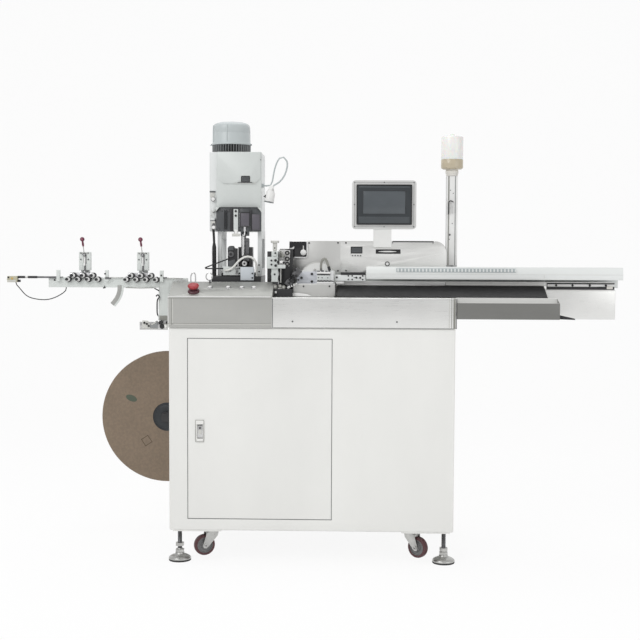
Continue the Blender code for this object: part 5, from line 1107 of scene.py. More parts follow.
def stop_button():
    place = console_place(*STOP_PLACE)
    head = Shape()
    mushroom = [
        (0.0106, 0.0145), (0.0150, 0.0150), (0.0172, 0.0170), (0.0192, 0.0205), (0.0199, 0.0228),
        (0.0197, 0.0250), (0.0183, 0.0272), (0.0150, 0.0288), (0.0100, 0.0297), (0, 0.0300),
    ]
    head.turned(mushroom, place, CONSOLE_NORMAL, "red_plastic", 48)
    for turn in range(3):
        spin = Matrix.Rotation(math.radians(120 * turn), 3, CONSOLE_NORMAL)
        ridge = place + CONSOLE_NORMAL * 0.0289 + spin @ Vector((0.011, 0, 0))
        basis = spin @ Matrix.Rotation(CONSOLE_SLOPE, 3, "X")
        head.box(ridge - Vector((0.0035, 0.0010, 0.0006)), ridge + Vector((0.0035, 0.0010, 0.0006)), "red_plastic", basis)
    head.rod(place, place + CONSOLE_NORMAL * 0.0146, 0.0106, "collar_red", 32)
    head.done("stop_button_head", "emergency_stop", 0.0003, ("emergency_stop_button",))
    collar = Shape()
    ring = [
        (0.0117, 0.0002), (0.0205, 0.0002), (0.0207, 0.0030), (0.0196, 0.0050), (0.0172, 0.0068),
        (0.0168, 0.0092), (0.0117, 0.0094),
    ]
    collar.turned(ring, place, CONSOLE_NORMAL, "collar_red", 48, closed=True)
    collar.done("stop_button_collar", "base", 0.0002)


def push_buttons():
    for number, x in enumerate(BUTTON_XS, 1):
        place = console_place(x, BUTTON_UP)
        ring = Shape()
        bezel = [
            (0.0073, 0.0020), (0.0073, 0.0001), (0.0106, 0.0001), (0.0106, 0.0012), (0.0097, 0.0026),
            (0.0080, 0.0030),
        ]
        ring.turned(bezel, place, CONSOLE_NORMAL, "steel", 36, closed=True)
        ring.done("button_ring_" + str(number), "base", 0)
        cap = Shape()
        dome = [(0.0066, 0.0), (0.0066, 0.0041), (0.0058, 0.0050), (0.0030, 0.0056), (0, 0.0057)]
        cap.turned(dome, place, CONSOLE_NORMAL, "panel_white", 32)
        cap.done("button_cap_" + str(number), "push_button_" + str(number), 0)


def u_clips():
    """A bent wire clip and a ring, which stand on the ridge behind the stop button."""
    clips = Shape()
    foot, y = 0.9885, 0.0890
    outline = [(-0.4335, foot), (-0.4345, 1.010), (-0.4310, 1.022), (-0.4250, 1.026), (-0.4190, 1.021), (-0.4175, 1.008), (-0.4180, foot)]
    clips.tube(smooth_route([(x, y, z) for x, z in outline], 0.003), 0.0022, "steel", 10)
    ring = [
        (-0.3690 + 0.0115 * math.cos(math.radians(a)), y + 0.004, 1.0125 + 0.0135 * math.sin(math.radians(a)))
        for a in range(-250, 71, 20)
    ]
    clips.tube(ring, 0.0021, "steel", 10)
    clips.rod((-0.3665, y + 0.004, foot + 0.0014), (-0.3665, y + 0.004, 1.0005), 0.0034, "dark_steel", 12)
    clips.done("ridge_clips", "base", 0)


stop_button()
push_buttons()
u_clips()
print("console slope", round(math.degrees(CONSOLE_SLOPE), 1), "degrees")

# %% [markdown]
# ## Press details
# The guide housing at the foot of the head is dark, with a white scale bar, a framed panel and
# a black band. The applicator below holds a white block, a pale block and a steel rod.

# %% Guide housing
def guide_housing():
    face, back = 0.1340, 0.1401
    trim = Shape()
    trim.box((-0.2860, face - 0.0032, 1.1760), (-0.2700, back, 1.2530), "press_white")
    trim.box((-0.2985, face - 0.0022, 1.1760), (-0.2870, back, 1.2560), "black_plastic")
    trim.box((-0.2702, face + 0.0004, 1.1890), (-0.2222, face + 0.0012, 1.2440), "charcoal")
    for x in (-0.3190, -0.3120):
        trim.box((x - 0.0006, face - 0.0010, 1.1800), (x + 0.0006, back, 1.2500), "black_plastic")
    frame = [(-0.2645, 1.1900, -0.2270, 1.1930), (-0.2645, 1.2400, -0.2270, 1.2430),
             (-0.2645, 1.1930, -0.2620, 1.2400), (-0.2295, 1.1930, -0.2270, 1.2400)]
    for left, low, right, high in frame:
        trim.box((left, face - 0.0026, low), (right, face + 0.001, high), "black_plastic")
    trim.box((-0.2615, face - 0.0012, 1.1935), (-0.2300, face + 0.001, 1.2395), "guide_panel")
    trim.box((-0.2200, face - 0.0012, 1.1800), (-0.1925, back, 1.2350), "guide_panel")
    trim.box((-0.2245, face - 0.0020, 1.1760), (-0.2210, back, 1.2500), "black_plastic")
    trim.done("guide_trim", "base", 0.0004)
    screws = [((-0.278, face - 0.0032, z), (0, -1, 0)) for z in (1.246, 1.230)]
    repeat("guide_screws", dark_screw_item(0.0040), screws, "black_plastic")
    corners = [((x, back - 0.0002, 1.1810), (0, -1, 0)) for x in (-0.340, -0.198)]
    corners += [((x, back - 0.0002, 1.2480), (0, -1, 0)) for x in (-0.330, -0.305)]
    repeat("guide_bolts", dark_screw_item(0.0032), corners, "dark_steel")


def dark_screw_item(radius):
    return item_mesh(Shape().cap_screw((0, 0, 0), (0, 0, 1), radius, "black_plastic", False))


moulded("guide_panel", (0.105, 0.098, 0.115), 0.4)
guide_housing()

# %% Ram rod and applicator blocks
def ram_rod():
    rod = Shape()
    rod.rod((-0.2535, 0.1450, 1.0860), (-0.2535, 0.1450, 1.1560), 0.0062, "steel", 24)
    rod.rod((-0.2535, 0.1450, 1.1560), (-0.2535, 0.1450, 1.1640), 0.0080, "steel", 6)
    rod.done("ram_rod", "ram", 0.0003)
    hook = Shape()
    hook.tube(
        smooth_route([(-0.2465, 0.1362, 1.1760), (-0.2465, 0.1340, 1.1640), (-0.2475, 0.1325, 1.1600),
                      (-0.2510, 0.1325, 1.1580)], 0.003), 0.0032, "steel", 12)
    hook.rod((-0.2465, 0.1378, 1.1745), (-0.2465, 0.1378, 1.1910), 0.0052, "aluminium", 16)
    hook.done("ram_hook", "ram", 0)


def applicator_blocks():
    pale = Shape()
    pale.box((-0.3236, 0.1343, 1.0166), (-0.2606, 0.1345 + 0.034, 1.0478), "press_white")
    pale.box((-0.3180, 0.1330, 1.0300), (-0.2950, 0.1343, 1.0350), "dark_steel")
    pale.done("applicator_white_block", "base", 0.0008)
    blue = Shape()
    blue.prism(
        [(0.1173, 0.9990), (0.1300, 0.9990), (0.1300, 1.0140), (0.1480, 1.0140), (0.1480, 1.0372),
         (0.1330, 1.0468), (0.1173, 1.0468)],
        "YZ", -0.2597, -0.2121, "pale_blue",
    )
    blue.done("applicator_pale_block", "base", 0.0008)
    spring = []
    for index in range(81):
        angle = 2 * math.pi * index / 16
        spring.append((-0.2745 + 0.0036 * math.cos(angle), 0.1300 + 0.0036 * math.sin(angle), 1.0200 + 0.0240 * index / 80))
    coil = Shape()
    coil.tube(spring, 0.0008, "steel", 6)
    coil.rod((-0.2745, 0.1300, 1.0185), (-0.2745, 0.1300, 1.0455), 0.0018, "dark_steel", 10)
    coil.box((-0.2790, 0.1280, 1.0175), (-0.2700, 0.1345, 1.0200), "steel")
    coil.box((-0.2790, 0.1280, 1.0440), (-0.2700, 0.1345, 1.0460), "steel")
    coil.done("applicator_spring", "base", 0)
    places = [((-0.2655, 0.1343, z), (0, -1, 0)) for z in (1.0420, 1.0234)]
    places += [((-0.2170, 0.1173, z), (0, -1, 0)) for z in (1.0240, 1.0080)]
    places += [((-0.1943, 0.1340, z), (0, -1, 0)) for z in (1.0536, 1.0302)]
    repeat("applicator_screws", dark_screw_item(0.0030), places, "black_plastic")


def applicator_feeder():
    """The dark cylinder and dial of the terminal feed."""
    feeder = Shape()
    feeder.rod((-0.2960, 0.1395, 1.0920), (-0.2960, 0.1320, 1.0920), 0.0105, "dark_steel", 24)
    feeder.rod((-0.2960, 0.1320, 1.0920), (-0.2960, 0.1300, 1.0920), 0.0060, "black_plastic", 6)
    feeder.box((-0.3060, 0.1335, 1.0500), (-0.2790, 0.1400, 1.0700), "charcoal", Matrix.Rotation(math.radians(-18), 3, "Y"))
    feeder.box((-0.3050, 0.1360, 1.1060), (-0.2870, 0.1400, 1.1180), "charcoal")
    feeder.rod((-0.2460, 0.1222, 1.0590), (-0.2460, 0.1190, 1.0590), 0.0088, "steel", 32)
    feeder.rod((-0.2460, 0.1190, 1.0590), (-0.2460, 0.1178, 1.0590), 0.0040, "black_plastic", 16)
    feeder.done("applicator_feeder", "base", 0.0004)
    lead = [
        (-0.300, 0.1405, 1.078), (-0.312, 0.1375, 1.073), (-0.345, 0.128, 1.060), (-0.378, 0.122, 1.047),
        (-0.388, 0.121, 1.042), (-0.376, 0.122, 1.0405), (-0.345, 0.130, 1.0405), (-0.318, 0.140, 1.0405),
    ]
    wire = Shape()
    wire.tube(smooth_route(lead, 0.005), 0.0024, "cable_black", 10)
    wire.done("applicator_lead", "base", 0)


FINISHES["pale_blue_steel"] = FINISHES["aluminium"]
painted("pale_blue", (0.60, 0.64, 0.68), 0.34, 0.00005, 0.05)
ram_rod()
applicator_blocks()
applicator_feeder()
print("press dressed")

# %% [markdown]
# ## Wire feed and blades
# The tower has a white clamp column with black screws, three black guide rollers and a pair of
# knurled wheels. Next to it the blades and a pale plate stand in front of a round guard.

# %% Wire feed
def feed_column():
    column = Shape()
    column.box((-0.1464, 0.0815, 0.9950), (-0.1236, 0.1044, 1.1034), "press_white")
    column.box((-0.1626, 0.0732, 1.0424), (-0.1264, 0.0834, 1.0836), "press_white")
    column.box((-0.1304, 0.0740, 1.0430), (-0.0966, 0.0816, 1.0556), "press_white")
    column.box((-0.1400, 0.0760, 1.0856), (-0.1290, 0.0820, 1.1000), "press_white")
    column.done("feed_clamp", "base", 0.0008)
    places = [
        (-0.1459, 0.0732, 1.0708), (-0.1459, 0.0732, 1.0564), (-0.1322, 0.0760, 1.0970), (-0.1350, 0.0815, 1.0218),
    ]
    large = [(-0.1314, 0.0732, 1.0713), (-0.1307, 0.0732, 1.0529)]
    repeat("feed_screws_large", dark_screw_item(0.0048), [(place, (0, -1, 0)) for place in large], "black_plastic")
    repeat("feed_screws", dark_screw_item(0.0034), [(place, (0, -1, 0)) for place in places], "black_plastic")
    side = Shape()
    side.box((-0.1228, 0.0900, 1.0600), (-0.1130, 0.1150, 1.0700), "steel")
    side.rod((-0.1180, 0.0860, 1.0650), (-0.1180, 0.1200, 1.0650), 0.0040, "dark_steel", 16)
    side.rod((-0.1090, 0.0860, 1.0630), (-0.1090, 0.1200, 1.0630), 0.0030, "steel", 16)
    side.done("feed_side_parts", "base", 0.0003)


def guide_rollers():
    roller = Shape()
    profile = [(0.0030, -0.0075), (0.0078, -0.0075), (0.0080, -0.0055), (0.0062, -0.0030), (0.0062, 0.0030),
               (0.0080, 0.0055), (0.0078, 0.0075), (0.0030, 0.0075)]
    roller.turned(profile, (0, 0, 0), (0, 0, 1), "black_plastic", 32, closed=True)
    places = [((-0.092, 0.1165, z), (0, -1, 0)) for z in (1.0975, 1.0765, 1.0580)]
    repeat("guide_rollers", item_mesh(roller), places, "rubber")
    repeat("guide_roller_screws", screw_item(0.0026), [((x, 0.1090, z), (0, -1, 0)) for (x, _, z), _ in places], "zinc")


def knurled_wheels():
    for which, z in (("upper", 1.0228), ("lower", 0.9912)):
        ridge = Shape()
        ridge.box((-0.0004, -0.0050, -0.0002), (0.0004, 0.0050, 0.0005), "steel")
        places = []
        for index in range(60):
            angle = 2 * math.pi * index / 60
            out = Vector((math.cos(angle), 0, math.sin(angle)))
            around = Vector((-math.sin(angle), 0, math.cos(angle)))
            turn = Matrix((around, Vector((0, 1, 0)), out)).transposed()
            if turn.determinant() < 0:
                turn = Matrix((-around, Vector((0, 1, 0)), out)).transposed()
            places.append(((-0.135 + 0.0149 * math.cos(angle), 0.112, z + 0.0149 * math.sin(angle)), turn))
        repeat("knurl_" + which, item_mesh(ridge), places, "steel", "feed_wheel_" + which)


def pressure_knob():
    knob = Shape()
    profile = [
        (0.0058, 1.1036), (0.0058, 1.1060), (0.0078, 1.1070), (0.0078, 1.1320), (0.0140, 1.1330), (0.0150, 1.1345),
        (0.0150, 1.1400), (0.0140, 1.1412), (0.0050, 1.1413), (0, 1.1405),
    ]
    knob.turned(profile, (-0.135, 0.093, 0), (0, 0, 1), "knob_grey", 40)
    knob.rod((-0.135, 0.093, 1.0940), (-0.135, 0.093, 1.1040), 0.0038, "steel", 16)
    knob.rod((-0.135, 0.0848, 1.1150), (-0.135, 0.0862, 1.1150), 0.0026, "black_plastic", 12)
    knob.done("pressure_knob", "feed_knob", 0, ("feed_pressure_knob",))


moulded("knob_grey", (0.60, 0.60, 0.57), 0.3)
feed_column()
guide_rollers()
knurled_wheels()
pressure_knob()
print("wire feed dressed")

# %% [markdown]
# ## Control box
# The box is plain sheet with a dark strip along its top fold. Its front carries a glossy window
# with a knob, a dark meter with four keys, a black slot whose white bar is a painted highlight,
# and a push button.

# %% Control box
FRONTWARDS = (0, -1, 0)
BOX_FACE = 0.200
BOX_TOP = 1.1413


def front_screws(name, radius, places, finish="black_plastic", body="base"):
    """Flat black screws that look to the front, at (x, y, z) places."""
    return repeat(name, dark_screw_item(radius), [(place, FRONTWARDS) for place in places], finish, body)


def control_box_front():
    face, top = BOX_FACE, BOX_TOP
    cover = Shape()
    cover.box((-0.0755, face - 0.0008, 0.9760), (0.0966, face + 0.0004, top - 0.0008), "box_shade")
    cover.done("box_side_cover", "base", 0.0003)
    lines = Shape()
    lines.box((0.2850, face - 0.0014, top - 0.0030), (0.4340, face + 0.0030, top + 0.0010), "black_plastic")
    for x in (0.2850, 0.4310):
        lines.box((x, face - 0.0014, top - 0.0080), (x + 0.0022, face + 0.0004, top - 0.0029), "black_plastic")
    corner = [(x, face - 0.0004, z) for x, z in arc((0.4405, top - 0.040), 0.0396, 92, 22, 10)]
    lines.tube(corner, 0.0008, "knob_grey", 8)
    lines.tube([(x, face - 0.0004, top - 0.0006) for x in (-0.0200, 0.0, 0.1380, 0.2140)], 0.0006, "knob_grey", 8)
    lines.done("box_gasket", "base", 0.0002)
    front_screws(
        "box_screws", 0.0030,
        [(0.0880, face - 0.0008, 1.1350), (0.1164, face, 1.1350), (0.0880, face - 0.0008, 1.0330),
         (0.1170, face, 1.0335), (-0.0170, face - 0.0008, 1.1340)], "black_plastic",
    )


def window_pane():
    front = 0.1940
    pane = Shape()
    pane.prism(rounded((-0.0888, 1.0832), (-0.0262, 1.1390), 0.0030), "XZ", front - 0.0010, front + 0.0004, "window_black")
    rim = [(-0.0262, 1.1400), (-0.0222, 1.1400), (-0.0222, 1.0850), (-0.0260, 1.0790), (-0.0700, 1.0790),
           (-0.0700, 1.0832), (-0.0290, 1.0832), (-0.0262, 1.0870)]
    pane.prism(list(reversed(rim)), "XZ", front - 0.0016, BOX_FACE, "panel_white")
    knob = [
        (0.0030, 0), (0.0030, 0.0030), (0.0102, 0.0034), (0.0112, 0.0046), (0.0110, 0.0090),
        (0.0090, 0.0104), (0, 0.0108),
    ]
    pane.turned(knob, (-0.0380, front - 0.0008, 1.0995), FRONTWARDS, "panel_white", 8)
    pane.rod((-0.0380, front - 0.0055, 1.1040), (-0.0380, front - 0.0055, 1.1240), 0.0021, "knob_grey", 12)
    pointer = [(-0.0870, 1.1140), (-0.0780, 1.1165), (-0.0725, 1.1210), (-0.0705, 1.1180), (-0.0740, 1.1110), (-0.0870, 1.1095)]
    pane.prism(list(reversed(pointer)), "XZ", front - 0.0030, front - 0.0008, "panel_white")
    pane.box((-0.0790, front - 0.0022, 1.0900), (-0.0755, front - 0.0008, 1.1075), "knob_grey")
    pane.done("window_pane", "base", 0.0003)


def meter_and_slot():
    parts = Shape()
    face = BOX_FACE - 0.003
    parts.prism(rounded((0.1336, 1.0962), (0.1766, 1.1214), 0.0012), "XZ", face - 0.0014, face + 0.0006, "window_black")
    parts.box((0.1368, face - 0.0018, 1.1000), (0.1734, face - 0.0012, 1.1176), "meter_glass")
    for x in (0.1407, 0.1504, 0.1600, 0.1697):
        parts.prism(rounded((x - 0.0027, 1.0866), (x + 0.0027, 1.0912), 0.0010, 3), "XZ", face - 0.0012, face + 0.0006, "charcoal")
    slot = BOX_FACE - 0.002
    parts.prism(rounded((0.2246, 1.0958), (0.3146, 1.1118), 0.0012), "XZ", slot - 0.0008, slot + 0.0006, "window_black")
    # The white tapered bar on the glossy black plate is a painted highlight: a reflection drawn as a white piece.
    bar = [(0.2345, 1.1032), (0.2560, 1.1016), (0.2780, 1.1016), (0.2995, 1.1032), (0.2995, 1.1044), (0.2780, 1.1062),
           (0.2560, 1.1062), (0.2345, 1.1044)]
    parts.prism(bar, "XZ", slot - 0.0014, slot, "panel_white")
    parts.done("meter_and_slot", "base", 0.0002)
    ring = Shape()
    edge = [(0.0058, 0.0024), (0.0058, 0.0001), (0.0090, 0.0001), (0.0090, 0.0020), (0.0080, 0.0038), (0.0068, 0.0040)]
    ring.turned(edge, (0.267, BOX_FACE, 1.0593), FRONTWARDS, "dark_steel", 36, closed=True)
    ring.done("box_button_ring", "base", 0)
    cap = Shape()
    cap.turned(
        [(0.0053, -0.0030), (0.0053, 0.0046), (0.0044, 0.0056), (0.0020, 0.0060), (0, 0.0061)],
        (0.267, BOX_FACE, 1.0590), FRONTWARDS, "panel_white", 28,
    )
    cap.done("box_button_cap", "box_button", 0, ("box_button",))


brushed("box_shade", (0.68, 0.68, 0.665), 0.36, "Z", 0.05)
moulded("window_black", (0.012, 0.012, 0.014), 0.12)
moulded("meter_glass", (0.075, 0.08, 0.085), 0.15)
control_box_front()
window_pane()
meter_and_slot()
print("control box dressed")

# %% [markdown]
# ## Touch panel
# The bezel stands on a white housing with a thin gasket groove and eight screws. The screen is
# grey glass that is switched off, sunk a little into the bezel.

# %% Touch panel
BEZEL_FRONT = 0.1847


def frame_of_boxes(shape, low, high, line, near, far, finish):
    """Four bars that make a rectangular frame in the XZ plane."""
    (left, bottom), (right, top) = low, high
    shape.box((left, near, bottom), (right, far, bottom + line), finish)
    shape.box((left, near, top - line), (right, far, top), finish)
    shape.box((left, near, bottom + line), (left + line, far, top - line), finish)
    shape.box((right - line, near, bottom + line), (right, far, top - line), finish)
    return shape


def touch_panel_parts():
    front = BEZEL_FRONT
    glass = Shape()
    glass.box((0.1777, front + 0.0006, 1.2398), (0.3302, front + 0.0030, 1.3222), "screen_glass")
    frame_of_boxes(glass, (0.1768, 1.2390), (0.3312, 1.3230), 0.0010, front - 0.0002, front + 0.0020, "black_plastic")
    glass.done("screen_glass", "base", 0.0002)
    rims = Shape()
    frame_of_boxes(rims, (0.1542, 1.2008), (0.3538, 1.3452), 0.0034, front - 0.0012, front + 0.0010, "black_plastic")
    rims.prism(rounded((0.1626, 1.2070), (0.3450, 1.2296), 0.0020), "XZ", front - 0.0007, front + 0.0010, "bezel_grey")
    rims.box((0.1626, front - 0.0006, 1.3336), (0.3450, front + 0.0010, 1.3392), "bezel_grey")
    rims.done("bezel_rims", "base", 0.0006)
    seal = Shape()
    frame_of_boxes(seal, (0.1462, 1.1925), (0.3618, 1.3540), 0.0010, 0.1893, 0.1903, "seal_grey")
    seal.done("panel_seal", "base", 0)
    xs, zs = (0.1468, 0.2540, 0.3612), (1.1935, 1.2735, 1.3535)
    places = [(x, 0.1900, z) for x in xs for z in zs if (x, z) != (xs[1], zs[1])]
    front_screws("panel_screws", 0.0021, places, "dark_steel")


moulded("screen_glass", (0.090, 0.102, 0.112), 0.14)
moulded("bezel_grey", (0.062, 0.071, 0.078), 0.34)
moulded("seal_grey", (0.30, 0.30, 0.30), 0.5)
# Painted light: the neck under the housing gets a brighter white, against the shade of the housing above it.
split_finish("housing_white_lit_neck", (0.86, 0.86, 0.845), (0.65, 0.65, 0.64), 1.1850, "height", 0.38, 0.0)
NODES["touch_panel_housing"].data.materials[0] = FINISHES["housing_white_lit_neck"]
touch_panel_parts()
print("touch panel dressed")

# %% [markdown]
# ## Pole, oil cup and motor
# The pole is an extruded profile: its slots are real, and a hook and small screws hang on it. A
# black line at the hook's left is its painted shadow.
# The cup above is cloudy plastic with a band of oil. The motor's cowl stands on dark fins.

# %% Pole, oil cup and motor
POLE = (0.5025, 0.260)


def turned_part(shape, profile, place, finish, steps=64):
    return shape.turned(profile, place, (0, 0, 1), finish, steps)


def oil_cup():
    x, y = POLE
    cup = Shape()
    turned_part(cup, [
        (0.0395, 1.4405), (0.0400, 1.4425), (0.0402, 1.5180), (0.0390, 1.5225), (0.0350, 1.5250), (0.0120, 1.5252),
        (0.0100, 1.5262), (0.0080, 1.5325), (0, 1.5333),
    ], (x, y, 0), "cup_white")
    turned_part(cup, [
        (0.0300, 1.4040), (0.0340, 1.4048), (0.0398, 1.4090), (0.0403, 1.4110), (0.0403, 1.4385), (0.0393, 1.4402),
        (0, 1.4402),
    ], (x, y, 0), "cup_oil")
    turned_part(cup, [
        (0.0205, 1.3804), (0.0220, 1.3830), (0.0220, 1.3885), (0.0240, 1.3900), (0.0240, 1.3990), (0.0222, 1.4005),
        (0.0222, 1.4042), (0, 1.4042),
    ], (x, y, 0), "cup_collar")
    cup.done("oil_cup", "base", 0, ("oil_reservoir",))


def pole_fittings():
    x, front = POLE[0], POLE[1] - 0.020
    # The black line drawn here, left of the pole's light hook, is the hook's painted shadow.
    hook = Shape()
    low = front - 0.0060
    route = [(x + 0.0040, front + 0.0005, 1.2855), (x + 0.0015, low, 1.2868), (x - 0.0060, low, 1.2897), (x - 0.0105, low, 1.2868),
             (x - 0.0122, low, 1.2780), (x - 0.0125, low, 1.2400)]
    hook.tube(smooth_route(route, 0.003), 0.0019, "black_plastic", 10)
    hook.done("pole_hook", "base", 0)
    places = [(x - 0.0065, front, 1.3281), (x + 0.0040, front, 1.3169), (x + 0.0012, front, 1.2073)]
    front_screws("pole_screws", 0.0018, places, "dark_steel")
    clips = Shape()
    clips.rod((x - 0.0075, front + 0.001, 1.1662), (x - 0.0075, front - 0.003, 1.1662), 0.0034, "dark_steel", 14)
    clips.rod((x - 0.0090, front + 0.001, 1.1496), (x - 0.0090, front - 0.002, 1.1496), 0.0018, "dark_steel", 12)
    clips.done("pole_clips", "base", 0.0002)


def motor():
    x, y = -0.305, 0.250
    low, top = 1.4593, 1.5743
    cowl = Shape()
    start = low + 0.0300
    turned_part(cowl, [
        (0.0600, start), (0.0705, start), (0.0715, start + 0.0015), (0.0715, start + 0.0055), (0.0702, start + 0.0072),
        (0.0694, start + 0.0100), (0.0690, start + 0.0430), (0.0684, start + 0.0440), (0.0690, start + 0.0450),
        (0.0682, top - 0.0190), (0.0655, top - 0.0125), (0.0590, top - 0.0070), (0.0450, top - 0.0028),
        (0.0250, top - 0.0006), (0, top),
    ], (x, y, 0), "cowl_grey", 96)
    for degrees in (205, 262):
        out = Vector((math.cos(math.radians(degrees)), math.sin(math.radians(degrees)), 0))
        foot = Vector((x, y, start + 0.010)) + out * 0.0697
        basis = Matrix.Rotation(math.radians(degrees), 3, "Z")
        cowl.box(foot - Vector((0.0012, 0.0018, 0)), foot + Vector((0.0012, 0.0018, 0.060)), "cowl_grey", basis)
    cowl.prism(
        [(x - 0.057, top - 0.0120), (x - 0.030, top - 0.0060), (x - 0.032, top - 0.0016), (x - 0.050, top - 0.0050)],
        "XZ", y - 0.020, y + 0.020, "cowl_grey",
    )
    cowl.done("motor_cowl", "base", 0.0003, ("press_motor",))
    core = Shape()
    turned_part(core, [(0.0600, low), (0.0600, start + 0.001)], (x, y, 0), "black_plastic", 64)
    turned_part(core, [(0.0560, low), (0.0700, low), (0.0706, low + 0.001), (0.0706, low + 0.0028), (0.0600, low + 0.0034)], (x, y, 0), "dark_steel", 64)
    core.done("motor_core", "base", 0)
    fin = Shape()
    fin.prism([(-0.0008, 0.0), (0.0008, 0.0), (0.0006, 0.0112), (-0.0006, 0.0112)], "XZ", -0.0132, 0.0132, "cowl_grey")
    places = []
    middle = (low + 0.0034 + start) / 2
    for index in range(44):
        angle = 2 * math.pi * (index + 0.5) / 44
        out = Vector((math.cos(angle), math.sin(angle), 0))
        across = Vector((-math.sin(angle), math.cos(angle), 0))
        basis = Matrix((across, Vector((0, 0, 1)), out)).transposed()
        if basis.determinant() < 0:
            basis = Matrix((-across, Vector((0, 0, 1)), out)).transposed()
        places.append((Vector((x, y, middle)) + out * 0.0590, basis))
    repeat("motor_fins", item_mesh(fin), places, "fin_grey")
    lugs = Shape()
    for degrees in (180, 0):
        out = Vector((math.cos(math.radians(degrees)), 0, 0))
        place = Vector((x, y - 0.004, start + 0.0004)) + out * 0.0725
        lugs.rod(place, place + Vector((0, 0, 0.004)), 0.0022, "dark_steel", 12)
        lugs.box(place - Vector((0.006, 0.004, 0.0020)), place + Vector((0.002, 0.004, 0.0002)), "cowl_grey")
    lugs.done("motor_lugs", "base", 0.0002)


moulded("cup_white", (0.86, 0.86, 0.835), 0.22, Transmission_Weight=0.0, Subsurface_Weight=0.15)
moulded("cup_oil", (0.52, 0.455, 0.335), 0.20)
moulded("cup_collar", (0.72, 0.70, 0.655), 0.3)
oil_cup()
pole_fittings()
motor()
print("pole, cup and motor dressed")

# %% [markdown]
# ## Straightener
# Two banks of rollers stand on the long arm. Each roller is a dark wheel with a white face and an
# eccentric black bolt. One item is copied to all the rollers of a body, so the upper rollers lift
# with their head. Each tower carries a slotted slide, five screws and a lever with a red ball.

# %% Straightener
BANKS = (-0.829, -0.620)
TOWERS = (-0.819, -0.610)
ROLLER_STEP = 0.0355


def disc_item(radius, low, high, finish, edge=0.0006):
    """A disc for repeat(), between two heights over its place."""
    shape = Shape()
    profile = [(radius - edge, low), (radius, low + edge), (radius, high - edge), (radius - edge, high)]
    shape.turned(profile, (0, 0, 0), (0, 0, 1), finish, 32)
    return item_mesh(shape)


def roller_bank(body, label, places):
    """Wheel, face and bolt of every roller that moves with one body."""
    wheels = [((x + 0.0068, 0.1055, z), FRONTWARDS) for x, z in places]
    faces = [((x + 0.0038, 0.1055, z), FRONTWARDS) for x, z in places]
    bolts = [((x + 0.0006, 0.1040, z), FRONTWARDS) for x, z in places]
    repeat("roller_wheels_" + label, disc_item(0.0104, -0.0120, 0.0, "black_paint", 0.0012), wheels, "black_paint", body)
    repeat("roller_faces_" + label, disc_item(0.0080, 0.0, 0.0014, "panel_white"), faces, "panel_white", body)
    repeat("roller_bolts_" + label, disc_item(0.0051, 0.0, 0.0090, "black_plastic"), bolts, "black_plastic", body)


def tower_fronts():
    plates = Shape()
    dark = Shape()
    screws = []
    for x in TOWERS:
        plates.box((x - 0.0020, 0.1106, 1.0540), (x + 0.0030, 0.1122, 1.0880), "panel_white")
        plates.box((x - 0.0165, 0.1112, 1.0350), (x - 0.0080, 0.1121, 1.0600), "press_white")
        plates.box((x + 0.0105, 0.1112, 1.0350), (x + 0.0170, 0.1121, 1.0600), "press_white")
        dark.box((x + 0.0034, 0.1108, 1.0545), (x + 0.0066, 0.1122, 1.0890), "dark_steel")
        dark.box((x - 0.0042, 0.1108, 1.0600), (x - 0.0026, 0.1122, 1.0890), "zinc")
        dark.prism(
            [(x - 0.0010, 1.0540), (x - 0.0018, 1.0290), (x + 0.0048, 1.0290), (x + 0.0040, 1.0540)],
            "XZ", 0.1086, 0.1122, "dark_steel",
        )
        dark.rod((x + 0.0004, 0.1122, 1.0520), (x + 0.0004, 0.1060, 1.0520), 0.0034, "panel_white", 24)
        dark.box((x - 0.0150, 0.1096, 1.0925), (x + 0.0160, 0.1122, 1.0955), "zinc")
        screws += [(x + dx, 0.1112, z) for dx, z in
                   ((-0.0135, 1.0712), (0.0135, 1.0712), (-0.0130, 1.0940), (0.0132, 1.0940), (0.0120, 1.0310))]
    plates.done("tower_plates", "base", 0.0003)
    dark.done("tower_slides", "base", 0.0002)
    front_screws("tower_screws", 0.0025, screws, "dark_steel")


def tower_lever(number, x):
    """Pivot, thin rod, tapered grip and ball of one lever."""
    y = 0.108
    lever = Shape()
    lever.rod((x, 0.1115, 1.088), (x, 0.1050, 1.088), 0.0062, "dark_steel", 28)
    lever.rod((x, 0.1050, 1.088), (x, 0.1036, 1.088), 0.0036, "steel", 6)
    lever.tube([(x - 0.0004, y, 1.0910), (x - 0.0020, y, 1.1040), (x - 0.0038, y, 1.1185)], 0.0016, "zinc", 14)
    grip = [(x - 0.0037, y, 1.1175), (x - 0.0038, y, 1.1182), (x - 0.0046, y, 1.1250), (x - 0.0058, y, 1.1340), (x - 0.0066, y, 1.1400)]
    lever.tube(grip, [0.0018, 0.0034, 0.0040, 0.0034, 0.0032], "dark_red", 20)
    ball = [(0.0082 * math.sin(math.radians(a)), -0.0082 * math.cos(math.radians(a))) for a in range(0, 181, 10)]
    lever.turned(ball, (x - 0.007, y, 1.1432), FRONTWARDS, "dark_red", 32)
    lever.turned([(0.0030, 0.0074), (0.0030, 0.0083), (0.0020, 0.0087), (0, 0.0087)], (x - 0.007, y, 1.1432), FRONTWARDS, "ball_cap", 24)
    node = f"straightener_lever_{number}"
    lever.done(f"lever_{number}", node, 0, (node,))


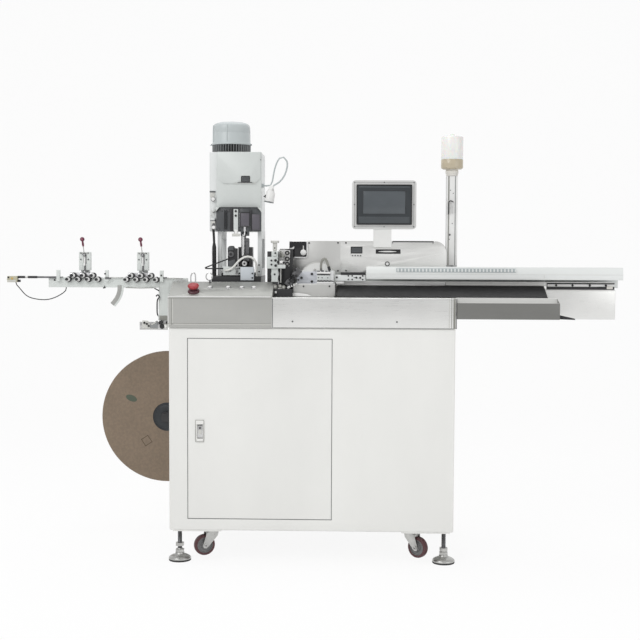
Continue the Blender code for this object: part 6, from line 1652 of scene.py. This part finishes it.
def arm_details():
    parts = Shape()
    parts.tube([(-1.0600, 0.112, 1.0070), (-1.0340, 0.112, 1.0070)], 0.0044, "black_plastic", 20)
    parts.tube([(-1.0345, 0.112, 1.0070), (-1.0230, 0.112, 1.0070)], 0.0037, "zinc", 20)
    parts.tube([(-1.0235, 0.112, 1.0070), (-0.9900, 0.112, 1.0070)], 0.0044, "black_plastic", 20)
    parts.tube([(-0.9905, 0.112, 1.0070), (-0.9210, 0.112, 1.0070)], 0.0035, "dark_steel", 20)
    parts.box((-1.0955, 0.0996, 0.9886), (-1.0606, 0.1244, 1.0104), "beige_plastic")
    parts.box((-1.0940, 0.0990, 0.9900), (-1.0640, 0.0998, 0.9960), "knob_grey")
    parts.rod((-1.0915, 0.0998, 1.0060), (-1.0915, 0.0975, 1.0060), 0.0032, "black_plastic", 20)
    parts.rod((-1.0780, 0.0998, 1.0020), (-1.0780, 0.0985, 1.0020), 0.0042, "amber", 20)
    parts.box((-1.0612, 0.1080, 0.9890), (-1.0510, 0.1160, 0.9975), "black_plastic")
    parts.done("arm_inlet", "base", 0.0006)
    tubes = Shape()
    tubes.tube([(-0.9085, 0.1120, 1.0075), (-0.8965, 0.1120, 1.0080)], 0.0017, "dark_steel", 14)
    tubes.tube([(-0.7335, 0.1120, 1.0070), (-0.6720, 0.1120, 1.0070)], 0.0016, "zinc", 14)
    tubes.tube([(-0.5685, 0.1120, 1.0070), (-0.5475, 0.1120, 1.0070)], 0.0016, "zinc", 14)
    tubes.tube([(-0.5360, 0.1120, 1.0070), (-0.5230, 0.1120, 1.0070)], 0.0026, "dark_steel", 14)
    tubes.tube([(-0.5235, 0.1120, 1.0070), (-0.4650, 0.1120, 1.0040)], 0.0017, "zinc", 14)
    tubes.prism([(-0.7440, 1.0018), (-0.7214, 1.0018), (-0.7225, 1.0050), (-0.7330, 1.0085), (-0.7440, 1.0085)],
                "XZ", 0.1030, 0.1060, "dark_steel")
    # A thin white strip near the lug is a painted highlight.
    tubes.box((-0.4965, 0.1166, 0.9965), (-0.4595, 0.1184, 1.0003), "panel_white")
    tubes.done("wire_tubes", "base", 0.0002)
    front_screws("arm_screws", 0.0030, [(-0.9290, 0.1180, 0.9968), (-0.7445, 0.1060, 1.0203), (-0.5425, 0.1060, 1.0150)])


def chute_and_curl():
    """A dark skin on the chute, the curled rod in black, and small bits under the arm."""
    skin = Shape()
    centre = [(-0.6940, 0.9790), (-0.6950, 0.9600), (-0.6990, 0.9450), (-0.7060, 0.9310), (-0.7160, 0.9180), (-0.7222, 0.9108)]
    sides = []
    for index, (x, z) in enumerate(centre):
        before, after = centre[max(index - 1, 0)], centre[min(index + 1, len(centre) - 1)]
        ahead = Vector((after[0] - before[0], after[1] - before[1])).normalized()
        across = Vector((-ahead.y, ahead.x))
        sides.append((Vector((x, z)) + across * 0.0072, Vector((x, z)) - across * 0.0072))
    outline = [tuple(a) for a, _ in sides] + [tuple(b) for _, b in reversed(sides)]
    skin.prism(outline, "XZ", 0.1150, 0.1162, "chute_grey")
    skin.done("chute_skin", "base", 0.0002)
    curl = Shape()
    knots = [(-0.5520, 0.1250, 0.8640), (-0.5590, 0.1200, 0.8760), (-0.5595, 0.1160, 0.9000), (-0.5580, 0.1140, 0.9260),
             (-0.5510, 0.1120, 0.9380), (-0.5560, 0.1100, 0.9460), (-0.5620, 0.1090, 0.9400)]
    curl.tube(smooth_route(knots, 0.003), 0.0024, "black_plastic", 12)
    curl.rod((-0.5680, 0.1120, 0.9690), (-0.5510, 0.1120, 0.9600), 0.0022, "black_plastic", 12)
    curl.tube([(-0.6720, 0.1150, 0.9705), (-0.6200, 0.1150, 0.9690), (-0.5680, 0.1150, 0.9703)], 0.0012, "lever_grey", 8)
    curl.rod((-0.7530, 0.1120, 0.9690), (-0.7440, 0.1120, 0.9705), 0.0022, "black_plastic", 12)
    curl.rod((-0.7485, 0.1120, 0.9698), (-0.7485, 0.1185, 0.9765), 0.0014, "black_plastic", 12)
    curl.done("curled_rod", "base", 0)


def guide_skin():
    """Rollers, wedge, screws and rail of the terminal guide."""
    near = 0.1020
    parts = Shape()
    parts.prism([(-0.6120, 0.8262), (-0.5830, 0.8262), (-0.5830, 0.8400), (-0.5900, 0.8530), (-0.6100, 0.8546)], "XZ", near, 0.1036, "knob_grey")
    parts.prism([(-0.5830, 0.8380), (-0.5600, 0.8530), (-0.5548, 0.8530), (-0.5548, 0.8262), (-0.5800, 0.8262)], "XZ", near, 0.1036, "fin_grey")
    parts.prism([(-0.5800, 0.8395), (-0.5610, 0.8515), (-0.5600, 0.8470), (-0.5760, 0.8370)], "XZ", near - 0.0010, near + 0.0004, "knob_grey")
    parts.box((-0.6193, near, 0.8232), (-0.5546, 0.1036, 0.8262), "zinc")
    parts.rod((-0.5435, near - 0.0100, 0.8470), (-0.5435, near + 0.0016, 0.8470), 0.0072, "black_plastic", 32)
    parts.rod((-0.5390, near - 0.0060, 0.8330), (-0.5390, near + 0.0016, 0.8330), 0.0088, "black_plastic", 32)
    parts.rod((-0.5276, near - 0.0040, 0.8340), (-0.5276, near + 0.0016, 0.8340), 0.0082, "knob_grey", 32)
    parts.rod((-0.5276, near - 0.0050, 0.8340), (-0.5276, near - 0.0036, 0.8340), 0.0056, "panel_white", 24)
    parts.rod((-0.5225, near - 0.0040, 0.8475), (-0.5225, near + 0.0016, 0.8475), 0.0044, "black_plastic", 20)
    parts.box((-0.5490, 0.1030, 0.8560), (-0.5190, 0.1045, 0.8715), "lever_grey")
    parts.done("guide_skin", "base", 0.0003)
    front_screws("guide_screws", 0.0038, [(-0.6031, near, 0.8455), (-0.5941, near, 0.8419), (-0.5875, near, 0.8345)])


painted("arm_white", (0.66, 0.69, 0.67), 0.36, 0.00006, 0.05)
moulded("ball_cap", (0.30, 0.10, 0.14), 0.25)
NODES["straightener_arm"].data.materials[0] = FINISHES["arm_white"]
lower = [(bank + (index - 1.5) * ROLLER_STEP, 1.0000) for bank in BANKS for index in range(4)]
roller_bank("base", "lower", lower)
for number, bank in enumerate(BANKS, 1):
    upper = [(bank + (index - 1) * ROLLER_STEP, 1.0140) for index in range(3)]
    roller_bank(f"straightener_head_{number}", f"upper_{number}", upper)
tower_fronts()
for number, x in enumerate(TOWERS, 1):
    tower_lever(number, x)
painted("chute_grey", (0.36, 0.36, 0.345), 0.4, 0.00006, 0.05)
arm_details()
chute_and_curl()
guide_skin()
print("straightener dressed")

# %% [markdown]
# ## Transfer and carriage
# A pale plate with black screws stands before the round guard. The gripper is a stack of light
# and dark blocks with wavy joints, under a grey toggle lever; it all swings with its body. The
# carriage face has two rows of small holes.

# %% Transfer and carriage
def wavy(left, right, height, wave, count):
    """Points of a wavy line, from left to right."""
    steps = count * 6
    return [
        (left + (right - left) * index / steps, height + wave * math.sin(2 * math.pi * count * index / steps))
        for index in range(steps + 1)
    ]


def transfer_plate():
    plate = Shape()
    outline = [(-0.0589, 0.9864), (0.0120, 0.9864), (0.0169, 0.9910), (0.0169, 1.0310), (-0.0589, 1.0310)]
    plate.prism(outline, "XZ", 0.1440, 0.1500, "plate_blue")
    plate.box((-0.0560, 0.1424, 0.9900), (-0.0180, 0.1442, 1.0020), "plate_blue")
    plate.done("transfer_plate", "base", 0.0006)
    rim = Shape()
    ring = arc((0.0170, 0.9963), 0.0686, 175, 35, 30)
    rim.tube([(x, 0.1498, z) for x, z in ring], 0.0013, "knob_grey", 8)
    rim.rod((0.0052, 0.1500, 1.0370), (0.0052, 0.1462, 1.0370), 0.0046, "zinc", 24)
    rim.box((-0.0640, 0.1440, 1.0300), (-0.0585, 0.1500, 1.0420), "black_paint")
    rim.done("guard_rim", "base", 0.0003)
    front_screws("transfer_screws_small", 0.0030, [(-0.0531, 0.1440, 1.0170), (-0.0530, 0.1424, 1.0004), (-0.0330, 0.0980, 0.9794),
                                                   (0.0592, 0.0980, 0.9799)])
    front_screws("transfer_screws_large", 0.0046, [(-0.0422, 0.1440, 1.0084), (-0.0049, 0.1440, 1.0223), (-0.0048, 0.1440, 0.9953)])


def gripper_parts():
    """Light blocks with dark joints between them, on the front of the gripper."""
    front = 0.0996
    light = Shape()
    light.prism(rounded((0.0150, 1.0248), (0.0622, 1.0312), 0.0016, 3), "XZ", front - 0.0016, 0.1034, "panel_white")
    light.prism(rounded((0.0146, 1.0024), (0.0610, 1.0182), 0.0012, 3), "XZ", front, 0.1034, "press_white")
    light.prism(rounded((0.0146, 0.9892), (0.0738, 0.9946), 0.0012, 3), "XZ", front - 0.0016, 0.1034, "panel_white")
    light.done("gripper_blocks", "gripper", 0.0003)
    dark = Shape()
    for height, end in ((1.0214, 0.0622), (0.9983, 0.0730)):
        low = wavy(0.0150, end, height - 0.0016, 0.0007, 5)
        high = wavy(0.0150, end, height + 0.0016, 0.0007, 5)
        dark.prism(low + list(reversed(high)), "XZ", front + 0.0006, 0.1034, "black_plastic")
    for left, right, top in ((0.0150, 0.0250, 1.0352), (0.0290, 0.0390, 1.0368), (0.0440, 0.0520, 1.0350), (0.0550, 0.0620, 1.0346)):
        dark.box((left, front + 0.0006, 1.0306), (right, 0.1034, top), "charcoal")
    dark.box((0.0150, front + 0.0014, 0.9886), (0.0738, 0.1034, 0.9894), "black_plastic")
    dark.done("gripper_joints", "gripper", 0.0002)
    front_screws("gripper_screws", 0.0020, [(0.0200, front, 1.0102), (0.0330, front, 1.0102), (0.0530, front, 1.0102)], "dark_steel", "gripper")


def toggle_lever():
    """A grey bent handle over the gripper, with a black end."""
    knots = [(0.0290, 1.0340), (0.0285, 1.0547), (0.0330, 1.0727), (0.0420, 1.0777), (0.0500, 1.0667), (0.0575, 1.0400)]
    route = smooth_route([(x, 0.1120, z) for x, z in knots], 0.003)
    handle = Shape()
    handle.tube(route, 0.0043, "lever_grey", 20)
    handle.rod((0.0290, 0.1010, 1.0400), (0.0290, 0.1100, 1.0400), 0.0036, "dark_steel", 20)
    handle.tube([(0.0552, 0.1120, 1.0500), (0.0600, 0.1120, 1.0352)], 0.0052, "black_plastic", 16)
    handle.done("toggle_lever", "gripper", 0.0002)


def carriage_parts():
    face = 0.1160
    small = [(x, face, z) for z in (1.0171, 1.0040) for x in (0.1261, 0.1398, 0.1775)]
    front_screws("carriage_holes", 0.0027, small, "black_plastic", "carriage")
    front_screws("carriage_screws", 0.0036, [(0.1547, face, 1.0109), (0.1686, face, 1.0102), (0.0850, face, 1.0115)], "black_plastic", "carriage")
    trim = Shape()
    trim.box((0.1449, face - 0.0006, 1.0102), (0.1509, face + 0.0004, 1.0122), "black_plastic")
    trim.box((0.0985, face - 0.0010, 1.0205), (0.1876, face + 0.0120, 1.0296), "black_plastic")
    trim.box((0.0785, face - 0.0012, 0.9890), (0.1100, face + 0.0004, 0.9965), "panel_white")
    trim.box((0.0785, face - 0.0008, 0.9972), (0.1100, face + 0.0004, 0.9986), "dark_steel")
    trim.done("carriage_trim", "carriage", 0.0003)


painted("plate_blue", (0.72, 0.74, 0.79), 0.34, 0.00005, 0.05)
split_finish("bracket_steel", (0.56, 0.56, 0.545), (0.80, 0.805, 0.79), 0.9866, "height", 0.36, 0.0)
NODES["transfer_bracket"].data.materials[0] = FINISHES["bracket_steel"]
NODES["pull_out_carriage"].data.materials[0] = FINISHES["cover_white"]
transfer_plate()
gripper_parts()
toggle_lever()
carriage_parts()
print("transfer dressed")

# %% [markdown]
# ## Press front, lamp and feed plates
# The cover has a small dark display over a seam, with its painted shadow as a dark band under it.
# The strip at its left carries a bar and small air fittings. White corners frame the dark guide
# housing. The lamp gets a white shade with a dark rim, and a white plate stands behind the three
# guide rollers.

# %% Press front, lamp and feed plates
def press_display():
    display = Shape()
    face = 0.1492
    display.prism(rounded((-0.2608, 1.3492), (-0.2288, 1.3728), 0.0016), "XZ", face - 0.0020, face + 0.0010, "window_black")
    display.prism(rounded((-0.2580, 1.3520), (-0.2316, 1.3700), 0.0010), "XZ", face - 0.0026, face - 0.0010, "meter_glass")
    # The dark strip under the display, wider than it, is the display's painted shadow.
    display.prism([(-0.2740, 1.3478), (-0.2190, 1.3478), (-0.2225, 1.3506), (-0.2705, 1.3506)], "XZ", face - 0.0016, face + 0.0008, "charcoal")
    display.box((-0.2860, face - 0.0010, 1.3462), (-0.2070, face + 0.0008, 1.3476), "knob_grey")
    display.done("press_display", "base", 0.0002)
    front_screws("cover_screw", 0.0018, [(-0.1900, face, 1.4300)], "dark_steel")


def strip_fittings():
    """Bar, round fittings and an elbow on the strip at the left of the cover."""
    cheek, ring, elbow = 0.1649, 0.1578, 0.1468
    parts = Shape()
    parts.box((-0.3756, cheek - 0.0030, 1.3146), (-0.3544, cheek, 1.3188), "charcoal")
    plate = rounded((-0.3741, 1.2959), (-0.3559, 1.3141), 0.0010)
    parts.prism(plate, "XZ", cheek - 0.0010, cheek, "knob_grey")
    parts.rod((-0.3622, ring, 1.2891), (-0.3622, ring - 0.0020, 1.2891), 0.0082, "dark_steel", 32)
    parts.rod((-0.3622, ring - 0.0020, 1.2896), (-0.3622, ring - 0.0040, 1.2896), 0.0066, "panel_white", 32)
    parts.rod((-0.3620, cheek, 1.2473), (-0.3620, cheek - 0.0060, 1.2473), 0.0072, "knob_grey", 28)
    parts.rod((-0.3605, cheek - 0.0060, 1.2445), (-0.3605, cheek - 0.0068, 1.2445), 0.0040, "dark_steel", 20)
    parts.rod((-0.3711, cheek, 1.2309), (-0.3711, cheek - 0.0020, 1.2309), 0.0022, "knob_grey", 14)
    parts.box((-0.3720, elbow - 0.0020, 1.2109), (-0.3531, cheek, 1.2134), "charcoal")
    parts.box((-0.3669, elbow - 0.0050, 1.1963), (-0.3539, elbow, 1.2104), "knob_grey")
    parts.rod((-0.3589, elbow, 1.1883), (-0.3589, elbow - 0.0060, 1.1883), 0.0064, "panel_white", 28)
    parts.rod((-0.3589, elbow - 0.0048, 1.1988), (-0.3589, elbow - 0.0060, 1.1988), 0.0050, "dark_steel", 20)
    parts.done("strip_fittings", "base", 0.0003)
    corners = Shape()
    front, back = 0.1326, 0.1650
    corners.prism([(-0.3490, 1.2440), (-0.3365, 1.2597), (-0.3490, 1.2597)], "XZ", front, back, "press_white")
    corners.prism([(-0.1882, 1.2440), (-0.1882, 1.2597), (-0.2010, 1.2597)], "XZ", front, back, "press_white")
    corners.tube([(-0.3492, front, 1.2436), (-0.3366, front, 1.2592), (-0.2008, front, 1.2592), (-0.1884, front, 1.2436)], 0.0011, "black_plastic", 8)
    corners.done("opening_corners", "base", 0.0002)
    tee = Shape()
    tee.box((-0.2828, 0.1290, 1.1630), (-0.2714, 0.1338, 1.1805), "panel_white")
    tee.box((-0.2915, 0.1280, 1.1556), (-0.2640, 0.1338, 1.1660), "knob_grey")
    tee.done("guide_tee", "base", 0.0005)


def lamp_shade():
    top = Vector((-0.1515, 0.163, 1.335))
    way = (Vector((-0.010, -0.004, -0.056))).normalized()
    shade = Shape()
    shade.turned([
        (0.0040, -0.0050), (0.0060, -0.0040), (0.0086, 0.0010), (0.0105, 0.0120), (0.0168, 0.0220), (0.0174, 0.0440),
        (0.0176, 0.0560), (0.0166, 0.0560), (0.0164, 0.0500), (0.0150, 0.0500), (0.0040, 0.0460),
    ], top, way, "panel_white", 48, closed=True)
    shade.turned([(0.0150, 0.0552), (0.0179, 0.0552), (0.0179, 0.0572), (0.0168, 0.0574), (0.0150, 0.0560)], top, way, "dark_steel", 48, closed=True)
    shade.turned([(0.0105, 0.0120), (0.0111, 0.0124), (0.0111, 0.0134), (0.0108, 0.0138)], top, way, "knob_grey", 32, closed=True)
    shade.prism([(-0.1806, 1.2998), (-0.1712, 1.3062), (-0.1700, 1.2915)], "XZ", 0.1500, 0.1560, "black_plastic")
    shade.done("lamp_shade", "base", 0.0002)


def feed_plates():
    plate = Shape()
    outline = [(-0.1230, 1.0500), (-0.0850, 1.0500), (-0.0845, 1.0660), (-0.0825, 1.1062), (-0.1030, 1.1098), (-0.1230, 1.1090)]
    plate.prism(outline, "XZ", 0.1228, 0.1238, "panel_white")
    plate.box((-0.1236, 0.0760, 1.0484), (-0.0963, 0.0816, 1.0560), "panel_white")
    plate.box((-0.1180, 0.0780, 1.0610), (-0.1030, 0.0840, 1.0700), "panel_white")
    plate.box((-0.1164, 0.0960, 0.9915), (-0.1124, 0.1000, 1.0460), "knob_grey")
    plate.box((-0.1338, 0.0688, 0.9549), (-0.1269, 0.0702, 0.9626), "panel_white")
    plate.box((-0.1164, 0.0990, 1.0420), (-0.1124, 0.1251, 1.0460), "knob_grey")
    plate.done("feed_plates", "base", 0.0006)
    dark = Shape()
    dark.rod((-0.1216, 0.0775, 1.0655), (-0.1216, 0.0850, 1.0655), 0.0050, "black_plastic", 24)
    dark.rod((-0.1030, 0.0775, 1.0640), (-0.1030, 0.0850, 1.0640), 0.0042, "black_plastic", 24)
    dark.rod((-0.1070, 0.0960, 1.0880), (-0.1070, 0.1230, 1.0880), 0.0048, "lever_grey", 24)
    dark.rod((-0.1120, 0.1180, 1.0985), (-0.1120, 0.1230, 1.0985), 0.0036, "knob_grey", 20)
    dark.box((-0.1190, 0.1190, 1.0820), (-0.1140, 0.1230, 1.1040), "lever_grey")
    dark.done("feed_fittings", "base", 0.0003)
    wheels = Shape()
    for x, z, radius in ((-0.1345, 0.9770, 0.0090), (-0.1160, 0.9800, 0.0062), (-0.1035, 0.9760, 0.0070)):
        wheels.rod((x, 0.0800, z), (x, 0.0900, z), radius, "lever_grey", 32)
        wheels.rod((x, 0.0790, z), (x, 0.0800, z), radius * 0.45, "knob_grey", 20)
    wheels.box((-0.1420, 0.0830, 0.9700), (-0.0990, 0.0900, 0.9735), "knob_grey")
    wheels.done("feed_gears", "base", 0.0003)
    blades = Shape()
    back = 0.0979
    blades.rod((-0.0853, 0.0945, 0.9898), (-0.0598, 0.0945, 1.0153), 0.0022, "black_plastic", 12)
    for step in range(4):
        lift = 0.0085 * step
        low, high = (-0.0905 + lift, 0.0850, 0.9880 + lift), (-0.0800 + lift, back, 0.9915 + lift)
        blades.box(low, high, "black_plastic", Matrix.Rotation(math.radians(38), 3, "Y"))
    blades.box((-0.0905, 0.0840, 0.9720), (-0.0800, back, 0.9800), "panel_white", Matrix.Rotation(math.radians(-30), 3, "Y"))
    for x, z in ((-0.0745, 0.9800), (-0.0665, 0.9840), (-0.0585, 0.9890)):
        low, high = (x - 0.0022, 0.0850, z - 0.0030), (x + 0.0022, back, z + 0.0030)
        blades.box(low, high, "panel_white", Matrix.Rotation(math.radians(-30), 3, "Y"))
    blades.rod((-0.0640, 0.0900, 1.0390), (-0.0640, 0.0980, 1.0390), 0.0046, "black_plastic", 20)
    blades.done("blade_stack", "base", 0.0003)
    tongue = Shape()
    tongue.prism([(-0.0915, 0.9446), (-0.0905, 0.9540), (-0.0800, 0.9570), (-0.0500, 0.9560), (-0.0200, 0.9520), (-0.0020, 0.9446)],
                 "XZ", 0.0860, 0.0900, "panel_white")
    tongue.done("feed_tongue", "base", 0.0008)


press_display()
strip_fittings()
lamp_shade()
feed_plates()
print("press front dressed")

# %% [markdown]
# ## Rail cover, sill and recess
# A strip of fine ribs runs along the cover. Under it lies a bright sill with a seam, and at the
# right end a dark recess shows a rail with its screws.

# %% Rail cover, sill and recess
def vent_strip():
    face = 0.1100
    strip = Shape()
    strip.box((0.2968, face - 0.0004, 1.0316), (0.7209, face + 0.0006, 1.0452), "vent_blue")
    strip.done("vent_strip", "base", 0.0002)
    rib = Shape()
    rib.box((-0.0028, -0.0052, 0.0), (0.0028, 0.0052, 0.0012), "cover_white")
    turn = Matrix(((1, 0, 0), (0, 0, -1), (0, 1, 0)))
    places = [(Vector((0.3030 + 0.01262 * index, face - 0.0003, 1.0384)), turn) for index in range(34)]
    repeat("vent_ribs", item_mesh(rib), places, "cover_white")


def cover_details():
    face = 0.1100
    parts = Shape()
    # Thin darker strips along the cover's creases are painted shade.
    parts.box((0.1905, face - 0.0003, 1.0240), (1.0995, face + 0.0006, 1.0248), "box_shade")
    parts.box((0.8210, face - 0.0006, 0.9756), (0.8222, face + 0.0006, 1.0236), "box_shade")
    parts.done("cover_crease", "base", 0.0002)
    sill = Shape()
    sill.box((0.0850, 0.1438, 0.9823), (0.4732, 0.1449, 0.9950), "panel_white")
    sill.box((0.4732, 0.1438, 0.9823), (0.4748, 0.1450, 0.9952), "black_plastic")
    sill.box((0.4748, 0.1440, 0.9823), (0.8330, 0.1449, 0.9950), "sill_grey")
    sill.done("sill_strip", "base", 0.0002)


def rail_recess():
    recess = Shape()
    front = 0.1436
    recess.box((0.8350, front, 0.9706), (1.0764, 0.1449, 0.9952), "black_plastic")
    recess.box((0.8381, front - 0.0010, 0.9819), (1.0764, front + 0.0004, 0.9903), "panel_white")
    recess.box((0.8381, front - 0.0014, 0.9839), (0.9168, front + 0.0004, 0.9853), "knob_grey")
    recess.box((1.0197, front - 0.0016, 0.9708), (1.0488, front + 0.0004, 0.9821), "black_plastic")
    recess.box((1.0488, front - 0.0016, 0.9734), (1.0703, front + 0.0004, 0.9851), "cup_collar")
    recess.done("rail_recess", "base", 0.0003)
    places = [(x, front - 0.0010, 0.9861) for x in (0.8688, 0.9270, 0.9884, 1.0457)]
    front_screws("recess_screws", 0.0040, places)


painted("vent_blue", (0.44, 0.49, 0.50), 0.4, 0.00006, 0.05)
brushed("sill_grey", (0.42, 0.42, 0.41), 0.34, "X", 0.06)
vent_strip()
cover_details()
rail_recess()
print("rail cover dressed")

# %% [markdown]
# ## Table, door and pole lines
# Shade in folds, seams and gaps is painted as thin dark lines, and highlights on folds as bright lines:
# round the door, under the console, at the ends of the skirt and along the slots of the pole. The tray's
# front face is painted darker, as shade.

# %% Table, door and pole lines
def door_lines():
    lines = Shape()
    face = -0.0014
    left, right, low, high = -0.4340, 0.0710, 0.1620, 0.7980
    # Dark lines round the door are painted shade in its gap.
    for x in (left - 0.0016, right + 0.0002):
        lines.box((x, face + 0.0012, low - 0.0016), (x + 0.0014, face + 0.0030, high + 0.0016), "charcoal")
    for z in (low - 0.0016, high + 0.0002):
        lines.box((left - 0.0016, face + 0.0012, z), (right + 0.0016, face + 0.0030, z + 0.0014), "charcoal")
    lines.done("door_gap_lines", "base", 0)
    plate = Shape()
    frame_of_boxes(plate, (-0.4069, 0.4338), (-0.3771, 0.5114), 0.0012, -0.0026, -0.0012, "lever_grey")
    plate.box((-0.4057, -0.0024, 0.4960), (-0.3783, -0.0012, 0.5102), "cabinet_white")
    plate.done("latch_plate", "door", 0.0002)


def latch_key():
    key = Shape()
    key.prism(rounded((-0.3965, 0.4600), (-0.3855, 0.4780), 0.0030), "XZ", -0.0024, -0.0010, "knob_grey")
    key.rod((-0.3910, -0.0010, 0.4830), (-0.3910, -0.0032, 0.4830), 0.0042, "dark_steel", 28)
    key.done("latch_key", "latch_paddle", 0.0002)


def skirt_lines():
    lines = Shape()
    face = -0.0052
    # Dark and grey stripes at the skirt's ends and a dark line along its lower edge are painted shade on its folds.
    lines.box((-0.1375, face, 0.8375), (-0.1357, -0.0038, 0.9400), "charcoal")
    lines.box((0.5022, face, 0.8375), (0.5038, -0.0038, 0.9420), "black_plastic")
    lines.box((0.4920, face + 0.0004, 0.8375), (0.4995, -0.0038, 0.9420), "lever_grey")
    lines.box((0.4850, face + 0.0004, 0.8375), (0.4868, -0.0038, 0.9420), "lever_grey")
    lines.box((0.4765, face + 0.0004, 0.8375), (0.4790, -0.0038, 0.9420), "knob_grey")
    lines.box((-0.1350, face + 0.0006, 0.8372), (0.5036, -0.0038, 0.8384), "charcoal")
    lines.done("skirt_lines", "base", 0)
    front_screws("skirt_screws", 0.0030, [(x, -0.0040, 0.8600) for x in (-0.0671, 0.2963)], "dark_steel")
    edge = Shape()
    edge.box((0.0794, 0.0968, 0.9440), (0.0822, 0.0984, 0.9950), "black_plastic")
    edge.done("bracket_edge", "base", 0)


def console_folds():
    """Painted highlight and shade: bright and dark lines where the console sheet is folded."""
    folds = Shape()
    face = -0.0066
    folds.tube([(-0.5030, -0.0056, 0.9450), (-0.1420, -0.0056, 0.9450)], 0.0014, "panel_white", 10)
    folds.box((-0.5030, face, 0.9375), (-0.1420, -0.0055, 0.9388), "lever_grey")
    folds.box((-0.4900, face, 0.8440), (-0.4885, -0.0055, 0.9380), "lever_grey")
    folds.box((-0.4868, face, 0.8440), (-0.4840, -0.0055, 0.9380), "knob_grey")
    folds.box((-0.5030, face, 0.8500), (-0.1420, -0.0055, 0.8512), "lever_grey")
    folds.box((-0.5030, face, 0.8470), (-0.1420, -0.0055, 0.8496), "knob_grey")
    folds.done("console_folds", "base", 0.0001)


def tray_lines():
    tray = Shape()
    # The black line at the tray's left end is a painted shadow at the skirt's edge.
    tray.box((0.5046, -0.0132, 0.8722), (0.5066, -0.0116, 0.9250), "black_plastic")
    tray.done("tray_lines", "base", 0)
    wedge = Shape()
    wedge.prism([(0.8568, 0.8716), (0.9171, 0.8695), (0.9150, 0.8740), (0.8572, 0.8866)], "XZ", 0.0200, 0.0480, "black_plastic")
    wedge.done("tray_wedge", "base", 0.0004)


def pole_lines():
    lines = Shape()
    face = 0.2392
    # The white sheet over the pole's front is a painted highlight; the grey and zinc strips along its slots are painted
    # shade and sheen.
    lines.box((0.4828, face + 0.0003, 1.0550), (0.5222, 0.2402, 1.3790), "panel_white")
    strips = [
        (0.4876, 0.4908, "lever_grey"),
        (0.4909, 0.4930, "zinc"),
        (0.5120, 0.5136, "zinc"),
        (0.5137, 0.5160, "fin_grey"),
    ]
    for left, right, finish in strips:
        lines.box((left, face, 1.0550), (right, face + 0.0005, 1.3790), finish)
    lines.done("pole_lines", "base", 0)


def sleeve_ribs():
    """Fine ribs round the black sleeve beside the press."""
    route = smooth_route([(-0.3582, 0.1505, 1.0180), (-0.3584, 0.1500, 1.0500), (-0.3584, 0.1500, 1.1100)], 0.003)
    rib = Shape()
    profile = [(0.0068, -0.0006), (0.0079, -0.0004), (0.0079, 0.0004), (0.0068, 0.0006)]
    rib.turned(profile, (0, 0, 0), (0, 0, 1), "black_plastic", 24, closed=True)
    repeat("sleeve_ribs", item_mesh(rib), [(point, (0, 0, 1)) for point in route], "black_plastic")


# Painted shade: the tray's front face gets a darker colour than the faces that look up.
split_finish("tray_metal_shaded_front", (0.20, 0.20, 0.19), (0.66, 0.66, 0.64), 0.4, "slope", 0.4, 0.25)
NODES["catch_tray"].data.materials[0] = FINISHES["tray_metal_shaded_front"]
door_lines()
latch_key()
skirt_lines()
console_folds()
tray_lines()
pole_lines()
sleeve_ribs()
print("table, door and pole dressed")
